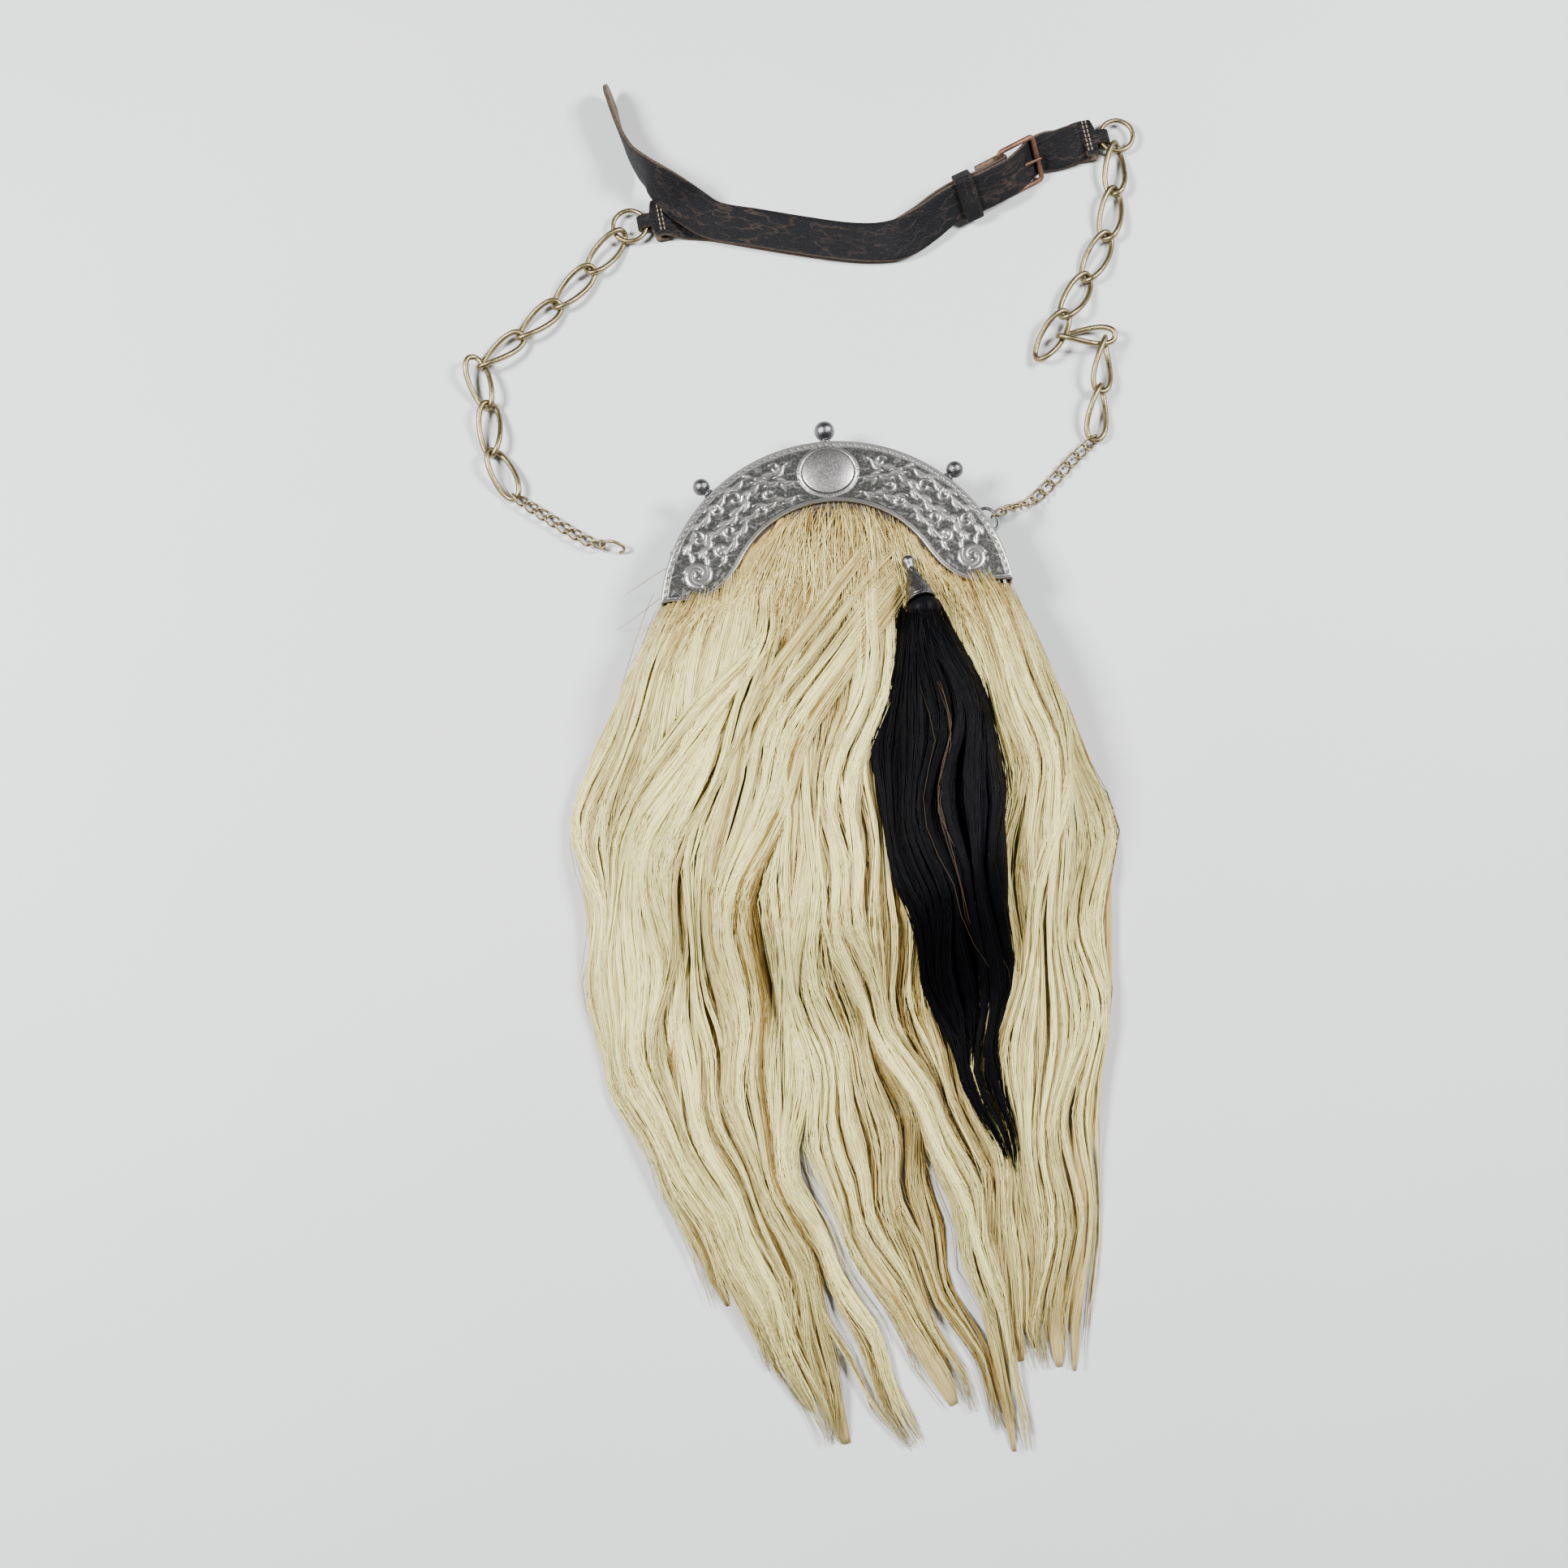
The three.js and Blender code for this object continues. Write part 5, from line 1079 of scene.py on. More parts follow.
        # Painted shade: strands off the wisp's crown and in lower tiers get deeper tones.
        low = 0.4 * (1 - crown[:, 0] / 1.4) - 0.2 * tier[:, 0]
        tones = row.tone + low + random.normal(0, 0.18, wisps)[owner] + random.normal(0, 0.3, wicks)[wick]
        tones = np.clip(tones + random.normal(0, 0.12, count), 0, 1)
        along = np.broadcast_to(share, (count, self.steps))
        root = rooted * np.clip(0.85 - along * 6.5, 0, 1) * random.uniform(0.2, 1, count)[:, None]
        root = root + rooted * 0.45 * np.clip(along - 0.8, 0, 1) * random.uniform(0, 2, count)[:, None]
        return self.tubes(path, tones, root)

    @staticmethod
    def _wave(x: Array, y: Array) -> Array:
        """Sideways shift that neighbours share: two sets of waves that run slantwise down the hair."""
        return 3.2 * np.sin(y / 17 + x / 23) + 1.9 * np.sin(y / 11 - x / 9 + 1.3)

    def tubes(self, path: Array, tones: Array, root: Array) -> Surface:
        """Thin three-sided closed tubes along many paths, thinner at both ends.

        Args:
            path: strands by steps by three.
            tones: one tone for each strand.
            root: how much root colour each point shows.

        Returns:
            One surface.
        """
        count, steps = path.shape[:2]
        along = unit(np.gradient(path, axis=1))
        side = unit(np.cross(along, [0.0, 0.0, 1.0]))
        over = np.cross(side, along)
        run = np.linspace(0, 1, steps)
        thick = self.radius * (0.55 + 0.45 * np.sin(math.pi * run) ** 0.35) * (1 - 0.55 * run**8)
        angle = np.array([math.pi / 2, math.pi * 7 / 6, math.pi * 11 / 6])
        ring = path[:, :, None] + thick[None, :, None, None] * (
            np.cos(angle)[None, None, :, None] * side[:, :, None]
            + np.sin(angle)[None, None, :, None] * over[:, :, None])
        one = grid_faces(steps, 3)
        first = (np.arange(count) * steps * 3)[:, None, None]
        quads = (one[None] + first).reshape(-1, 4)
        caps = np.array([[2, 1, 0], [(steps - 1) * 3, (steps - 1) * 3 + 1, (steps - 1) * 3 + 2]])
        ends = (caps[None] + first).reshape(-1, 3)
        values = {"tone": np.repeat(tones, steps * 3), "root": np.repeat(root.reshape(-1), 3),
                  "fibre": np.zeros(count * steps * 3)}
        return Surface(ring.reshape(-1, 3), [quads, ends], values).outward()


@dataclass
class Hair:
    """The cream hair: a hide, full locks under it all, and the strands that show."""

    under_steps: int = 60
    under_sides: int = 24
    under_scale: float = 0.86
    pile: int = 1900
    pile_depth: float = 44.0
    pile_length: tuple[float, float] = (24, 78)
    pile_steps: int = 9

    def build(self) -> HairBed:
        """Makes the hair's pieces.

        Returns:
            The bed of cream locks, which the tassel lies on.
        """
        bed = HairBed(LOCKS)
        locks = [self._lock(bed, lock, index) for index, lock in enumerate(LOCKS)]
        put(Surface.joined(locks), "hair_locks", CREAM_HAIR, Slot.CREAM, "hair_front")
        put(self._hide(), "hair_hide", BAG_LEATHER, Slot.BAG, "hair_front")
        groups = {"hair_left": LEFT_STREAMS, "hair_middle": MIDDLE_STREAMS, "hair_right": RIGHT_STREAMS,
                  "hair_top_locks": OVER_STREAMS}
        for seed, (name, streams) in enumerate(groups.items()):
            strands = Strands(bed, 11 + seed)
            put(strands.surface(streams), name, CREAM_HAIR, Slot.CREAM, "hair_front")
        put(self._short_pile(bed), "hair_under_arch", CREAM_HAIR, Slot.CREAM, "hair_front")
        return bed

    def _lock(self, bed: HairBed, lock: Lock, index: int) -> Surface:
        """One full lock, a little inside the strands that cover it and below the cantle's plate."""
        rings = lock_surface(lock, self.under_steps, self.under_sides, self.under_scale)
        held = bed.under_plate(rings[..., 0], rings[..., 1], rings[..., 2])
        rings[..., 2] = np.maximum(held, rings[..., 2].min(1, keepdims=True))
        return closed_lock(rings, 0.35 + 0.15 * ((index * 7) % 3 - 1))

    def _hide(self) -> Surface:
        """The skin that the hair grows from: the bag's outline with a rounded edge, filled flat."""
        rows = [(2.6, LAYOUT.hide_back_z), (1.9, LAYOUT.hide_back_z + 1.2),
                (2.2, LAYOUT.hide_top_z - 0.4), (2.9, LAYOUT.hide_top_z)]
        rings = [np.insert(LAYOUT.pouch_outline(inset + 1.0), 2, z, axis=1) for inset, z in rows]
        count = len(rings[0])
        last = (len(rings) - 1) * count
        faces = [grid_faces(len(rings), count), np.arange(count)[None, ::-1],
                 last + np.arange(count)[None, :]]
        points = np.concatenate(rings)
        surface = Surface(points, faces, {"face": np.ones(len(points))}, points[:, :2])
        return surface.outward()

    def _short_pile(self, bed: HairBed) -> Surface:
        """Short strands under the arch: rows of roots that fan downwards, each bent a little."""
        random = np.random.default_rng(31)
        count = self.pile
        turn = random.uniform(math.radians(6), math.radians(174), count)
        depth = random.random(count) ** 1.3 * self.pile_depth
        reach = LAYOUT.arch_radius + 2.5 - depth
        x = reach * np.cos(turn) * 1.04
        y = LAYOUT.arch_top_y - LAYOUT.arch_radius + reach * np.sin(turn)
        tuft = np.sin(x / 5.3 + y / 9.1) + np.sin(y / 6.7 - x / 8.3)
        lean = -math.pi / 2 + x / 95 + random.normal(0, 0.13, count) - 0.15 + 0.13 * tuft
        length = random.uniform(*self.pile_length, count)
        run = np.linspace(0, 1, self.pile_steps)[None, :]
        bend = random.normal(0, 0.2, count)[:, None] - 0.2 * (x / 50)[:, None]
        heading = lean[:, None] + bend * run
        step = (length / (self.pile_steps - 1))[:, None]
        flat_x = x[:, None] + np.cumsum(np.cos(heading) * step, 1) - np.cos(heading) * step
        flat_y = y[:, None] + np.cumsum(np.sin(heading) * step, 1) - np.sin(heading) * step
        lift = random.uniform(0.3, 2.6, count)[:, None] * np.sin(math.pi * run**0.8) + 0.6
        height = bed.at(flat_x, flat_y) + lift
        height = bed.under_plate(flat_x, flat_y, height)
        path = np.stack([flat_x, flat_y, height], -1)
        tones = np.clip(0.42 - 0.2 * tuft + random.normal(0, 0.25, count), 0, 1)
        root = np.clip(0.75 - run, 0, 1) * random.uniform(0, 1.2, count)[:, None]
        return Strands(bed, 0).tubes(path, tones, root)


def closed_lock(rings: Array, tone: float) -> Surface:
    """A lock's sections as a closed surface with a tone that streaks from corner to corner.

    Args:
        rings: sections by corners by three.
        tone: its tone.

    Returns:
        The surface.
    """
    steps, sides = rings.shape[:2]
    last = (steps - 1) * sides
    faces = [grid_faces(steps, sides), np.arange(sides)[None, ::-1], last + np.arange(sides)[None, :]]
    root = np.repeat(np.clip(0.8 - np.linspace(0, 1, steps) * 5, 0, 1), sides)
    middle = rings.mean(1)
    length = np.concatenate([[0], np.cumsum(np.linalg.norm(np.diff(middle, axis=0), axis=1))])
    width = np.linalg.norm(rings[:, 0] - rings[:, sides // 2], axis=-1).max()
    turn = 2 * math.pi * np.arange(sides) / sides
    across = np.cos(turn) * width / 2 + 90 * (np.sin(turn) < -0.01)
    uv = np.stack(np.broadcast_arrays(length[:, None], across[None, :]), -1).reshape(-1, 2)
    values = {"tone": np.full(len(root), tone), "root": root * 0.6, "fibre": np.ones(len(root))}
    return Surface(rings.reshape(-1, 3), faces, values, uv).outward()


@dataclass
class Tassel:
    """The black tassel and the metal cone over its head."""

    top: tuple[float, float] = (0.4, 0.074)
    end: tuple[float, float] = (0.458, 0.127)
    rest_z: float = 34.35
    length: float = 24.0
    mouth: float = 15.0
    knob: float = 6.4
    neck: float = 4.4

    def axis(self) -> tuple[Array, Array]:
        """Where the cone starts and which way it points."""
        spots = []
        for (across, down), size in ((self.top, self.knob), (self.end, self.mouth)):
            y = LAYOUT.arch_top_y - down * LAYOUT.hair_length
            spots.append(np.array([across * LAYOUT.half_width, y, self.rest_z + size / 2]))
        return spots[0], unit(spots[1] - spots[0])

    def build(self, bed: HairBed) -> None:
        """Makes the cone, the head, the locks and the strands.

        Args:
            bed: the cream hair that the tassel lies on.
        """
        put(self._cone(), "tassel_filigree_cone", DARK_SILVER, Slot.DARK_SILVER, "tassel_cone")
        locks = [closed_lock(lock_surface(lock, 36, 14, 0.93), 0.5) for lock in TASSEL_LOCKS]
        locks.append(self._head())
        put(Surface.joined(locks), "tassel_locks", BLACK_HAIR, Slot.BLACK, "tassel_hair")
        own = HairBed(TASSEL_LOCKS, bed, self._head().points)
        strands = Strands(own, 51, radius=0.34, steps=17, wisp=6)
        put(strands.surface(TASSEL_STREAMS, 0), "tassel_strands", BLACK_HAIR, Slot.BLACK, "tassel_hair")
        flecks = Strands(own, 52, radius=0.17, steps=12, wisp=3, loose=0.3, more=1.0)
        put(flecks.surface(TASSEL_FLECKS, 0), "tassel_brown_strands", BROWN_HAIR, Slot.BLACK,
            "tassel_hair")

    def _head(self) -> Surface:
        """The bound head of the tassel: a rounded barrel from the cone's cup to the locks."""
        base, axis = self.axis()
        wide = self.mouth / 2
        start = self.length - 4.4
        profile = finer([(0, start), (4.6, start + 0.2), (5.0, self.length + 0.6), (wide, self.length + 3),
                         (wide * 0.97, self.length + wide), (wide * 0.5, self.length + wide * 1.8),
                         (0, self.length + wide * 1.95)])
        surface = lathe(profile, 24, base, axis)
        count = len(surface.points)
        surface.values = {"tone": np.full(count, 0.6), "root": np.zeros(count),
                          "fibre": np.zeros(count)}
        surface.uv = surface.points[:, :2].copy()
        return surface

    def _cone(self) -> Surface:
        """The cone: a knob and a fluted bell, with a beaded mouth and a net of ridges.

        The bell's radius is the profile's plus a net: the product of two sets of spiral ridges.
        """
        base, axis = self.axis()
        knob, neck, mouth = self.knob / 2, self.neck / 2, self.mouth / 2
        profile = finer([(0, 0), (knob * 0.8, 0.7), (knob, 3.2), (neck, 6.4), (neck * 1.25, 10),
                         (mouth * 0.7, 17.3), (mouth - 0.7, 22.6), (mouth - 0.1, 23.3), (mouth, 23.9),
                         (mouth - 1.1, 24.0), (mouth - 1.9, 19.2), (0, 19.0)], 8)
        surface = lathe(profile, 60, base, axis)
        along = np.repeat(profile[:, 1], 60)
        outer = np.repeat(np.arange(len(profile)) < 64, 60)
        turn = np.tile(np.linspace(0, 2 * math.pi, 60, endpoint=False), len(profile))
        net = np.maximum(np.cos(6 * turn + along * 0.9), np.cos(6 * turn - along * 0.9))
        ridge = np.clip(net - 0.55, 0, 1) / 0.45 * 0.45 * outer * (along > 7.5) * (along < 22.4)
        centre = base + along[:, None] * axis
        surface.points = surface.points + unit(surface.points - centre) * (ridge - 0.2)[:, None]
        return surface


# Cantle


class Curl(NamedTuple):
    """A curl of the relief: degrees from the crown, share across the band, size, turn, sweep."""

    place: float
    across: float
    size: float
    turn: float
    sweep: float
    thick: float


CURLS = (
    Curl(72, 0.5, 6.0, 20, 235, 1.6),
    Curl(72, 0.5, 6.0, 140, 235, 1.6),
    Curl(72, 0.5, 6.0, 260, 235, 1.6),
    Curl(58.5, 0.7, 3.9, 60, 320, 1.15),
    Curl(58, 0.3, 3.7, 250, 320, 1.15),
    Curl(49, 0.36, 3.7, 230, 320, 1.05),
    Curl(46, 0.74, 3.0, 100, 320, 0.95),
    Curl(38, 0.66, 3.6, 40, 320, 1.05),
    Curl(33, 0.27, 2.8, 160, 320, 0.9),
    Curl(26, 0.42, 3.2, 200, 320, 0.95),
    Curl(19.5, 0.76, 2.6, 30, 320, 0.85),
)


class Stem(NamedTuple):
    """A stem of the relief: degrees from the crown and share across at even steps."""

    places: tuple[float, ...]
    across: tuple[float, ...]
    thick: float
    leaves: int


STEMS = (
    Stem((13, 20, 29, 38, 47, 56, 64), (0.42, 0.52, 0.64, 0.5, 0.48, 0.56, 0.5), 0.9, 15),
    Stem((15, 24, 33, 42, 51, 60), (0.2, 0.24, 0.3, 0.26, 0.22, 0.24), 0.7, 11),
    Stem((15, 23, 31, 40, 49, 58, 65), (0.76, 0.68, 0.82, 0.82, 0.8, 0.82, 0.74), 0.7, 13),
)


@dataclass
class Cantle:
    """The cast arch: height field of its relief over the plate, with the wall behind the edge."""

    rows: int = 560
    columns: int = 78
    relief_height: float = 0.8
    wall_depth: float = 13.0
    wall: float = 1.4
    medallion_half: tuple[float, float] = (12.5, 11.0)

    @property
    def medallion_y(self) -> float:
        """Middle of the medallion, half way across the band at the crown."""
        return (LAYOUT.arch_top_y + LAYOUT.foot_y + LAYOUT.cantle_height) / 2

    def build(self) -> None:
        """Makes the plate with its relief, the medallion, the finials and the side loops."""
        put(self._plate(), "cantle_cast", CAST_SILVER, Slot.CANTLE, "cantle")
        put(self._medallion(), "medallion_oval", POLISHED_SILVER, Slot.MEDALLION, "medallion")
        rows = (("finial_centre", 0.0, 10.0), ("finial_left", -42.0, 8.4), ("finial_right", 42.0, 8.4))
        for node, degrees, ball in rows:
            put(self._finial(degrees, ball), node + "_ball", DARK_SILVER, Slot.DARK_SILVER, node)
        for node in ("loop_left", "loop_right"):
            round_wire(node, node + "_wire", DARK_SILVER, Slot.DARK_SILVER)

    def _band(self, place: Array, across: Array) -> Array:
        """A point of the band from degrees from the crown and a share across it."""
        turn = math.pi / 2 - np.radians(place)
        inner = LAYOUT.arch_top_y - LAYOUT.outer_centre_y
        radius = inner + (LAYOUT.outer_radius - inner) * np.asarray(across)
        return np.stack([radius * np.cos(turn), LAYOUT.outer_centre_y + radius * np.sin(turn)], -1)

    def _strokes(self) -> list[tuple[Array, Array, float]]:
        """The relief's strokes on the right half: points, half widths along each, and height."""
        strokes = self._ground()
        for curl in CURLS:
            share = np.linspace(0, 1, 16)
            angle = np.radians(curl.turn + curl.sweep * share)
            radius = curl.size * (1 - 0.68 * share)
            way = np.stack([np.cos(angle), np.sin(angle)], -1)
            points = self._band(curl.place, curl.across) + way * radius[:, None]
            width = curl.thick * (0.45 + 0.75 * np.sin(math.pi * (0.15 + 0.8 * share)))
            strokes.append((points, width, 1.0))
        for stem in STEMS:
            knots = self._band(np.array(stem.places, float), np.array(stem.across))
            share = np.linspace(0, 1, 40)
            points = spline(knots, share)
            strokes.append((points, np.full(40, stem.thick), 0.85))
            at = np.linspace(0.04, 0.97, stem.leaves)
            roots, ahead = spline(knots, at), spline(knots, np.minimum(at + 0.01, 1))
            heading = np.arctan2(*(ahead - roots).T[::-1])
            for index, (root, angle) in enumerate(zip(roots, heading)):
                hand = 1 if index % 2 else -1
                strokes.append(self._leaf(root, angle + hand * 0.75, hand, 1.3, 0.9))
        return strokes

    def _ground(self) -> list[tuple[Array, Array, float]]:
        """Low small leaves all over the band, in rows that lean by turns, behind the scrolls."""
        random = np.random.default_rng(71)
        leaves = []
        for row, across in enumerate(np.linspace(0.1, 0.92, 8)):
            for place in np.arange(12.5, 84, 5.5) + (row % 2) * 2.7:
                spot = self._band(place + random.uniform(-0.5, 0.5), across + random.uniform(-0.02, 0.02))
                hand = 1 if random.random() < 0.5 else -1
                angle = -math.radians(place) + random.uniform(-0.9, 0.9) + math.pi * (row % 2)
                leaves.append(self._leaf(spot, angle, hand, random.uniform(0.6, 0.9), 0.22))
        return leaves

    @staticmethod
    def _leaf(root: Array, angle: float, hand: int, size: float,
              height: float) -> tuple[Array, Array, float]:
        """A short leaf that starts thin, swells and bends to a point."""
        share = np.linspace(0, 1, 6)
        turn = angle - hand * 0.9 * share
        step = np.stack([np.cos(turn), np.sin(turn)], -1) * size
        points = root + np.cumsum(step, 0) - step[0] * 0.5
        return points, np.array([0.5, 0.9, 1.15, 1.05, 0.7, 0.2]) * size * 0.8, height

    def relief(self, x: Array, y: Array, inner_gap: Array) -> Array:
        """Height of the relief over the plate, from 0 to 1 of the relief's height.

        Strokes are round ridges: the square root of 1 - (distance / half width)^2 for the nearest
        stroke. Rims and the rope are bands of the distance from the edges.

        Args:
            x: places across.
            y: places up.
            inner_gap: distance from the arch's edge.

        Returns:
            The height at each place.
        """
        side = np.abs(x)
        high = np.zeros_like(x)
        for points, width, tall in self._strokes():
            low, top = points.min(0) - 3, points.max(0) + 3
            near = (side > low[0]) & (side < top[0]) & (y > low[1]) & (y < top[1])
            place = np.stack([side[near], y[near]], -1)
            best = high[near]
            for index in range(len(points) - 1):
                start, span = points[index], points[index + 1] - points[index]
                along = np.clip((place - start) @ span / (span @ span), 0, 1)
                gap = np.linalg.norm(place - start - along[:, None] * span, axis=-1)
                half = width[index] + (width[index + 1] - width[index]) * along
                best = np.maximum(best, tall * np.sqrt(np.clip(1 - (gap / half) ** 2, 0, 1)))
            high[near] = best
        high = high * np.clip((inner_gap - 2.4) / 0.6, 0, 1)
        radius = np.hypot(x, y - LAYOUT.outer_centre_y)
        edge = LAYOUT.outer_radius - radius
        turn = np.arctan2(y - LAYOUT.outer_centre_y, x)
        high = high * np.clip((edge - 3.2) / 0.6, 0, 1)
        high = np.maximum(high, self._ridge(edge, 0.62, 0.62))
        rope = 0.5 + 0.5 * np.cos(turn * 150 + edge * 2.6)
        high = np.maximum(high, self._ridge(edge, 1.95, 0.6) * (0.25 + 0.5 * rope))
        high = np.maximum(high, 0.55 * self._ridge(edge, 2.95, 0.3))
        foot = y - LAYOUT.foot_y
        inside = np.minimum(inner_gap, foot)
        high = np.maximum(high, self._ridge(inside, 0.7, 0.7))
        high = np.maximum(high, 0.6 * self._ridge(inside, 1.9, 0.4))
        half_x, half_y = self.medallion_half
        oval = np.hypot(x / half_x, (y - self.medallion_y) / half_y)
        gap = (oval - 1) * (half_x + half_y) / 2
        high = np.where(gap < 2.2, 0.0, high)
        high = np.maximum(high, self._ridge(gap, 0.95, 0.6))
        high = np.maximum(high, 0.5 * self._ridge(gap, 1.95, 0.35))
        return high

    @staticmethod
    def _ridge(distance: Array, middle: float, half: float) -> Array:
        """A round ridge at a distance from an edge."""
        return np.sqrt(np.clip(1 - ((distance - middle) / half) ** 2, 0, 1))

    def _plate(self) -> Surface:
        """The closed section at each row: relief across the top, wall, back and inner edge."""
        share = np.linspace(0, 1, self.rows)
        corner = math.asin((LAYOUT.foot_y - LAYOUT.outer_centre_y) / LAYOUT.outer_radius)
        turn = corner + (math.pi - 2 * corner) * share
        way = np.stack([np.cos(turn), np.sin(turn)], -1)
        centre = np.array([0, LAYOUT.outer_centre_y])
        outer = way * LAYOUT.outer_radius + centre
        inner = LAYOUT.arch_edge(share)
        t = np.linspace(0, 1, self.columns)[None, :, None]
        top = inner[:, None] * (1 - t) + outer[:, None] * t
        x, y = top[..., 0], top[..., 1]
        line = LAYOUT.arch_edge(np.linspace(0, 1, 241))
        gap = np.full(x.shape, 1e3)
        for start, end in zip(line[:-1], line[1:]):
            span = end - start
            along = np.clip(((top - start) @ span) / (span @ span), 0, 1)
            gap = np.minimum(gap, np.linalg.norm(top - start - along[..., None] * span, axis=-1))
        high = self.relief(x, y, gap)
        edge = np.clip(np.minimum(t[..., 0], 1 - t[..., 0]) * 40, 0, 1)
        height = LAYOUT.plate_top_z + self.relief_height * high * edge
        rows = [np.concatenate([top, height[..., None]], -1)]
        values = [np.clip(high, 0, 1)]
        foot = LAYOUT.plate_back_z - self.wall_depth
        wall = [(0.0, LAYOUT.plate_top_z - 0.7, 0.7), (0.0, LAYOUT.plate_top_z - 3, 0.45),
                (0.0, foot + 2.2, 0.4), (-0.2, foot + 1.8, 0.2), (0.0, foot + 1.0, 0.8),
                (-0.2, foot, 0.6), (-self.wall + 0.2, foot, 0.4),
                (-self.wall, foot + 1, 0.2), (-self.wall, LAYOUT.plate_back_z, 0.1)]
        for out, z, shine in wall:
            ring = way * (LAYOUT.outer_radius + out) + centre
            rows.append(np.insert(ring, 2, z, axis=1)[:, None])
            values.append(np.full((self.rows, 1), shine))
        back = inner[:, None] * (1 - t[:, ::-1] * 0.97) + outer[:, None] * t[:, ::-1] * 0.97
        keep = np.linspace(1, self.columns - 1, 6).astype(int)
        level = np.full((self.rows, len(keep), 1), LAYOUT.plate_back_z)
        rows.append(np.concatenate([back[:, keep], level], -1))
        values.append(np.full((self.rows, len(keep)), 0.1))
        section = np.concatenate(rows, 1)
        columns = section.shape[1]
        last = (self.rows - 1) * columns
        faces = [grid_faces(self.rows, columns), np.arange(columns)[None, ::-1],
                 last + np.arange(columns)[None, :]]
        relief = np.concatenate(values, 1).reshape(-1)
        return Surface(section.reshape(-1, 3), faces, {"relief": relief}).outward()

    def _medallion(self) -> Surface:
        """A blank low dome: height rises as 1 - r^2.4 inside a rolled rim."""
        share = np.concatenate([np.linspace(0, 0.96, 22), [0.985, 1.0, 1.0, 0.97]])
        rise = np.concatenate([1.25 * (1 - np.linspace(0, 0.96, 22) ** 2.4) + 0.25, [0.3, 0.1, -0.0, -0.0]])
        angle = np.linspace(0, 2 * math.pi, 72, endpoint=False)
        ring = np.stack([np.cos(angle) * self.medallion_half[0], np.sin(angle) * self.medallion_half[1]], -1)
        flat = ring[None] * np.maximum(share, 1e-4)[:, None, None] + [0, self.medallion_y]
        level = np.broadcast_to(rise[:, None] + LAYOUT.plate_top_z + 0.3, flat.shape[:2])
        points = np.concatenate([flat, level[..., None]], -1)
        last = (len(share) - 1) * 72
        faces = [grid_faces(len(share), 72), np.arange(72)[None, ::-1], last + np.arange(72)[None, :]]
        relief = np.repeat(np.clip((1 - share) * 8, 0, 1), 72)
        return Surface(points.reshape(-1, 3), faces, {"relief": relief}).outward()

    def _finial(self, degrees: float, ball: float) -> Surface:
        """A ball on a collared stem, turned about the line out from the round edge."""
        angle = math.radians(degrees)
        way = np.array([math.sin(angle), math.cos(angle), 0.0])
        base = np.array([0, LAYOUT.outer_centre_y, LAYOUT.wall_middle_z])
        base = base + way * (LAYOUT.outer_radius + LAYOUT.gap)
        radius = ball / 2
        centre = 4.0 + radius * 0.8
        stem = np.array([(0, 0), (1.6, 0), (1.6, 1.3), (2.4, 1.6), (2.75, 2.1), (2.75, 2.6), (2.3, 3.0),
                         (1.4, 3.2)])
        turn = np.radians(np.linspace(-62, 90, 22))
        dome = np.stack([radius * np.cos(turn), centre + radius * np.sin(turn)], -1)
        return lathe(np.concatenate([stem, dome]), 36, base, way)


def round_wire(node: str, name: str, finish: Finish, slot: Slot, grow: float = 0.1) -> bpy.types.Object:
    """A smooth copy of a CAD wire: its points merged, moved out a little and subdivided.

    Args:
        node: the CAD node.
        name: the new piece's name.
        finish: its finish.
        slot: the slot, passed on to put.
        grow: how far the points move out, in millimetres, against the shrinking.

    Returns:
        The new object.
    """
    mesh = bpy.data.objects[node].data
    points = np.zeros(len(mesh.vertices) * 3)
    mesh.vertices.foreach_get("co", points)
    points = points.reshape(-1, 3) / MM
    keys, inverse = np.unique(points.round(3), axis=0, return_inverse=True)
    corners = np.zeros(len(mesh.loops), dtype=np.int32)
    mesh.loops.foreach_get("vertex_index", corners)
    faces = inverse.reshape(-1)[corners].reshape(-1, 3)
    faces = faces[(faces[:, 0] != faces[:, 1]) & (faces[:, 1] != faces[:, 2]) & (faces[:, 2] != faces[:, 0])]
    normal = np.zeros_like(keys)
    flat = np.cross(keys[faces[:, 1]] - keys[faces[:, 0]], keys[faces[:, 2]] - keys[faces[:, 0]])
    for corner in range(3):
        np.add.at(normal, faces[:, corner], flat)
    surface = Surface(keys + unit(normal) * grow, [faces], {})
    thing = put(surface, name, finish, slot, node)
    smooth = thing.modifiers.new("smooth", "SUBSURF")
    smooth.levels = smooth.render_levels = 2
    return thing


# Chains


class LinkKind(Enum):
    """Length, width, wire and twist of a kind of link, and its steps and sides."""

    LARGE = (31.0, 13.5, 2.8, 40.0, 56, 12)
    FINE = (9.4, 6.8, 1.3, 42.0, 36, 8)


def link_points(kind: LinkKind) -> Surface:
    """A twisted link about the origin, its length along X.

    The middle line is a blunt oval, x = a sgn(c)|c|^0.8 and y = b sgn(s)|s|^0.8, whose width is
    turned about X by the twist times x over the half length.

    Args:
        kind: which link.

    Returns:
        Its surface.
    """
    length, width, wire, twist, steps, sides = kind.value
    angle = np.linspace(0, 2 * math.pi, steps, endpoint=False)
    cos, sin = np.cos(angle), np.sin(angle)
    half = (length - wire) / 2
    along = half * np.sign(cos) * np.abs(cos) ** 0.8
    across = (width - wire) / 2 * np.sign(sin) * np.abs(sin) ** 0.8
    turn = math.radians(twist) * along / half
    path = np.stack([along, across * np.cos(turn), across * np.sin(turn)], -1)
    return tube(path, wire / 2, sides, True)


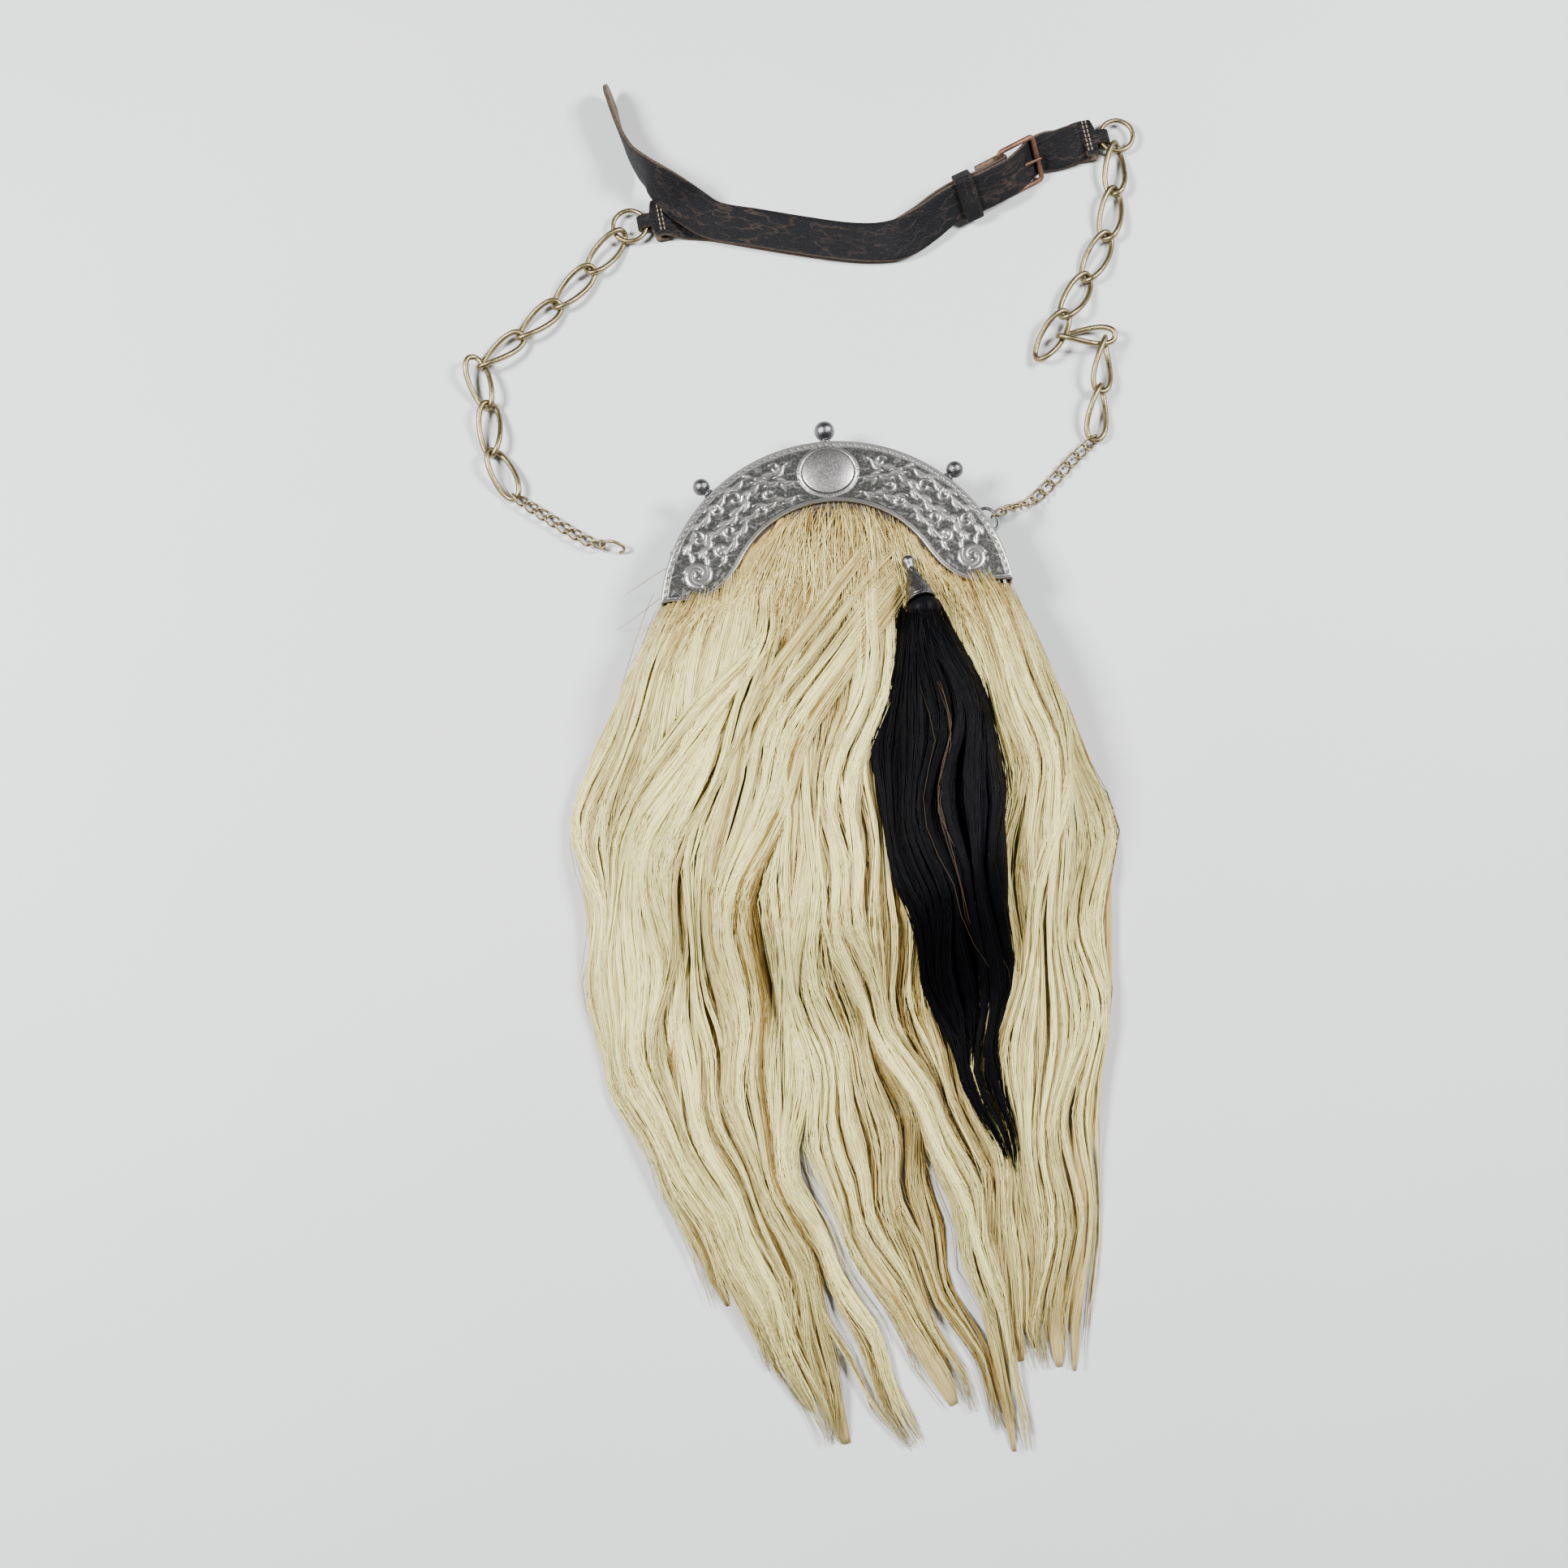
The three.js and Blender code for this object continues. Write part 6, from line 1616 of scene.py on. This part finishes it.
def node_frame(node: str) -> tuple[Array, Array]:
    """Middle and axes of a CAD link, longest axis first, from the spread of its points.

    Args:
        node: the link's node.

    Returns:
        The middle in millimetres, and the three axes as rows, right-handed.
    """
    mesh = bpy.data.objects[node].data
    points = np.zeros(len(mesh.vertices) * 3)
    mesh.vertices.foreach_get("co", points)
    points = np.unique((points.reshape(-1, 3) / MM).round(3), axis=0)
    middle = points.mean(0)
    axes = np.linalg.eigh(np.cov((points - middle).T))[1].T[::-1]
    return middle, np.stack([axes[0], axes[1], np.cross(axes[0], axes[1])])


@dataclass
class Chains:
    """Every link as smooth wire where the CAD's lies, and the two strap rings."""

    ring_radius: float = 8.5
    ring_wire: float = 2.4

    def build(self, names: list[str]) -> None:
        """Makes the links, the rings and the hook.

        Args:
            names: the CAD nodes.
        """
        for node in names:
            if "link" not in node:
                continue
            kind = LinkKind.FINE if node.startswith("fine") else LinkKind.LARGE
            middle, axes = node_frame(node)
            link = link_points(kind)
            link.points = link.points @ axes + middle
            put(link, node + "_wire", CHAIN_METAL, Slot.CHAIN, node)
        for node in ("ring_right", "ring_left"):
            low, high = (np.array(corner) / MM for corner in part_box(node))
            centre = (low + high) / 2
            angle = np.linspace(0, 2 * math.pi, 72, endpoint=False)
            path = centre + self.ring_radius * np.stack([np.cos(angle), np.sin(angle), 0 * angle], -1)
            put(tube(path, self.ring_wire / 2, 16, True), node + "_wire", CHAIN_METAL, Slot.CHAIN, node)
        round_wire("end_hook", "end_hook_wire", CHAIN_METAL, Slot.CHAIN)


# Straps


class Stop(NamedTuple):
    """A stop of a strap's route, in shares of the belt's span, degrees and strap thicknesses."""

    along: float
    aside: float
    roll: float
    lift: float
    half: float = 1.0


TAIL = (Stop(0.007, 0.3035, 103, 0, 0.12), Stop(0.01, 0.27, 101, 0), Stop(0.0175, 0.194, 96, 0),
        Stop(0.034, 0.125, 88, 1), Stop(0.055, 0.075, 72, 4.4), Stop(0.085, 0.038, 46, 4.8),
        Stop(0.125, 0.006, 18, 3.2))
NEAR = (Stop(0.115, -0.006, 2, 0),)
SHARED = (Stop(0.17, -0.022, 6, 0), Stop(0.25, -0.054, 5, 0), Stop(0.337, -0.088, 4, 0),
          Stop(0.415, -0.116, 3, 0), Stop(0.475, -0.132, 8, 0), Stop(0.525, -0.136, 24, 0.1),
          Stop(0.575, -0.12, 42, 0.6), Stop(0.635, -0.0914, 52, 1.3))
FAR = (Stop(0.87, -0.0165, 44, 0.8), Stop(0.915, -0.006, 22, 1.1))


class Station(NamedTuple):
    """A section of a strap: its middle, the grain side's direction and its half width."""

    centre: Array
    normal: Array
    half: float


@dataclass
class Belt:
    """Both straps, their stitches, the keeper and the buckle, on the routes of the part."""

    span: float = 254.0
    width: float = 20.0
    thick: float = 2.0
    tongue: float = 7.0
    ring_return: float = 9.0
    fold_return: float = 13.0
    buckle_length: float = 22.0
    bar: float = 2.6
    clearance: float = 0.7
    prong: float = 1.7
    keeper_width: float = 9.0
    keeper_wall: float = 1.4
    ring_outer: float = 19.4
    ring_wire: float = 2.4
    heading: float = 17.7
    roll: float = 52.0
    buckle_along: float = 0.79
    buckle_aside: float = -0.042

    def __post_init__(self) -> None:
        """Reads the two rings' middles and sets the belt's and the buckle's directions."""
        rings = {}
        for node in ("ring_left", "ring_right"):
            low, high = (np.array(corner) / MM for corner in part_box(node))
            rings[node] = (low + high) / 2
        self.left, self.right = rings["ring_left"], rings["ring_right"]
        self.up = np.array([0.0, 0.0, 1.0])
        self.forward = unit((self.right - self.left) * [1, 1, 0])
        self.side = np.cross(self.up, self.forward)
        turn, roll = math.radians(self.heading), math.radians(self.roll)
        self.b_forward = self.forward * math.cos(turn) + self.side * math.sin(turn)
        level = np.cross(self.up, self.b_forward)
        self.b_across = level * math.cos(roll) + self.up * math.sin(roll)
        self.b_normal = np.cross(self.b_forward, self.b_across)
        self.half_across = self.width / 2 + self.clearance + self.bar
        centre = self._point(self.buckle_along, self.buckle_aside)
        self.b_centre = centre + self.up * (self.half_across * math.sin(roll) + self.bar / 2)
        self.bar_reach = (self.buckle_length - self.bar) / 2
        self.layer = self.thick + 3 * LAYOUT.gap
        self.bar_fold = (self.bar + self.thick) / 2 + LAYOUT.gap
        self.eye = (self.bar + self.prong) / 2 + LAYOUT.gap

    def _point(self, along: float, aside: float) -> Array:
        """A point of the belt on the table from shares of the span."""
        base = self.left * [1, 1, 0]
        return base + self.forward * along * self.span + self.side * aside * self.span

    def _route(self, stops: tuple[Stop, ...], layer: float) -> list[Station]:
        """Stations along a route, lifted by a layer along the grain side's direction."""
        flat = [self._point(stop.along, stop.aside) for stop in stops]
        stations = []
        for index, stop in enumerate(stops):
            ahead = flat[min(index + 1, len(flat) - 1)] - flat[max(index - 1, 0)]
            heading = unit(ahead) if np.linalg.norm(ahead) > 0 else self.forward
            roll = math.radians(stop.roll)
            level = np.cross(self.up, heading)
            normal = self.up * math.cos(roll) - level * math.sin(roll)
            if np.linalg.norm(ahead) == 0:
                normal = self.up
            rest = (self.width * abs(math.sin(roll)) + self.thick * abs(math.cos(roll))) / 2
            centre = flat[index] + self.up * (rest + stop.lift * self.thick) + normal * layer
            stations.append(Station(centre, normal, stop.half * self.width / 2))
        return stations

    def _fold(self, pivot: Array, out: Array, normal: Array, radius: float, near: float,
              shoulder: float, reach: float) -> list[Station]:
        """Stations round a bar: in along the grain side, half a circle, and back behind."""
        full = self.width / 2

        def at(away: float, face: float, half: float) -> Station:
            """A station beside the bar."""
            return Station(pivot + out * away + normal * face * radius, normal * face, half)

        turn = np.linspace(math.pi / 2, -math.pi / 2, 9)
        ways = [-out * math.cos(angle) + normal * math.sin(angle) for angle in turn]
        return [at(reach, 1, full), at(shoulder + 2, 1, full), at(shoulder, 1, near),
                *[Station(pivot + way * radius, way, near) for way in ways],
                at(shoulder, -1, near), at(shoulder + 2, -1, full), at(reach, -1, full)]

    def _ring_fold(self, ring: Array, out: Array) -> list[Station]:
        """The tongue of a strap through its ring."""
        radius = (self.ring_outer - self.ring_wire) / 2
        hole = (radius - self.ring_wire / 2) * math.cos(math.pi / 16)
        inside = math.sqrt(hole**2 - (self.tongue / 2) ** 2) + self.ring_wire / 2
        return self._fold(ring + out * inside, out, self.up, (self.ring_wire + self.thick) / 2 + 0.3,
                          self.tongue / 2, self.ring_outer / 2 - inside + 1,
                          self.ring_outer / 2 - inside + self.ring_return)

    def _through(self) -> list[Station]:
        """The long strap over the left bar, down through the frame and under the right bar."""
        bar, over = self.bar_reach, self.bar_fold + self.layer
        rows = [(-bar - self.fold_return, over), (-bar, over), (-bar * 0.62, over * 0.88),
                (0, (over - self.bar_fold) * 0.68), (bar * 0.55, -self.bar_fold * 0.4),
                (bar * 0.82, -self.bar_fold * 0.92), (bar, -self.bar_fold),
                (bar + self.bar * 2, -self.bar_fold)]
        middles = np.array([self.b_centre + self.b_forward * at + self.b_normal * level
                            for at, level in rows])
        ahead = unit(np.gradient(middles, axis=0))
        normals = np.cross(ahead, self.b_across)
        return [Station(c, n, self.width / 2) for c, n in zip(middles, normals)]

    def _strip(self, stations: list[Station], steps: int = 7) -> Surface:
        """A flat strip with rounded edges and a faint crown, carried through the stations.

        Args:
            stations: its sections.
            steps: finer sections between two stations.

        Returns:
            A closed surface with its map in millimetres along and across.
        """
        centres = np.array([s.centre for s in stations])
        rest = np.array([[*s.normal, s.half] for s in stations])
        share = np.linspace(0, 1, (len(stations) - 1) * steps + 1)
        path = spline(centres, share)
        index = share * (len(stations) - 1)
        between = np.stack([np.interp(index, np.arange(len(stations)), rest[:, k]) for k in range(4)], -1)
        heading = unit(np.gradient(path, axis=0))
        normal = unit(between[:, :3] - (between[:, :3] * heading).sum(-1, keepdims=True) * heading)
        across = np.cross(normal, heading)
        u = np.concatenate([np.linspace(-0.95, 0.95, 9), [1, 1], np.linspace(0.95, -0.95, 9), [-1, -1]])
        v = np.concatenate([np.full(9, 1.0), [0.5, -0.5], np.full(9, -1.0), [-0.5, 0.5]])
        v = v * (1 + 0.05 * (1 - u**2) * (v > 0))
        half = between[:, 3][:, None]
        points = (path[:, None] + across[:, None] * (u * half)[..., None]
                  + normal[:, None] * (v * self.thick / 2)[None, :, None])
        sections, sides = points.shape[:2]
        last = (sections - 1) * sides
        faces = [grid_faces(sections, sides), np.arange(sides)[None, ::-1],
                 last + np.arange(sides)[None, :]]
        length = np.concatenate([[0], np.cumsum(np.linalg.norm(np.diff(path, axis=0), axis=1))])
        uv = np.stack(np.broadcast_arrays(length[:, None], u * half + 30 * (v < 0)), -1)
        face = np.tile(np.where(np.abs(u) == 1, 0.45, (v > -0.6).astype(float)), sections)
        return Surface(points.reshape(-1, 3), faces, {"face": face}, uv.reshape(-1, 2)).outward()

    def _lower(self) -> list[Station]:
        """Stations of the strap that carries the buckle."""
        ring = self._ring_fold(self.left, self.forward)[::-1]
        pivot = self.b_centre - self.b_forward * self.bar_reach
        bar = self._fold(pivot, -self.b_forward, self.b_normal, self.bar_fold, self.width / 2, self.bar,
                         self.fold_return)
        return [*ring, *self._route(NEAR + SHARED, 0), *bar]

    def _upper(self) -> list[Station]:
        """Stations of the long strap, from its free tip to the right ring."""
        return [*self._route(TAIL, 0), *self._route(SHARED, self.layer), *self._through(),
                *self._route(FAR, 0), *self._ring_fold(self.right, -self.forward)]

    def build(self) -> None:
        """Makes the straps, stitches, keeper, buckle and prong."""
        lower, upper = self._lower(), self._upper()
        put(self._strip(lower), "buckle_strap_leather", STRAP_LEATHER, Slot.STRAP, "buckle_strap")
        put(self._strip(upper), "long_strap_leather", STRAP_LEATHER, Slot.STRAP, "long_strap")
        put(self._keeper(), "strap_keeper_leather", STRAP_LEATHER, Slot.STRAP, "strap_keeper")
        put(self._frame(), "buckle_frame_cast", BRONZE, Slot.BRONZE, "buckle_frame")
        put(self._prong(), "buckle_prong_wire", BRONZE, Slot.BRONZE, "buckle_prong")
        put(self._stitches(lower, upper), "strap_stitches", THREAD, Slot.STRAP)

    def _frame(self) -> Surface:
        """The buckle's frame: a round bar along a rectangle with round corners."""
        half_x, half_y, corner = self.bar_reach, self.half_across - self.bar / 2, self.bar * 0.75
        path = []
        for quarter, (x, y) in enumerate(((1, -1), (1, 1), (-1, 1), (-1, -1))):
            angle = np.radians(np.linspace(-90, 0, 8) + quarter * 90)
            flat = np.array([x * (half_x - corner), y * (half_y - corner)])
            path.append(flat + corner * np.stack([np.cos(angle), np.sin(angle)], -1))
        ring = np.concatenate(path)
        ahead = np.roll(ring, -1, 0)
        filled = np.concatenate([ring[:, None], (ring + (ahead - ring) / 3)[:, None],
                                 (ring + (ahead - ring) * 2 / 3)[:, None]], 1).reshape(-1, 2)
        points = self.b_centre + filled[:, :1] * self.b_forward + filled[:, 1:] * self.b_across
        return tube(points, self.bar / 2, 14, True)

    def _prong(self) -> Surface:
        """The prong: an eye round the left bar and a tapering pin to the right bar."""
        angle = np.linspace(0, 2 * math.pi, 40, endpoint=False)
        around = np.cos(angle)[:, None] * self.b_forward + np.sin(angle)[:, None] * self.b_normal
        eye = self.b_centre - self.b_forward * self.bar_reach + self.eye * around
        start = self.b_forward * (-self.bar_reach + self.eye) + self.b_normal * self.prong / 4
        end = self.b_forward * (self.bar_reach + self.bar / 2) + self.b_normal * self.eye
        run = np.linspace(0, 1, 14)[:, None]
        pin = self.b_centre + start + (end - start) * run
        lean = np.broadcast_to(self.b_normal, pin.shape)
        size = self.prong / 2 * (1 - 0.35 * run[:, 0] ** 3)
        return Surface.joined([tube(eye, self.prong / 2, 10, True), tube(pin, size, 10, False, lean)])

    def _keeper(self) -> Surface:
        """The leather loop round both straps: a flat section carried round an oblong."""
        lower = self._route(SHARED, 0)[-1]
        end = (self.b_centre - self.b_forward * (self.bar_reach + self.fold_return)
               + self.b_normal * self.bar_fold)
        heading = unit(end - lower.centre)
        across = unit(np.cross(lower.normal, heading))
        normal = np.cross(heading, across)
        middle = (lower.centre + end) / 2 + normal * self.layer / 2
        wall = self.keeper_wall / 2
        half_x = self.width / 2 + 0.9 + wall
        half_y = self.layer / 2 + self.thick / 2 + 0.6 + wall
        angle = np.linspace(0, 2 * math.pi, 96, endpoint=False)
        cos, sin = np.cos(angle), np.sin(angle)
        size = (np.abs(cos / half_x) ** 14 + np.abs(sin / half_y) ** 14) ** (-1 / 14)
        flat = np.stack([cos * size, sin * size], -1)
        ahead = unit(np.roll(flat, -1, 0) - np.roll(flat, 1, 0))
        out = np.stack([ahead[:, 1], -ahead[:, 0]], -1)
        u = np.array([-0.5, -0.5, -0.44, -0.2, 0.2, 0.44, 0.5, 0.5, 0.44, 0.2, -0.2, -0.44])
        v = np.array([-0.6, 0.6, 1, 1.05, 1.05, 1, 0.6, -0.6, -1, -1, -1, -1])
        ring = flat[:, None] + out[:, None] * (v * wall)[None, :, None]
        points = (middle + ring[..., :1] * across + ring[..., 1:] * normal
                  + (u * self.keeper_width)[None, :, None] * heading)
        around = np.arange(96) * 0.7
        uv = np.stack(np.broadcast_arrays(around[:, None], (u * self.keeper_width)[None]), -1)
        face = np.tile((v > 0).astype(float), 96)
        return Surface(points.reshape(-1, 3), [grid_faces(96, 12, wrap_rows=True)], {"face": face},
                       uv.reshape(-1, 2)).outward()

    def _stitches(self, lower: list[Station], upper: list[Station]) -> Surface:
        """Short round stitches in two rows across each strap's fold at its ring."""
        stitches = []
        for stations, index, toward in ((lower, 0, 1), (upper, -1, -1)):
            end = stations[index]
            for away in (1.6, 3.4):
                heading = self.forward * -toward
                for offset in np.linspace(-7.5, 7.5, 7):
                    across = np.cross(end.normal, heading)
                    centre = end.centre + heading * away + across * offset
                    centre = centre - end.normal * (2 * self.layer + self.ring_wire + 0.15)
                    stitches.append(self._stitch(centre, unit(across), -end.normal, 1.9))
        return Surface.joined(stitches)

    def _stitch(self, centre: Array, along: Array, normal: Array, length: float) -> Surface:
        """One stitch: a short thread that dips into the leather at both ends."""
        run = np.linspace(-1, 1, 7)[:, None]
        path = centre + along * run * length / 2 - normal * 0.35 * run**4
        size = 0.32 * (1 - 0.5 * run[:, 0] ** 6)
        return tube(path, size, 6, False, np.broadcast_to(normal, path.shape))


# Bag


@dataclass
class Bag:
    """The leather bag behind the hair, and the flap over its mouth."""

    back_z: float = 2.3
    depth: float = 22.0
    edge: float = 7.0
    wall: float = 2.0
    mouth: tuple[float, float] = (48.0, 14.0)
    mouth_y: float = 40.0
    flap_half: float = 58.0
    flap_top: float = 84.0
    flap_height: float = 104.0
    flap_thick: float = 2.0

    def build(self) -> None:
        """Makes the bag, its piping and the flap."""
        put(self._shell(), "bag_shell", BAG_LEATHER, Slot.BAG, "pouch_body")
        put(self._piping(), "bag_piping", BAG_LEATHER, Slot.BAG, "pouch_body")
        put(self._flap(), "bag_flap", BAG_LEATHER, Slot.BAG, "back_flap")

    def _ring(self, inset: float, z: float) -> Array:
        """The bag's outline at an inset and a height."""
        return np.insert(LAYOUT.pouch_outline(inset), 2, z, axis=1)

    def _skin(self, wall: float) -> list[Array]:
        """Rings of one skin from the middle of the front, over the round edges, to the back."""
        low, high = self.back_z + wall, self.back_z + self.depth - wall
        edge = self.edge - wall
        turn = np.radians(np.linspace(90, 0, 6))
        rings = [self._ring(40, high), self._ring(self.edge + 4, high)]
        rings += [self._ring(wall + edge * (1 - math.cos(a)), high - edge * (1 - math.sin(a)))
                  for a in turn]
        rings += [self._ring(wall + edge * (1 - math.cos(a)), low + edge * (1 - math.sin(a)))
                  for a in turn[::-1]]
        return rings

    def _slit(self, count: int, z: float) -> Array:
        """The mouth's outline, a blunt oblong, with its points in line with the bag's outline."""
        outline = LAYOUT.pouch_outline(self.edge)
        angle = np.arctan2(outline[:, 1] - self.mouth_y, outline[:, 0])
        cos, sin = np.cos(angle), np.sin(angle)
        size = (np.abs(cos / self.mouth[0]) ** 10 + np.abs(sin / self.mouth[1]) ** 10) ** (-0.1)
        return np.stack([cos * size, self.mouth_y + sin * size, np.full(count, z)], -1)

    def _shell(self) -> Surface:
        """Outer skin, through the mouth's edge, and the inner skin, as one closed surface."""
        outer, inner = self._skin(0.0), self._skin(self.wall)
        count = len(outer[0])
        middle = [self._slit(count, self.back_z), self._slit(count, self.back_z + self.wall)]
        rings = np.array([*outer, *middle, *inner[::-1]])
        last = (len(rings) - 1) * count
        faces = [grid_faces(len(rings), count), np.arange(count)[None, ::-1],
                 last + np.arange(count)[None, :]]
        points = rings.reshape(-1, 3)
        spread = np.arange(len(rings)) * 3.1
        uv = points[:, :2] + np.repeat(spread, count)[:, None]
        return Surface(points, faces, {"face": np.ones(len(points))}, uv).outward()

    def _piping(self) -> Surface:
        """A welt round the bag's side, half way up its depth: a thin cord of leather."""
        path = self._ring(-0.1, self.back_z + self.edge + 1.5)
        lean = unit(path - path.mean(0)) * [1, 1, 0]
        surface = tube(path, 0.9, 8, True, lean)
        around = np.repeat(np.arange(len(path)) * 4.0, 8)
        surface.values = {"face": np.ones(len(surface.points))}
        surface.uv = np.stack([around, np.tile(np.arange(8) * 0.7, len(path))], -1)
        return surface

    def _flap(self) -> Surface:
        """The flap: a shield outline with a rounded edge, filled flat."""
        half, top = self.flap_half, self.flap_top
        bottom = top - self.flap_height
        corner = half * 0.8
        t = np.linspace(0, 1, 14)[:, None]
        start, knee, end = np.array([[half, bottom + corner], [half, bottom], [half * 0.2, bottom]])
        curve = start * (1 - t) ** 2 + 2 * knee * t * (1 - t) + end * t**2
        right = np.concatenate([[[half * 0.72, top], [half * 0.98, top - half * 0.46],
                                 [half, top - half * 0.52]], curve])
        outline = np.concatenate([right, (right * [-1, 1])[::-1]])[::-1]
        ahead = unit(np.roll(outline, -1, 0) - np.roll(outline, 1, 0))
        inward = np.stack([-ahead[:, 1], ahead[:, 0]], -1)
        rows = [(30.0, self.flap_thick), (4.0, self.flap_thick), (3.4, self.flap_thick - 0.25),
                (2.8, self.flap_thick), (0.7, self.flap_thick), (0.0, self.flap_thick - 0.6),
                (0.0, 0.6), (0.7, 0.0), (2.8, 0.0), (3.4, 0.25), (4.0, 0.0), (30.0, 0.0)]
        rings = np.array([np.insert(outline + inward * inset, 2, z, axis=1) for inset, z in rows])
        count = len(outline)
        last = (len(rows) - 1) * count
        faces = [grid_faces(len(rows), count), np.arange(count)[None, ::-1],
                 last + np.arange(count)[None, :]]
        points = rings.reshape(-1, 3)
        return Surface(points, faces, {"face": np.ones(len(points))}, points[:, :2].copy()).outward()


# Studio


@dataclass
class Studio:
    """The sheet, the lights and the camera."""

    lens: float = 45.0
    sensor: float = 36.0
    elevation: float = 78.0
    roll: float = 4.0
    place: tuple[float, float, float] = (-31.631, -226.431, 922.393)
    floor_half: float = 1600.0
    light_size: float = 360.0
    left_power: float = 44.0
    right_power: float = 38.0
    sky_colour: tuple[float, ...] = (0.95, 0.975, 1.0, 1)
    sky_strength: float = 0.11

    def build(self) -> None:
        """Makes the floor, the two soft lights, the sky and the camera."""
        edge = self.floor_half
        flat = np.array([[-edge, -edge, 0], [edge, -edge, 0], [edge, edge, 0], [-edge, edge, 0]], float)
        floor = Surface(flat, [np.array([[0, 1, 2, 3]])], {}).to_object("sheet", PALE_SHEET.material())
        self._light("light_left", (-900, 160, 1050), self.left_power)
        self._light("light_right", (900, 260, 1050), self.right_power)
        world = bpy.data.worlds.new("studio")
        world.use_nodes = True
        sky = world.node_tree.nodes["Background"]
        sky.inputs[0].default_value = self.sky_colour
        sky.inputs[1].default_value = self.sky_strength
        bpy.context.scene.world = world
        self._camera()

    def _light(self, name: str, place: tuple[float, float, float], power: float) -> None:
        """A square soft light that looks at the object's middle."""
        data = bpy.data.lights.new(name, "AREA")
        data.size, data.energy = self.light_size * MM, power
        light = bpy.data.objects.new(name, data)
        light.location = [value * MM for value in place]
        back = unit(np.array(place))
        right = unit(np.cross([0, 1, 0], back))
        light.rotation_mode = "QUATERNION"
        light.rotation_quaternion = rotation(right, np.cross(back, right), back)
        bpy.context.scene.collection.objects.link(light)

    def _camera(self) -> None:
        """The camera, nearly straight above, with a small roll."""
        lift, roll = math.radians(self.elevation), math.radians(self.roll)
        back = np.array([0.0, -math.cos(lift), math.sin(lift)])
        right, up = np.array([1.0, 0, 0]), np.cross(back, [1.0, 0, 0])
        data = bpy.data.cameras.new("camera")
        data.lens, data.sensor_width = self.lens, self.sensor
        camera = bpy.data.objects.new("camera", data)
        camera.location = [value * MM for value in self.place]
        camera.rotation_mode = "QUATERNION"
        camera.rotation_quaternion = rotation(right * math.cos(roll) - up * math.sin(roll),
                                              right * math.sin(roll) + up * math.cos(roll), back)
        bpy.context.scene.collection.objects.link(camera)
        bpy.context.scene.camera = camera


def rotation(right: Array, up: Array, back: Array) -> Any:
    """The quaternion that turns the world's axes to three given ones."""
    return Matrix(np.stack([right, up, back], -1).tolist()).to_quaternion()


def main() -> None:
    """Builds every sub-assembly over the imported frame."""
    logging.basicConfig(level=logging.INFO, format="%(message)s")
    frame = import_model()
    Studio().build()
    bed = Hair().build()
    Tassel().build(bed)
    Cantle().build()
    Chains().build(sorted(frame["nodes"]))
    Belt().build()
    Bag().build()


if __name__ == "__main__":
    main()
